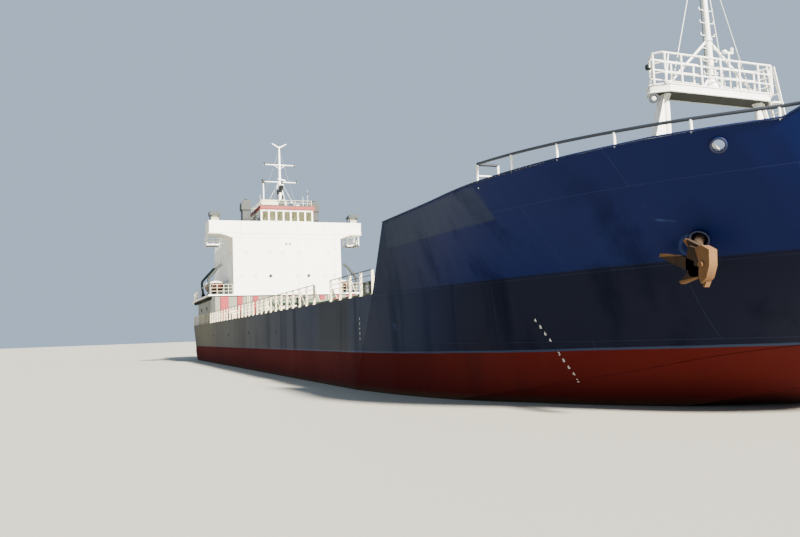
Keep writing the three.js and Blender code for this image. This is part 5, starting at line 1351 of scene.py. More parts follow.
def makeDeckRail(run, name, sign):
    its = deckRail
    floor, (foreX, aftX) = hull.deckZ, its.runs[run]
    y = sign * its.y
    xs = np.linspace(foreX, aftX, max(2, round((foreX - aftX) / its.pitch) + 1))
    half, thick = its.width / 2, its.thick / 2
    lows = points(xs - thick, y - half, floor - .01)
    highs = points(xs + thick, y + half, floor + its.top - .02)
    chunks = [boxes(lows, highs, 0, .008)]
    pads = points(xs, y - sign * .03, floor)
    chunks += [boxes(pads - [.07, .12, .01], pads + [.07, .12, .022], 0, .008)]
    feet = points(xs[::2], y - sign * .36, floor)
    heads = points(xs[::2], y - sign * .03, floor + .78)
    chunks += [rods(feet, heads, .02, 6)]
    path = [[foreX, y, floor], [aftX, y, floor]]
    chunks += [railBars(path, its.bars, .016, 1)]
    if run == "aft":
        chunks += [chunk if sign > 0 else mirrored(chunk) for chunk in sternRail()]
    # The handrail turns down to the lowest bar at the gangway gap
    gap = (aftX, 1) if run == "fore" else (foreX, -1)
    bend = np.linspace(0, math.pi / 2, 7)
    turned = [[gap[0] - gap[1] * .12 * math.sin(a), y, floor + its.top - .12 * (1 - math.cos(a))]
              for a in bend]
    far = foreX if run == "fore" else aftX
    top = [[far, y, floor + its.top], [gap[0] + gap[1] * .02, y, floor + its.top]] + turned
    top += [[turned[-1][0], y, floor + .5], [turned[-1][0], y, floor + .3]]
    chunks += [pipe(top, .026, 8, 1)]
    buildPiece(f"guard_rail_{run}_{name}", chunks, "creamPaint darkBar",
               f"deck_rail_{run}_{name}")


# Tank hatches: coaming with a rolled edge, hinge ears and dogs, and a domed lid that swings on its own body
hatch = Sizes({"xs": {1: 11.5, 2: -13.5}, "y": 3.7, "height": .6, "radius": .62})


def makeHatch(number, name, sign):
    x, y, floor = hatch.xs[number], sign * hatch.y, hull.deckZ
    top = floor + hatch.height
    coaming = [lathe([[0.0, .72], [.02, .72], [.05, .62], [.5, .6], [.55, .63], [.6, .63], [.6, .55],
                      [.3, .54], [.12, .54], [.12, 0.0]], (x, y, floor), 40)]
    ears = np.array([[x - .75, y + dy, top] for dy in (-.15, .15)])
    coaming += [boxes(ears - [.05, .045, .2], ears + [.06, .045, .11], 0, .012)]
    coaming += [boxes([x - .7, y - .2, top - .22], [x - .56, y + .2, top - .04])]
    coaming += [rods([x - .75, y - .21, top + .06], [x - .75, y + .21, top + .06], .02, 10)]
    angle = np.arange(1, 8) * math.pi / 4 - math.pi
    lugs = points(x + .68 * np.cos(angle), y + .68 * np.sin(angle), top - .1)
    coaming += [rods(lugs - [0, 0, .05], lugs + [0, 0, .07], .028, 8)]
    buildPiece(f"hatch_coaming_{number}_{name}", coaming, "deckGear",
               f"tank_coaming_{number}_{name}")
    lid = [lathe([[.005, 0.0], [.005, .62], [0.0, .66], [.06, .665], [.085, .63], [.1, .4], [.115, 0.0]],
                 (x, y, top), 40), boxes([x - .74, y - .06, top + .075], [x + .3, y + .06, top + .12]),
           rods([x - .75, y - .09, top + .06], [x - .75, y + .09, top + .06], .045, 16),
           boxes([x - .4, y - .4, top + .075], [x - .34, y + .4, top + .115]),
           boxes([x + .28, y - .36, top + .075], [x + .34, y + .36, top + .115]),
           hoop((x, y, top + .19), (0, 0, 1), .17, .016, 28, 6, 1), rods([x, y, top + .1], [x, y, top + .22],
                                                                         .035, 10, 1),
           rods([[x, y, top + .19]] * 3, [[x + .17 * math.cos(a), y + .17 * math.sin(a), top + .19]
                                          for a in (.4, 2.5, 4.6)], .01, 6, 1),
           pipe([[x + .42, y - .12, top + .08], [x + .45, y - .11, top + .17], [x + .45, y + .11, top + .17],
                 [x + .42, y + .12, top + .08]], .014, 6, 1)]
    buildPiece(f"hatch_lid_{number}_{name}", lid, "deckGear panelRed",
               f"tank_lid_{number}_{name}", body=f"lid_{number}_{name}")


# Cargo lines along the deck and the manifold across it
cargo = Sizes({"ys": [-1.15, -.55, .55, 1.15], "height": .5, "foreX": 17.0, "aftX": -21.6, "radius": .14,
               "manifoldXs": [-3.6, -2.4, -1.2], "manifoldHeight": .88, "manifoldReach": 6.36})


def valve(x, y, z, radius, along):
    # A gate valve: two flanges, a body, a bonnet and a handwheel on its spindle
    axis = np.array([1, 0, 0]) if along == "x" else np.array([0, 1, 0])
    made = [lathe([[-.22, radius], [-.22, radius * 1.6], [-.18, radius * 1.6], [-.17, radius * 1.1],
                   [0, radius * 1.35], [.17, radius * 1.1], [.18, radius * 1.6], [.22, radius * 1.6],
                   [.22, radius]], (x, y, z), 20, 0, axis),
            lathe([[0, radius * .9], [.22, radius * .7], [.24, radius * .95], [.28, radius * .95], [.3, .03],
                   [.52, .022]], (x, y, z), 16), hoop((x, y, z + .5), (0, 0, 1), .19, .016, 24, 6, 1)]
    angles = np.array([.2, 1.77, 3.34, 4.91])
    ends = points(x + .19 * np.cos(angles), y + .19 * np.sin(angles), z + .5)
    made += [rods(np.broadcast_to([x, y, z + .5], (4, 3)), ends, .01, 6, 1)]
    return made


def makeCargoLines():
    its, floor = cargo, hull.deckZ
    z = floor + its.height
    radius = its.radius
    chunks = []
    for y in its.ys:
        for a, b in ((its.aftX, -5.4), (-5.4, 6.0), (6.0, its.foreX)):
            chunks += [rods([a, y, z], [b, y, z], radius, 20)]
        joints = np.arange(its.aftX + 3.1, its.foreX - 1, 6.1)
        for x in joints:
            chunks += [lathe([[-.05, radius], [-.05, .22], [-.008, .22], [-.008, .2], [.008, .2],
                              [.008, .22], [.05, .22], [.05, radius]], (x, y, z), 20, 0, (1, 0, 0))]
        for x in (its.aftX, its.foreX):
            chunks += [lathe([[-.05, radius], [-.05, .22], [.05, .22], [.05, .02]],
                             (x - .05 * np.sign(x), y, z), 20, 0, (math.copysign(1, x), 0, 0))]
        chunks += valve(4.2 if y > 0 else 2.9, y, z, radius, "x")
        chunks += valve(-7.6 if y > 0 else -8.8, y, z, radius, "x")
    spans = 10
    for x in np.linspace(its.aftX + .4, its.foreX - .4, spans + 1):
        chunks += [boxes([x - .07, -1.4, z - .22], [x + .07, 1.4, z - .13])]
        chunks += [boxes([[x - .06, y - .06, floor - .01] for y in (-1.3, 1.3)],
                         [[x + .06, y + .06, z - .14] for y in (-1.3, 1.3)])]
        for y in its.ys:
            a = np.linspace(-.3, math.pi + .3, 9)
            strap = points(x, y + .155 * np.cos(a), z + .155 * np.sin(a))
            chunks += [pipe(strap, .016, 4)]
    # Cable tray on posts beside the pipes
    chunks += [boxes([its.aftX, -1.75, z + .02], [its.foreX, -1.6, z + .1])]
    chunks += [rods([[x, -1.68, floor] for x in np.arange(-21, 17, 3.8)],
                    [[x, -1.68, z + .03] for x in np.arange(-21, 17, 3.8)], .025, 6)]
    buildPiece("cargo_lines", chunks, "deckGear panelRed", "cargo_pipes")


def makeManifold():
    its, floor = cargo, hull.deckZ
    z, reach, radius = floor + its.manifoldHeight, its.manifoldReach, .13
    chunks = []
    for x in its.manifoldXs:
        chunks += [rods([x, -reach, z], [x, reach, z], radius, 20)]
        for sign in (-1, 1):
            chunks += [lathe([[-.07, radius], [-.07, .21], [-.02, .22], [-.02, .2], [0.0, .2], [0.0, .22],
                              [.05, .21], [.06, 0.0]], (x, sign * reach, z), 24, 0, (0, sign, 0))]
            chunks += valve(x, sign * (reach - 1.2), z, radius, "y")
            a = np.arange(8) * math.pi / 4
            bolts = points(x + .175 * np.cos(a), sign * (reach - .09), z + .175 * np.sin(a))
            chunks += [rods(bolts, bolts + [0, sign * .17, 0], .016, 6)]
            chunks += [lathe([[0, .05], [.1, .05], [.12, .08], [.14, .08], [.14, 0]],
                             (x + .02, sign * (reach - .5), z + .1), 12)]
    for sign in (-1, 1):
        y = sign * (reach - .6)
        x0, x1 = its.manifoldXs[0], its.manifoldXs[-1]
        chunks += [boxes([x0 - .3, y - .07, z - .21], [x1 + .3, y + .07, z - .12])]
        chunks += [boxes([[x - .07, y - .07, floor - .01] for x in (x0 - .22, x1 + .22)],
                         [[x + .07, y + .07, z - .13] for x in (x0 - .22, x1 + .22)])]
        # Drip tray with a raised lip under the flanges
        tray = [[x0 - .6, sign * (reach - .55), floor + .12], [x1 + .6, sign * (reach + .6), floor + .16]]
        chunks += [boxes(*tray)]
        lip = np.array([[x0 - .6, reach - .55], [x1 + .6, reach - .55], [x1 + .6, reach + .6],
                        [x0 - .6, reach + .6], [x0 - .6, reach - .55]]) * [1, sign]
        loop = points(lip, floor + .12)
        chunks += [boxes(np.minimum(a, b) - [.015, .015, .1], np.maximum(a, b) + [.015, .015, .22])
                   for a, b in zip(loop[:-1], loop[1:])]
    buildPiece("manifold_dressed", chunks, "deckGear panelRed", "cargo_manifold")


def makeDeckFittings():
    floor = hull.deckZ + .02
    random = np.random.default_rng(21)
    chunks = []
    # Goose-neck vents, tank cleaning covers, bollards, fire monitors and spill edges on both sides
    a = np.linspace(0, math.pi, 9)
    for sign in (-1, 1):
        for x in np.arange(-20, 22, 6.9):
            y = sign * 6.9
            neck = [[x, y, floor], [x, y, floor + .55]] + [[x + .14 - .14 * math.cos(t), y,
                                                            floor + .55 + .14 * math.sin(t)]
                                                           for t in a] + [[x + .28, y, floor + .45]]
            chunks += [pipe(neck, .065, 12)]
            chunks += [lathe([[0, .09], [.03, .13], [.14, .13], [.17, .08]], (x + .28, y, floor + .3), 16)]
        for x in np.arange(-18.2, 20, 5.3):
            y = sign * (5.6 + .2 * random.random())
            chunks += [lathe([[0, .2], [.06, .2], [.07, .25], [.1, .25], [.12, .2], [.13, 0]], (x, y, floor),
                             20)]
        for x in (-19.0, 8.0, 20.4):
            chunks += bitts(x, sign * 6.9, floor - .02, 1)
        for x in (-6.8, 6.4):
            y = sign * 2.3
            chunks += [rods([x, y, floor], [x, y, floor + .9], .05, 10, 2)]
            chunks += [lathe([[-.12, .05], [.1, .06], [.26, .035], [.32, .05]], (x, y, floor + .92), 14, 2,
                             (.8, sign * .5, .3))]
        chunks += [boxes([-24.2, sign * 7.7 - .012, floor - .03], [23.7, sign * 7.7 + .012, floor + .12])]
    # Trunk hatches and the mid-deck store
    for x in (7.6, -9.8, -18.0):
        chunks += [boxes([x - .5, -.3, floor], [x + .5, .3, floor + .3], 0, .03)]
    chunks += [boxes([19.2, -1.6, floor], [21.2, 1.6, floor + .95], 2, .05)]
    chunks += [boxes([19.1, -1.7, floor + .95], [21.3, 1.7, floor + 1.02], 2, .02)]
    chunks += [boxes([19.14, -.45, floor + .08], [19.24, .45, floor + .9], 1, .02)]
    buildPiece("deck_fittings", chunks, "deckGear greyPaint creamPaint")


for railRun in deckRail.runs:
    for railName, railSign in sides:
        makeDeckRail(railRun, railName, railSign)
for hatchNumber in hatch.xs:
    for hatchName, hatchSign in sides:
        makeHatch(hatchNumber, hatchName, hatchSign)
makeCargoLines()
makeManifold()
makeDeckFittings()
print("main deck done")


# Poop and house: the full-width lower tier, its deck, and the white block with portholes
house = Sizes({"foreX": -24.4, "aftX": -38.0, "halfWidth": 5.67, "poopZ": 6.55, "deckThick": .14,
               "topZ": 12.45, "bulwarkZ": 14.14})


def plateRing(plan, lowZ, highZ, rows, sink, frames):
    # A closed wall over an outline in plan: sunk by sink * sin^2(pi along / frames) * sin^2(pi share)
    ring = np.vstack([plan, plan[:1]])
    way = travelled(ring)[:-1]
    along = np.roll(plan, -1, 0) - np.roll(plan, 1, 0)
    out = unit(np.stack([along[:, 1], -along[:, 0]], 1))
    out *= np.sign(np.sum(out * (plan - plan.mean(0))))
    zs = np.linspace(lowZ, highZ, rows)
    share = np.sin(math.pi * (zs - lowZ) / (highZ - lowZ))[:, None] ** 2
    amount = sink * share * (np.sin(math.pi * way / frames) ** 2)[None]
    flat = plan[None] - out[None] * amount[..., None]
    return skin(np.concatenate([flat, np.broadcast_to(zs[:, None, None], flat.shape[:2] + (1,))], -1))


def portholes(places, normal, radius, materials):
    # Rims, glasses and rain eyebrows for a list of centres on one wall
    made = []
    a = np.linspace(.25, math.pi - .25, 9)
    normal = np.asarray(normal, float)
    side = np.cross([0, 0, 1], normal)
    for place in np.asarray(places, float):
        made += [hoop(place + normal * .015, normal, radius + .02, .026, 24, 6, materials[0])]
        made += [lathe([[-.05, radius + .01], [.012, radius + .01], [.014, 0.0]], place, 24, materials[1],
                       normal)]
        reach = radius + .06
        brow = place + normal * .06 + side * reach * np.cos(a)[:, None]
        brow = brow + np.array([0, 0, 1]) * reach * np.sin(a)[:, None]
        made += [pipe(brow, .02, 4, materials[0])]
        made += [rods(brow[::8] - normal * .06, brow[::8], .012, 4, materials[0])]
    return made


def makePoop():
    # The lower tier stands inboard of the side decks; a web with a narrow way closes each at its front
    x, floor, top, wall = house.foreX, hull.deckZ, house.poopZ, 7.5
    plan = poopEdge(.56, x)
    plan = np.vstack([plan, plan[::-1] * [1, -1]])
    chunks = [plateRing(plan, floor, top, 12, .01, .65)]
    chunks += bothSides([boxes([[x - .12, 7.81, floor], [x - .12, wall - .02, 6.15]],
                               [[x, 7.93, top], [x, 7.93, top]], 1, .02),
                         plate([[7.5, 6.16], [7.5, 5.9], [7.62, 6.1], [7.7, 6.16]], x - .1, x - .02, 0, 1),
                         plate([[7.82, 6.16], [7.82, 5.9], [7.74, 6.1], [7.66, 6.16]], x - .1, x - .02, 0,
                               1)])
    chunks += bothSides(portholes([[px, wall, 5.5] for px in (-26.4, -30.8, -35.2)], (0, 1, 0), .16, (1, 2)))
    buildPiece("poop_shell", chunks, "poopWalls greyPaint portGlass", "poop")
    # Deck over the tier and the side decks: a nosing all round, frames under its overhang
    rim = poopEdge(-.1, x + .15)
    ring = np.vstack([rim, rim[::-1] * [1, -1]])
    ring = np.vstack([ring, ring[:1]])
    low, high = top + .003, top + house.deckThick
    slab = [points(ring * [1, shrink], z) for shrink, z in ((.997, low), (1.0, low + .02), (1.0, high - .02),
                                                            (.997, high))]
    deck = [skin(np.stack([part[:-1] for part in slab]), True, 0, False)]
    deck += [pipe(points(ring[::4] * [1, .9995], high - .02), .03, 6)]
    for px in np.arange(x - .9, -43.5, -1.2):
        half = float(np.interp(-px, -rim[:, 0], rim[:, 1]))
        deck += bothSides([plate([[7.52, top], [half - .15, top], [half - .18, top - .08], [7.52, top - .3]],
                                 px - .02, px + .02, 0, 1)] if half > 7.8 else [])
    blocks = [(px, y, .1, .6, 7.1) for px in (-30.2, -27.8) for y in (6.95, -6.95)]
    blocks += [(px + dx, y, .06, .18, 7.15) for px in (-31.75, -26.25) for dx in (-.2, .2)
               for y in (7.75, -7.75)]
    deck += [boxes([[px - a, y - b, high - .02] for px, y, a, b, _ in blocks],
                   [[px + a, y + b, z] for px, y, a, b, z in blocks], 1, .02)]
    buildPiece("poop_deck_plating", deck, "whiteWalls greyPaint", "poop_deck")
    # The front of the poop: red upright panels, a dark sheet of painted shade at each narrow way, doors,
    # lockers and pipes
    x = house.foreX
    front = []
    for y0, y1 in ((7.0, 6.2), (5.33, 4.8), (3.75, 3.2)):
        front += bothSides([boxes([x, y0, 3.95], [x + .1, y1, 6.45], 0, .02),
                            boxes([x + .09, y0 - .12, 4.1], [x + .13, y1 + .12, 6.3], 0, .02)])
    # Painted shade: a dark sheet across the front of each narrow way stands in for the shade inside it
    front += bothSides([boxes([x, 8.0, 3.95], [x + .04, 7.5, 6.1], 1, .03),
                        boxes([x, 2.6, 4.0], [x + .06, 1.85, 5.95], 2, .04),
                        rods([[x + .09, 2.5, 5.0]], [[x + .09, 2.5, 5.35]], .015, 6, 1),
                        boxes([x, 6.05, 4.1], [x + .35, 5.5, 5.1], 2, .03),
                        rods([[x + .1, 4.3, 3.9], [x + .1, 4.15, 3.9]],
                             [[x + .1, 4.3, 6.5], [x + .1, 4.15, 6.5]], .045, 10, 2)])
    front += [boxes([x, -1.1, 4.0], [x + .05, -.3, 5.9], 2, .03), boxes([x, .3, 4.0], [x + .05, 1.1, 5.9], 2,
                                                                        .03)]
    front += portholes([[x, y, 5.6] for y in (-1.5, 1.5)], (1, 0, 0), .16, (2, 1))
    buildPiece("poop_front", front, "panelRed greyPaint creamPaint")


# Lifeboats with their covers, and the davit arms that swing on their own bodies
boat = Sizes({"x": -29.0, "y": 6.95, "length": 4.6, "halfWidth": .95, "bottomZ": 7.12, "topZ": 8.35})
davit = Sizes({"pivotY": 7.75, "pivotZ": 7.0, "spread": 2.75, "headY": 6.6, "headZ": 9.9, "elbowY": 7.9,
               "elbowZ": 8.45})


def makeLifeboats():
    its = boat
    t = np.linspace(-1, 1, 41)
    width = its.halfWidth * np.clip(1 - np.abs(t) ** 2.6, .03, 1) ** .55
    rise = .5 * np.abs(t) ** 3
    gunwale = its.topZ - .42 + .12 * t ** 2
    a = np.linspace(0, math.pi, 15)
    below = np.stack([np.broadcast_to(its.x + t[:, None] * its.length / 2, (41, 15)), its.y + width[:, None]
                      * np.cos(a) * (1 - .12 * np.sin(a)), gunwale[:, None]
                      - (gunwale - its.bottomZ - rise)[:, None] * np.sin(a) ** .62], -1)
    b = np.linspace(math.pi, 0, 11)[1:-1]
    peak = (its.topZ - gunwale) * np.clip(1 - np.abs(t) ** 3, .05, 1)
    above = np.stack([np.broadcast_to(its.x + t[:, None] * its.length / 2, (41, 9)), its.y + width[:, None]
                      * .93 * np.cos(b), gunwale[:, None] + peak[:, None] * np.sin(b) ** .8], -1)
    ring = np.concatenate([below, above], 1)
    kinds = [0] * 14 + [1] * 10
    hullPart = skin(ring, True, kinds)
    rim = np.stack([its.x + t[1:-1] * its.length / 2, its.y + width[1:-1] * 1.02, gunwale[1:-1]], 1)
    other = rim * [1, -1, 1] + [0, 2 * its.y, 0]
    keel = points(its.x + t[4:-4] * its.length / 2, its.y, (its.bottomZ + rise)[4:-4] - .01)
    chunks = [hullPart, pipe(rim, .035, 6, 2), pipe(other, .035, 6, 2), pipe(keel, .03, 4, 0)]
    sags = np.arange(-1.8, 1.9, .6)
    for x in sags[:-1]:
        s = np.linspace(0, 1, 7)
        for side in (1, -1):
            line = np.stack([its.x + x + .6 * s, np.full(7, its.y + side * its.halfWidth * 1.03),
                             gunwale[20] - .08 - .16 * np.sin(math.pi * s)], 1)
            chunks += [pipe(line, .014, 5, 2)]
    cradle = []
    for dx in (-1.2, 1.2):
        x = its.x + dx
        seatLine = points(x, np.linspace(its.y - .62, its.y + .62, 9), its.bottomZ + .26
                          * np.linspace(-1, 1, 9) ** 2 + .03)
        cradle += [pipe(seatLine, .05, 6, 0, 1.3)]
        cradle += [rods([[x, its.y + dy, 6.6] for dy in (-.5, .5)],
                        [[x, its.y + dy, 7.2] for dy in (-.5, .5)], .05, 8)]
    for side in sides:
        buildSides("ships_boat", chunks, "boatRed whitePaint creamPaint", "lifeboat",
                   which=[side])
        buildSides("boat_cradle", cradle, "greyPaint", which=[side])


def makeDavits():
    its = davit
    chunks = []
    for dx in (-its.spread, its.spread):
        x = boat.x + dx
        points = np.array([[x, its.pivotY, its.pivotZ - .1], [x, its.elbowY - .02, 8.3],
                           [x, its.elbowY - .05, its.elbowZ], [x, its.elbowY - .16, 8.62],
                           [x, its.headY, its.headZ]])
        arm = fairLine(points, 20)
        chunks += [pipe(arm, np.linspace(.14, .12, 21), 8, 0, 1.15)]
        chunks += [rods([x - .28, its.pivotY, its.pivotZ], [x + .28, its.pivotY, its.pivotZ], .06, 16)]
        chunks += [lathe([[-.06, .03], [-.06, .17], [-.03, .13], [.03, .13], [.06, .17], [.06, .03]],
                         (x, its.headY, its.headZ - .06), 18, 0, (1, 0, 0))]
        chunks += [rods([[x + .05, its.headY + .1, its.headZ - .1]],
                        [[x + .05, its.pivotY - .12, its.pivotZ + .3]], .012, 6, 1)]
    chunks += [rods([boat.x - its.spread, its.headY, its.headZ - .02],
                    [boat.x + its.spread, its.headY, its.headZ - .02], .045, 10)]
    buildSides("davit_arms", chunks, "greyPaint wireRope", "davit", body="davit")


def makePoopRail():
    floor = house.poopZ + house.deckThick
    half = poopEdge(.12, -32.6)
    half = half[half[:, 0] < -32.5]
    steps = travelled(half)
    transom = np.array([[-44.9, 3.2]])
    edge = np.vstack([half, transom])
    port = points(edge, floor)
    chunks = []
    for height, radius in ((.33, .018), (.61, .018), (1.0, .026)):
        chunks += bothSides([pipe(port[::3] + [0, 0, height], radius, 6)])
        chunks += [rods([-44.9, -3.2, floor + height], [-44.9, 3.2, floor + height], radius, 6)]
    spots = np.arange(0.0, steps[-1], 1.5)
    posts = points(np.interp(spots, steps, half[:, 0]), np.interp(spots, steps, half[:, 1]), floor)
    posts = np.vstack([posts, [[-44.9, y, floor] for y in (6.2, 4.7, 3.2, 1.6)]])
    chunks += bothSides([rods(posts, posts + [0, 0, 1.0], .026, 8),
                         rods(posts, posts + [0, 0, .025], .055, 8)])
    chunks += [rods([-44.9, 0, floor], [-44.9, 0, floor + 1.0], .026, 8)]
    buildPiece("poop_guard_rail", chunks, "creamPaint", "poop_rail")
    # Rails at the fore end of the poop deck, beside the house
    x = house.foreX + .06
    front = bothSides(railing([[x, 5.75, floor], [x, 6.65, floor]], [.33, .66, 1.0], .45, .018, .024)
                      + railing([[x, 6.65, floor], [x, 7.95, floor]], [.33, .66, 1.0], .65, .018, .024,
                                (1, 1)))
    buildPiece("poop_front_rail", front, "creamPaint creamPaint")


def makeAfterDeck():
    # Bitts, ventilators, lockers and a mooring winch behind the house
    floor = house.poopZ + house.deckThick
    chunks = bothSides(bitts(-42.6, 5.2, floor) + bitts(-39.4, 6.6, floor)
                       + [lathe([[0, .2], [.7, .18], [.72, .36], [.84, .36], [.98, .2], [1.0, 0.0]],
                                (-39.6, 4.4, floor), 24, 1),
                          boxes([-40.3, 1.2, floor], [-38.9, 2.4, floor + 1.5], 1, .05),
                          boxes([-40.35, 1.15, floor + 1.5], [-38.85, 2.45, floor + 1.56], 1, .02)])
    chunks += [lathe([[-1.3, .3], [-1.28, .36], [-1.1, .24], [-.7, .24], [-.66, .4], [-.62, .4], [-.6, .2],
                      [.6, .2], [.62, .4], [.66, .4], [.7, .24], [1.1, .24], [1.28, .36], [1.3, .3]],
                     (-42.3, 0, floor + .6), 28, 0, (0, 1, 0)),
               boxes([-42.7, -.75, floor], [-41.9, -.6, floor + .75]),
               boxes([-42.7, .6, floor], [-41.9, .75, floor + .75]),
               boxes([-42.1, -.35, floor], [-41.3, .35, floor + .6], 1, .04)]
    buildPiece("after_deck_gear", chunks, "greyPaint creamPaint")


def roundedPlan(x0, x1, halfWidth, radius):
    # A rectangle in plan with round corners, as an even run of points
    a = np.linspace(0, math.pi / 2, 5)
    corners = [(x1 - radius, halfWidth - radius, 0), (x0 + radius, halfWidth - radius, 1),
               (x0 + radius, -halfWidth + radius, 2), (x1 - radius, -halfWidth + radius, 3)]
    bare = np.vstack([[[x + radius * math.cos(t + k * math.pi / 2),
                        y + radius * math.sin(t + k * math.pi / 2)] for t in a] for x, y, k in corners])
    points = []
    for p, q in zip(bare, np.roll(bare, -1, 0)):
        spans = max(1, round(float(np.linalg.norm(q - p)) / .16))
        points.append(p + (q - p) * np.linspace(0, 1, spans + 1)[:-1, None])
    return np.vstack(points)


houseDoor = Sizes({"x0": -34.05, "x1": -33.15, "lowZ": 6.9, "highZ": 8.9, "depth": .12})


def makeHouse():
    floor, top = house.poopZ + house.deckThick, house.topZ
    plan = roundedPlan(house.aftX, house.foreX, house.halfWidth, .05)
    walls = plateRing(plan, floor, top, 30, .006, .62)
    y = house.halfWidth
    cuts = [boxes([houseDoor.x0, sign * (y - houseDoor.depth), houseDoor.lowZ],
                  [houseDoor.x1, sign * (y + .3), houseDoor.highZ], 0, .05) for sign in (-1, 1)]
    buildPiece("house_walls", [walls], "whiteWalls", "deckhouse", cuts=cuts)
    x = house.foreX
    ports = portholes([[x, y, 8.5] for y in (-4.85, -3.43, 1.0, 3.9, 4.9)]
                      + [[x, y, 10.9] for y in (-4.33, -1.87, -.6, 1.1, 4.38)], (1, 0, 0), .16, (0, 2))
    ports += portholes([[x, y, 8.5] for y in (-1.9, 2.1)], (1, 0, 0), .17, (0, 1))
    ports += portholes([[x, y, 11.8] for y in (-.2, .2)], (1, 0, 0), .1, (0, 1))
    for sign in (-1, 1):
        rows = [[px, sign * y, z] for z in (8.3, 10.9) for px in (-26, -28.2, -30.4, -32.4, -35.4, -37.0)]
        ports += portholes([row for row in rows if row[2] > 9 or row[0] > -32.5 or row[0] < -35],
                           (0, sign, 0), .17, (0, 1))
    ports += portholes([[house.aftX, y, z] for y in (-4.4, -2.6, 2.6, 4.4) for z in (8.3, 10.9)], (-1, 0, 0),
                       .17, (0, 1))
    buildPiece("house_ports", ports, "whitePaint portGlass markWhite")
    # A band at each deck, downpipes, handrails, an after door and ladder, and vents
    trim = []
    for z in (9.55, 12.38):
        belt = points(plan, z)[::4]
        cloud, faces, *_ = pipe(np.vstack([belt, belt[:2]]), .024, 4)
        trim += [(cloud, faces[:1], 0, False)]
    trim += bothSides([rods([[-25.0, y + .03, floor], [-37.4, y + .03, floor]],
                            [[-25.0, y + .03, top], [-37.4, y + .03, top]], .035, 8),
                       rods([-36.4, y + .07, 7.7], [-25.6, y + .07, 7.7], .018, 6)])
    trim += [boxes([house.aftX - .04, -.4, floor + .15], [house.aftX, .4, floor + 2.0], 0, .04),
             hoop((house.aftX - .05, .25, floor + 1.1), (1, 0, 0), .08, .012, 16, 6, 1),
             rods([[house.aftX - .14, 1.6, floor], [house.aftX - .14, 2.0, floor]],
                  [[house.aftX - .14, 1.6, top + .5], [house.aftX - .14, 2.0, top + .5]], .022, 8)]
    rungs = np.arange(floor + .3, top + .3, .3)
    trim += [rods(points(house.aftX - .14, 1.6, rungs), points(house.aftX - .14, 2.0, rungs), .014, 6)]
    for vx, vy in ((-33.6, -2.6), (-33.6, 2.6), (-35.8, 0.0)):
        trim += [lathe([[0, .28], [.6, .26], [.62, .46], [.76, .46], [.92, .26], [.94, 0.0]], (vx, vy, top),
                       24)]
    trim += [boxes([-32.6, -1.5, top], [-31.2, 1.5, top + .9], 0, .05)]
    buildPiece("house_trim", trim, "whitePaint greyPaint")
    rail = np.array([[-30.6, -5.5], [-37.9, -5.5], [-37.9, 5.5], [-30.6, 5.5]])
    buildPiece("house_top_rail", railing(points(rail, top), [.33, .66, 1.0], 1.5, .018, .026), "creamPaint")


def makeDoors():
    # Steel doors on their own bodies: a pressed leaf, two hinges, a handle and a round light
    face = house.halfWidth
    for name, sign in sides:
        def at(lows, highs, material=0, chamfer=.012, sign=sign):
            made = boxes(lows, highs, material, chamfer)
            return made if sign > 0 else mirrored(made)
        x0, x1, z0, z1 = -34.0, -33.2, 6.95, 8.85
        door = [at([x0, face - .06, z0], [x1, face - .004, z1], 0, .05),
                at([x0 + .1, face - .01, z0 + .12], [x1 - .1, face + .006, z0 + .85], 0, .03),
                at([x0 + .08, face - .01, z0 + .95], [x0 + .2, face + .05, z0 + 1.0], 1),
                at([[x1 - .12, face - .02, z0 + .4], [x1 - .12, face - .02, z0 + 1.35]],
                   [[x1 + .045, face + .03, z0 + .55], [x1 + .045, face + .03, z0 + 1.5]], 1)]
        knuckle = np.array([[x1 + .045, sign * (face + .033), z0 + 1.9 * part] for part in (.25, .75)])
        door += [rods(knuckle - [0, 0, .12], knuckle + [0, 0, .12], .03, 12, 1)]
        door += [hoop((-33.6, sign * (face + .003), z0 + 1.4), (0, 1, 0), .15, .02, 24, 6, 0)]
        door += [lathe([[-.02, .15], [.004, .15], [.005, 0]], (-33.6, sign * face, z0 + 1.4), 24, 2,
                       (0, sign, 0))]
        buildPiece(f"house_door_leaf_{name}", door, "whitePaint greyPaint portGlass",
                   f"house_door_{name}", body=f"house_door_{name}")


makePoop()
makeLifeboats()
makeDavits()
makePoopRail()
makeAfterDeck()
makeHouse()
makeDoors()
print("house done")


# Bridge: deck and wings, bulwark, side-light platforms, wheelhouse with its windows, and the roof
bridge = Sizes({"aftX": -30.5, "foreX": -24.4, "wingAftX": -27.2, "wallAftX": -30.2, "wallForeX": -24.51,
                "half": 2.76, "sillZ": 14.2, "headZ": 15.25, "eaveZ": 15.42, "roofZ": 15.88, "innerY": 5.07,
                "thick": .08})
wingSection = [[0, 12.9], [8.04, 12.9], [8.06, 12.88], [8.06, 12.845], [6.85, 12.825], [6.2, 12.636],
               [5.75, 12.458], [0, 12.458]]
sideLight = Sizes({"foreX": -25.5, "aftX": -27.1, "innerY": 6.75, "outerY": 8.12, "z": 11.85})


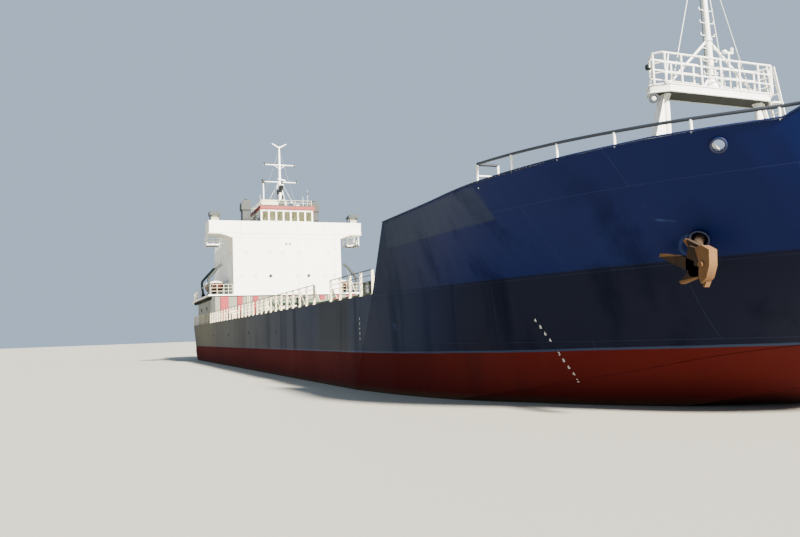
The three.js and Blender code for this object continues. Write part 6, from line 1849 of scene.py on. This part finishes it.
def makeBridgeDeck():
    half = np.array(wingSection, float)
    section = np.vstack([half, half[-1:0:-1] * [-1, 1]])
    chunks = [plate(section, bridge.wingAftX, bridge.foreX, 0),
              boxes([bridge.aftX, -5.67, 12.458], [-27.19, 5.67, 12.9], 0, .02)]
    spots = np.arange(-5.0, 5.1, 1.25)
    chunks += [boxes(points(-30.49, spots - .03, 12.55), points(-30.4, spots + .03, 12.87))]
    nosing = [[bridge.foreX, -8.0, 12.87], [bridge.foreX, 8.0, 12.87]]
    chunks += [pipe(nosing, .02, 6)]
    buildPiece("bridge_wings", chunks, "whiteWalls", "bridge_deck")
    low, high, t = 12.904, house.bulwarkZ - .02, bridge.thick
    x, aft, y, inner = bridge.foreX, bridge.wingAftX, 8.06, bridge.innerY
    plates = [boxes([x - t, -y, low], [x, y, high], 0, .01)]
    path = np.array([[aft + t / 2, inner, high], [aft + t / 2, y - t / 2, high],
                     [x - t / 2, y - t / 2, high], [x - t / 2, 0, high]])
    ribs = np.arange(.6, 7.9, .72)
    plates += bothSides([boxes([[aft, y - t, low], [aft, inner, low]], [[x, y, high], [aft + t, y, high]], 0,
                               .01), railBars(path, [0.0], .035, 0, 8), ball(path[1], [.035] * 3, 8, 6),
                         ball(path[2], [.035] * 3, 8, 6), boxes(points(x - t - .1, ribs - .02, low),
                                                                points(x - t, ribs + .02, high - .15)),
                         rods([x - t - .05, 0, low + .8], [x - t - .05, y - t, low + .8], .02, 6, 1)])
    buildPiece("bridge_breastwork", plates, "whiteWalls creamPaint", "bridge_bulwark")


def makeSideLights():
    # Under each wing tip: a grating with a dark edge, close rails and a lamp in its screen
    x0, x1, y0, y1, z = (sideLight[key] for key in ("aftX", "foreX", "innerY", "outerY", "z"))

    def port():
        boards = np.arange(y0, y1 - .05, .11)
        made = [boxes([[x0, y, z - .09] for y in boards], [[x1, y + .05, z] for y in boards], 1, .008),
                boxes([[x1 - .05, y0, z - .1], [x0, y0, z - .1], [x0, y0, z - .1], [x0, y1 - .05, z - .1]],
                      [[x1, y1, z + .06], [x0 + .05, y1, z + .06], [x1, y0 + .05, z + .06],
                       [x1, y1, z + .06]], 0)]
        path = np.array([[x1 - .035, y0 + .035, z], [x1 - .035, y1 - .035, z], [x0 + .035, y1 - .035, z],
                         [x0 + .035, y0 + .035, z]])
        made += [railBars(path, [.3, .6], .042, 0, 8), rods(path, path + [0, 0, .99], .045, 8)]
        middle = (path[:-1] + path[1:]) / 2
        made += [rods(middle, middle + [0, 0, .6], .038, 8),
                 boxes([x0 + .08, y1 - .24, z], [x0 + .2, y1 - .02, z + .45], 1, .02),
                 lathe([[-.14, .02], [-.13, .1], [.1, .1], [.13, .02]], (x0 + .3, y1 - .15, z + .2), 16, 2)]
        return made
    buildPiece("side_lights", bothSides(port()), "whitePaint greyPaint lampGlass")


def panesAt(spots, half, face, axis, facing):
    # Windows of one wall, across an axis: a pane set back in each opening, a frame of four strips and a sill
    low, high, made = bridge.sillZ, bridge.headZ, []

    def strip(u, v, z0, z1, deep, proud, material, chamfer=.012):
        lows, highs = [face + facing * deep, u, z0], [face + facing * proud, v, z1]
        if axis == 1:
            lows[:2], highs[:2] = lows[1::-1], highs[1::-1]
        made.append(boxes(lows, highs, material, chamfer))
    for u in spots:
        a, b = u - half, u + half
        strip(a - .01, b + .01, low - .01, high + .01, -.07, -.05, 1, .002)
        for u0, u1, z0, z1 in ((a - .045, a + .02, low, high), (b - .02, b + .045, low, high),
                               (a - .045, b + .045, high - .02, high + .045),
                               (a - .045, b + .045, low - .045, low + .02)):
            strip(u0, u1, z0, z1, -.08, .018, 0)
    return made


def makeWheelhouse():
    x, aft, half = bridge.wallForeX, bridge.wallAftX, bridge.half
    pitch = 2 * (half - .08) / 7
    fronts = -half + .08 + pitch * (np.arange(7) + .5)
    chunks = panesAt(fronts, pitch / 2 - .06, x, 0, 1) + panesAt([-1.5, 0, 1.5], .5, aft, 0, -1)
    for sign in (-1, 1):
        chunks += panesAt([x - .5, -27.15, -28.25, -29.35], .38, sign * half, 1, sign)
    # Wipers, a rain gutter above the windows, a rail below them, a clear-view screen and desks inside
    for y in fronts[::2]:
        chunks += [rods([[x + .03, y + .1, 15.2], [x + .035, y - .02, 14.95]],
                        [[x + .035, y - .14, 14.5], [x + .035, y - .2, 14.4]], .012, 6, 2)]
    chunks += [hoop((x - .03, fronts[3], 14.75), (1, 0, 0), .24, .02, 28, 6, 2),
               pipe([[x + .03, -half, 15.35], [x + .03, half, 15.35]], .025, 6, 0),
               rods([x + .06, -half + .1, 14.05], [x + .06, half - .1, 14.05], .015, 6, 3)]
    chunks += bothSides([rods([aft, half + .03, 15.35], [x, half + .03, 15.35], .025, 6),
                         rods([-29.7, half + .06, 14.0], [-26.9, half + .06, 14.0], .015, 6, 3)])
    chunks += [boxes([-25.6, -1.8, 13.0], [-25.0, 1.8, 14.05], 4, .06),
               boxes([-25.5, -1.6, 14.05], [-25.2, -.3, 14.3], 4, .05),
               boxes([-29.9, -2.5, 13.0], [-29.2, -.8, 14.1], 4, .04),
               boxes([-27.6, -.3, 13.0], [-27.0, .3, 13.6], 2, .08),
               boxes([-27.7, -.3, 13.5], [-27.5, .3, 14.3], 2, .08)]
    buildPiece("wheelhouse_windows", chunks, "whitePaint windowGlass blackRubber creamPaint greyPaint")
    nodes["wheelhouse"].material_slots[0].material = finishes["whiteWalls"]
    for name, sign in sides:
        face = sign * half
        door = [boxes([-26.4, face - sign * .055, 13.05], [-25.6, face - sign * .004, 15.0], 0, .03),
                boxes([-26.22, face - sign * .06, 14.05], [-25.78, face + sign * .004, 14.8], 1, .05),
                boxes([-26.3, face - sign * .01, 13.98], [-26.22, face + sign * .04, 14.06], 2, .01),
                hoop((-26.2, face + sign * .035, 13.9), (0, 1, 0), .05, .012, 16, 6, 2)]
        knuckle = np.array([[-25.555, face + sign * .033, 13.05 + 1.95 * part] for part in (.25, .75)])
        door += [rods(knuckle - [0, 0, .12], knuckle + [0, 0, .12], .03, 12, 2),
                 boxes([[-25.72, face - sign * .01, z - .06] for z in knuckle[:, 2]],
                       [[-25.56, face + sign * .03, z + .06] for z in knuckle[:, 2]], 2)]
        buildPiece(f"bridge_door_leaf_{name}", door, "whitePaint windowGlass greyPaint",
                   f"bridge_door_{name}", body=f"bridge_door_{name}")


def searchlight(x, y, z, radius, glass, shell):
    # A lamp looking forward: a domed shell turned round its axis, a rim and a glass, on a forked stand
    profile = [[-1.3, .02], [-1.2, .5], [-.7, .9], [.1, 1.0], [.2, 1.06], [.28, 1.06], [.3, .9], [.22, 0.0]]
    lens = [[.2, .92], [.3, .6], [.33, 0.0]]
    return [lathe(np.array(profile) * radius, (x, y, z), 20, shell, (1, 0, -.1)),
            lathe(np.array(lens) * radius, (x, y, z), 20, glass, (1, 0, -.1)),
            pipe([[x - radius * .4, y - radius * 1.2, z], [x - radius * .4, y - radius * 1.2,
                                                           z - radius * 1.3],
                  [x - radius * .4, y + radius * 1.2, z - radius * 1.3],
                  [x - radius * .4, y + radius * 1.2, z]], radius * .14, 5, shell)]


def makeRoof():
    x, aft, half, eave, top = (bridge[key] for key in ("wallForeX", "wallAftX", "half", "eaveZ", "roofZ"))
    chunks = [boxes([aft - .12, -half - .12, eave + .004], [x + .12, half + .12, eave + .08], 0, .02),
              boxes([aft - .04, -half - .04, eave + .06], [x + .04, half + .04, top - .06], 0, .03),
              boxes([aft - .03, -half - .03, top - .07], [x + .03, half + .03, top], 1, .03)]
    bands = [[[aft - .04, -half - .04, z], [x + .04, -half - .04, z], [x + .04, half + .04, z]]
             for z in (15.56, 15.8)]
    chunks += [railBars(band, [0.0], .014, 0, 6) for band in bands]
    # Pole with a lamp to starboard, searchlights, a horn, a small mushroom vent, lockers and whip aerials
    chunks += [rods([-27.2, -1.88, top - .1], [-27.2, -1.88, 18.75], .07, 12, 2, .055),
               lathe([[0, .17], [.03, .2], [.04, .13], [.18, .13], [.2, .2], [.32, .19], [.42, .03]],
                     (-27.2, -1.88, 18.74), 16, 3), boxes([-27.34, -2.06, 18.74], [-27.06, -1.7, 18.82], 3,
                                                          .02)]
    chunks += searchlight(-25.0, .62, top + .42, .17, 4, 3) + searchlight(-25.0, -2.1, top + .36, .13, 4, 2)
    chunks += [rods([[-25.06, .62, top], [-25.06, -2.1, top]],
                    [[-25.06, .62, top + .22], [-25.06, -2.1, top + .2]], .04, 8, 3),
               lathe([[0, .12], [.2, .1], [.22, .2], [.3, .2], [.38, .04]], (-26.0, 1.5, top), 16, 2),
               lathe([[0, .03], [.1, .04], [.34, .12], [.36, 0.0]], (-25.4, -.9, top + .3), 16, 2,
                     (1, 0, 0)), boxes([-25.5, -1.0, top], [-25.3, -.8, top + .25], 2, .02),
               boxes([-29.4, -1.0, top], [-28.7, .2, top + .5], 2, .04)]
    for px, py, z, rise in ((-25.6, -2.55, .3, 17.15), (-25.6, 2.0, .3, 17.1), (-25.6, 2.52, .3, 17.8)):
        chunks += [rods([px, py, top], [px, py, top + z], .03, 8, 3),
                   rods([px, py, top + z], [px, py, rise], .014, 6, 2, .008)]
    chunks += [boxes([-25.66, 2.46, 17.3], [-25.54, 2.58, 17.55], 3, .02)]
    buildPiece("wheelhouse_top", chunks, "orangeRed deckPaint whitePaint greyPaint lampGlass",
               "wheelhouse_roof")
    inset = half - .1
    path = [[aft + .1, inset, top], [aft + .1, -inset, top], [x - .1, -inset, top], [x - .1, inset, top],
            [aft + .1, inset, top]]
    rails = railing(path, [.28, .55], .95, .018, .022)
    # A canvas dodger laced to the starboard half of the front rail, sagging a little between its lacings
    ys, zs = np.linspace(-2.6, -1.0, 43), np.linspace(top + .04, top + .53, 9)
    sag = .02 * np.sin(np.linspace(0, 6 * math.pi, 43))[:,
                                                        None] ** 2 * np.sin(np.linspace(0, math.pi, 9))[None]
    face = np.stack([x - .07 - sag, np.broadcast_to(ys[:, None], sag.shape),
                     np.broadcast_to(zs[None], sag.shape)], -1)
    rails += [skin(np.concatenate([face, (face - [.008, 0, 0])[:, ::-1]], 1), True, 1)]
    buildPiece("roof_guard_rail", rails, "creamPaint canvas", "roof_rail")


makeBridgeDeck()
makeSideLights()
makeWheelhouse()
makeRoof()
print("bridge done")


# Radar mast, its scanners on their own bodies, the exhaust casings, the wing shelters
mast = Sizes({"x": -27.6, "top": 23.2, "yards": [(20.83, 1.75), (18.95, 1.95)]})
scanners = Sizes({"upper": {"z": 18.95, "reach": .95, "span": .65, "turn": 41.0},
                  "lower": {"z": 17.2, "reach": 1.3, "span": .95, "turn": 77.0}})


def makeRadarMast():
    x, top, roof = mast.x, mast.top, bridge.roofZ
    heights = np.array([roof + .006, roof + .06, roof + .07, 17.9, 17.92, 17.98, 18.0, 20.7, 20.72, 20.78,
                        20.8, 22.6, top - .25])
    radii = [.3, .3, .19, .16, .19, .19, .15, .11, .14, .14, .11, .075, .06]
    chunks = [lathe(np.stack([heights, radii], 1), (x, 0, 0), 24),
              lathe([[0, .02], [.02, .075], [.16, .075], [.22, .05], [.24, 0]], (x, 0, top - .3), 16, 1)]
    angles = np.arange(8) * math.pi / 4
    foot = points(x + .25 * np.cos(angles), .25 * np.sin(angles), roof + .06)
    chunks += [rods(foot, foot + [0, 0, .03], .025, 6)]
    rungs = np.arange(roof + .3, 20.6, .3)
    chunks += bothSides([pipe([[x, .04, top - .45], [x, .3, top - .3], [x, .78, top - .02]],
                              [.045, .075, .045], 8), rods([x - 1.0, .9, roof + .03], [x, .05, 19.1], .05,
                                                           8), rods([x - .22, .14, roof + .2],
                                                                    [x - .18, .14, 20.7], .016, 6),
                         rods([[x, .12, 19.0]], [[x + .2, 1.75, roof]], .014, 5),
                         rods([x, .6, 20.8], [x, .1, 20.45], .03, 6),
                         rods([x, .05, 22.3], [x - .9, 2.0, roof + .55], .009, 5, 2)])
    chunks += [rods([x + .2, .15, 18.4], [x + .9, .5, roof], .02, 6),
               boxes([x - .1, -.32, roof + .1], [x + .05, -.17, 18.1], 3, .02)]
    chunks += [rods(points(x - .2, -.14, rungs), points(x - .2, .14, rungs), .012, 6)]
    for z, half in mast.yards:
        chunks += [pipe([[x, y, z] for y in (-half, -half * .5, 0, half * .5, half)],
                        [.04, .055, .06, .055, .04], 8)]
        for y in (-half + .1, half - .1):
            rise = 0.0 if z > 20 and y > 0 else .1
            chunks += [lathe([[-.14, .03], [-.13, .09], [-.02, .09], [0.0, .06], [.02, .09], [.13, .09],
                              [.15, .03]], (x, y, z + rise), 14, 1),
                       rods([x, y, z - .1], [x, y, z + .1], .02, 6, 1)]
    for level, scanner in scanners.items():
        gusset = 3 if level == "upper" else 0
        low = scanner["z"] - .55
        reach = x + scanner["reach"]
        plates = np.arange(x + .1, reach + .16, .075)
        chunks += [boxes([[x, -.2, low], [x, .16, low], [reach + .18, -.2, low]],
                         [[reach + .22, -.16, low + .1], [reach + .22, .2, low + .1],
                          [reach + .22, .2, low + .1]], 0), boxes(points(plates, -.17, low + .06),
                                                                  points(plates + .03, .17, low + .085), 1,
                                                                  .004), lathe([[.02, .14], [.12, .14],
                                                                                [.16, .1], [.36, .1],
                                                                                [.4, .13], [.45, .13]],
                                                                               (reach, 0, low), 20, 1),
                   skin(np.array([[[x + .1, y, low], [reach + .1, y, low], [x + .1, y, low - .6]]
                                  for y in (-.17, .17)]), True, gusset, False)]
    buildPiece("mast_dressed", chunks, "whitePaint greyPaint wireRope darkBar", "radar_mast")
    for level, scanner in scanners.items():
        span, turn = scanner["span"], math.radians(scanner["turn"])
        section = np.array([[-.04, 0], [.045, 0.0], [.058, .02], [.05, .125], [.035, .14], [-.035, .14],
                            [-.055, .12], [-.058, .02]])
        rows = np.linspace(-span, span, 9)
        taper = np.where(np.abs(rows) == span, .8, 1.0)[:, None, None]
        middle = section.mean(0)
        flat = middle + (section[None] - middle) * taper
        grid = np.stack([flat[..., 0], np.broadcast_to(rows[:, None], flat.shape[:2]), flat[..., 1]], -1)
        beam = [skin(grid, True, 0), lathe([[-.095, .085], [0.0, .085], [.02, .05], [.06, .05], [.075, 0.0]],
                                           (0, 0, 0), 20, 1), boxes([-.05, -.2, -.02], [.05, .2, .02], 1,
                                                                    .01)]
        spin = [[math.cos(turn), -math.sin(turn), 0], [math.sin(turn), math.cos(turn), 0], [0, 0, 1]]
        place = (mast.x + scanner["reach"], 0, scanner["z"])
        buildPiece(f"scanner_{level}", [placed(chunk, place, spin) for chunk in beam],
                   "whitePaint greyPaint", f"radar_scanner_{level}", body=f"radar_{level}")


def makeFunnels():
    x0, x1, y0, y1 = -28.4, -27.2, 3.2, 4.24
    slats = np.arange(13.5, 14.9, .11)
    cap = [[y0, 15.81], [y1, 15.81], [y1, 16.5], [y1 - .25, 16.84], [y0, 16.84]]

    def port():
        made = [boxes([x0 + .1, y0 + .1, 12.906], [x1 - .1, y1 - .1, 15.9], 0, .03), plate(cap, x0, x1, 0),
                boxes([x0 + .05, y0 + .05, 12.906], [x1 - .05, y1 - .05, 12.98], 0),
                boxes([x0 + .04, y0 + .04, 15.72], [x1 - .04, y1 - .04, 15.82], 0)]
        for face in (x1 - .1, x0 + .1):
            proud = .03 if face > -27.5 else -.03
            made += [boxes(points(face, y0 + .2, slats), points(face + proud, y1 - .2, slats + .05), 0,
                           .008)]
        made += [boxes(points(x0 + .2, y1 - .1, slats), points(x1 - .2, y1 - .07, slats + .05), 0, .008)]
        for dx in (-.28, .28):
            made += [lathe([[0, .16], [.14, .16], [.14, .13], [-.05, .13], [-.06, 0.0]],
                           (-27.8 + dx, 3.72, 16.83), 20, 1), hoop((-27.8 + dx, 3.72, 16.9), (0, 0, 1), .16,
                                                                   .014, 20, 6, 0)]
        return made
    buildSides("exhaust_casing", port(), "greyPaint blackRubber", "funnel")
    vent = [boxes([-27.19, 2.95, 15.65], [-26.8, 3.62, 16.28], 0, .06),
            boxes([-27.17, 3.0, 15.1], [-26.85, 3.55, 15.67], 1, .04),
            boxes([-27.12, 3.2, 12.91], [-26.98, 3.34, 15.12], 1, .02)]
    buildPiece("bridge_vent", vent, "orangeRed boatRed")


def makeShelters():
    # Control shelters at the wing tips: bent lids on bars, weather cloths below them and a small pedestal
    x, z = -25.3, 14.72
    for name, sign in sides:
        lid = np.array([[6.78, 14.8], [6.8, 14.74], [7.86, 14.74], [7.88, 14.8], [7.86, 15.12], [7.0, 15.13],
                        [6.8, 14.9 if sign > 0 else 15.1]])
        made = [plate(lid[::-1], x - .58, x + .58, 0)]
        posts = np.array([[x + dx, 7.33 + dy, 12.906] for dx in (-.5, .5) for dy in (-.4, .4)])
        made += [rods(posts, posts * [1, 1, 0] + [0, 0, 14.8], .036, 10),
                 railBars([posts[0], posts[1], posts[3], posts[2], posts[0]], [.95, 1.5], .02, 0, 6),
                 lathe([[0, .14], [.03, .14], [.05, .07], [.85, .06], [.9, .2], [1.0, .2], [1.04, 0.0]],
                       (x, 7.3, 12.906), 20, 1), boxes([x + .46, 6.95, 14.2], [x + .5, 7.7, 14.5], 2, .01),
                 boxes([x - .4, 7.0, z - .06], [x + .4, 7.6, z + .03], 1, .02)]
        turned = made if sign > 0 else [mirrored(chunk) for chunk in made]
        buildPiece(f"wing_control_{name}", turned, "greyPaint whitePaint canvas",
                   f"wing_shelter_{name}")


# Propeller: blades whose pitch angle eases from root to tip as the pitch over the way round; and the rudder
screw = Sizes({"x": -40.35, "z": -.3, "radius": 1.05, "root": .2, "pitch": 1.5, "chord": .64, "thick": .09})
rudder = Sizes({"x": -42.4, "low": -1.3, "high": .98, "fore": .55, "aft": -1.35, "half": .16})


def makePropeller():
    r = np.linspace(screw.root, screw.radius - .03, 22)
    s = (r - screw.root) / (screw.radius - screw.root)
    chord = screw.chord * np.sqrt(np.clip(1.04 - (1.55 * s - .62) ** 2, .05, 1)) * (1 - .55 * s ** 8)
    angle = np.arctan(screw.pitch / (2 * math.pi * r))
    u = np.concatenate([np.linspace(-.5, .5, 15), np.linspace(.5, -.5, 15)[1:-1]])
    upper = np.concatenate([np.ones(15), -np.ones(13)])
    thick = screw.thick * (1 - .8 * s)[:, None] * (np.clip(1 - (2 * u[None]) ** 2, 0.0, 1) * upper[None]
                                                   * .5 + .12 * upper)
    along = u[None] * chord[:, None] + .1 * s[:, None] ** 2
    x = -along * np.sin(angle)[:, None] + thick * np.cos(angle)[:, None]
    y = along * np.cos(angle)[:, None] + thick * np.sin(angle)[:, None]
    wrap = y / r[:, None]
    blade = np.stack([x, r[:, None] * np.sin(wrap), r[:, None] * np.cos(wrap)], -1)
    chunks = [lathe([[.443, .26], [.3, .265], [-.15, .25], [-.3, .19], [-.4, .11], [-.45, 0.0]],
                    (screw.x, 0, screw.z), 32, 0, (1, 0, 0))]
    for k in range(4):
        a = k * math.pi / 2
        turn = [[1, 0, 0], [0, math.cos(a), -math.sin(a)], [0, math.sin(a), math.cos(a)]]
        chunks += [placed(skin(blade), (screw.x, 0, screw.z), turn)]
    buildPiece("bronze_propeller", chunks, "bronze", "propeller", body="propeller")
    # The rudder's section is a thin foil: half thickness 2.6 s^0.5 (1 - s), s from the leading edge
    s = np.linspace(0, 1, 19) ** 1.4
    half = rudder.half * np.clip(2.6 * np.sqrt(s) * (1 - s) * (1 - .25 * s), .02, 1)
    xs = rudder.fore + s * (rudder.aft - rudder.fore)
    outline = np.vstack([np.stack([xs, half], 1), np.stack([xs, -half], 1)[-2:0:-1]]) + [rudder.x, 0]
    zs = np.linspace(rudder.low, rudder.high, 25)
    sunk = 1 - .05 * np.sin(math.pi * np.linspace(0, 5, 25)) ** 2
    grid = np.stack([np.broadcast_to(outline[:, 0], (25, len(outline))), outline[None, :, 1] * sunk[:, None],
                     np.broadcast_to(zs[:, None], (25, len(outline)))], -1)
    x = rudder.x
    chunks = [skin(grid), rods([x, 0, .9], [x, 0, 1.146], .14, 20),
              boxes([[x - .9, y - .02, z] for y in (-.13, .13) for z in (-.9, -.1)],
                    [[x - .6, y + .02, z + .12] for y in (-.13, .13) for z in (-.9, -.1)], 1, .01)]
    buildPiece("rudder_blade", chunks, "bottomRed wireRope", "rudder", body="rudder")


makeRadarMast()
makeFunnels()
makeShelters()
makePropeller()
print("mast, casings and stern gear done")


# Stage: a pale floor at the waterline, a bright soft sun from ahead and a wide sky
stage = Sizes({"floorSize": 60.0, "floorColour": (146, 143, 132), "floorRoughness": .7,
               "skyColour": (176, 198, 222), "skyStrength": 1.05, "sunTurn": -16.0, "sunHeight": 36.0,
               "sunStrength": 30.0, "sunWidth": 6.0, "sunColour": (1.0, .95, .86)})


def makeStage(its):
    half = its.floorSize
    mesh = bpy.data.meshes.new("paleFloor")
    mesh.from_pydata([(-half, -half, 0), (half, -half, 0), (half, half, 0), (-half, half, 0)], [],
                     [(0, 1, 2, 3)])
    floor = bpy.data.objects.new("paleFloor", mesh)
    bpy.context.scene.collection.objects.link(floor)
    made = bpy.data.materials.new("paleFloor")
    made.use_nodes = True
    shader = made.node_tree.nodes["Principled BSDF"]
    shader.inputs["Base Color"].default_value = tint(*its.floorColour)
    shader.inputs["Roughness"].default_value = its.floorRoughness
    mesh.materials.append(made)
    world = bpy.data.worlds.new("softSky")
    world.use_nodes = True
    background = world.node_tree.nodes["Background"]
    background.inputs["Color"].default_value = tint(*its.skyColour)
    background.inputs["Strength"].default_value = its.skyStrength
    bpy.context.scene.world = world
    light = bpy.data.lights.new("keyLight", "SUN")
    light.energy, light.angle = its.sunStrength, math.radians(its.sunWidth)
    light.color = its.sunColour
    key = bpy.data.objects.new("keyLight", light)
    turn, height = math.radians(-its.sunTurn), math.radians(its.sunHeight)
    direction = Vector((math.cos(turn) * math.cos(height), math.sin(turn) * math.cos(height),
                        math.sin(height)))
    key.rotation_euler = direction.to_track_quat("Z", "Y").to_euler()
    bpy.context.scene.collection.objects.link(key)


makeStage(stage)
print("stage done")
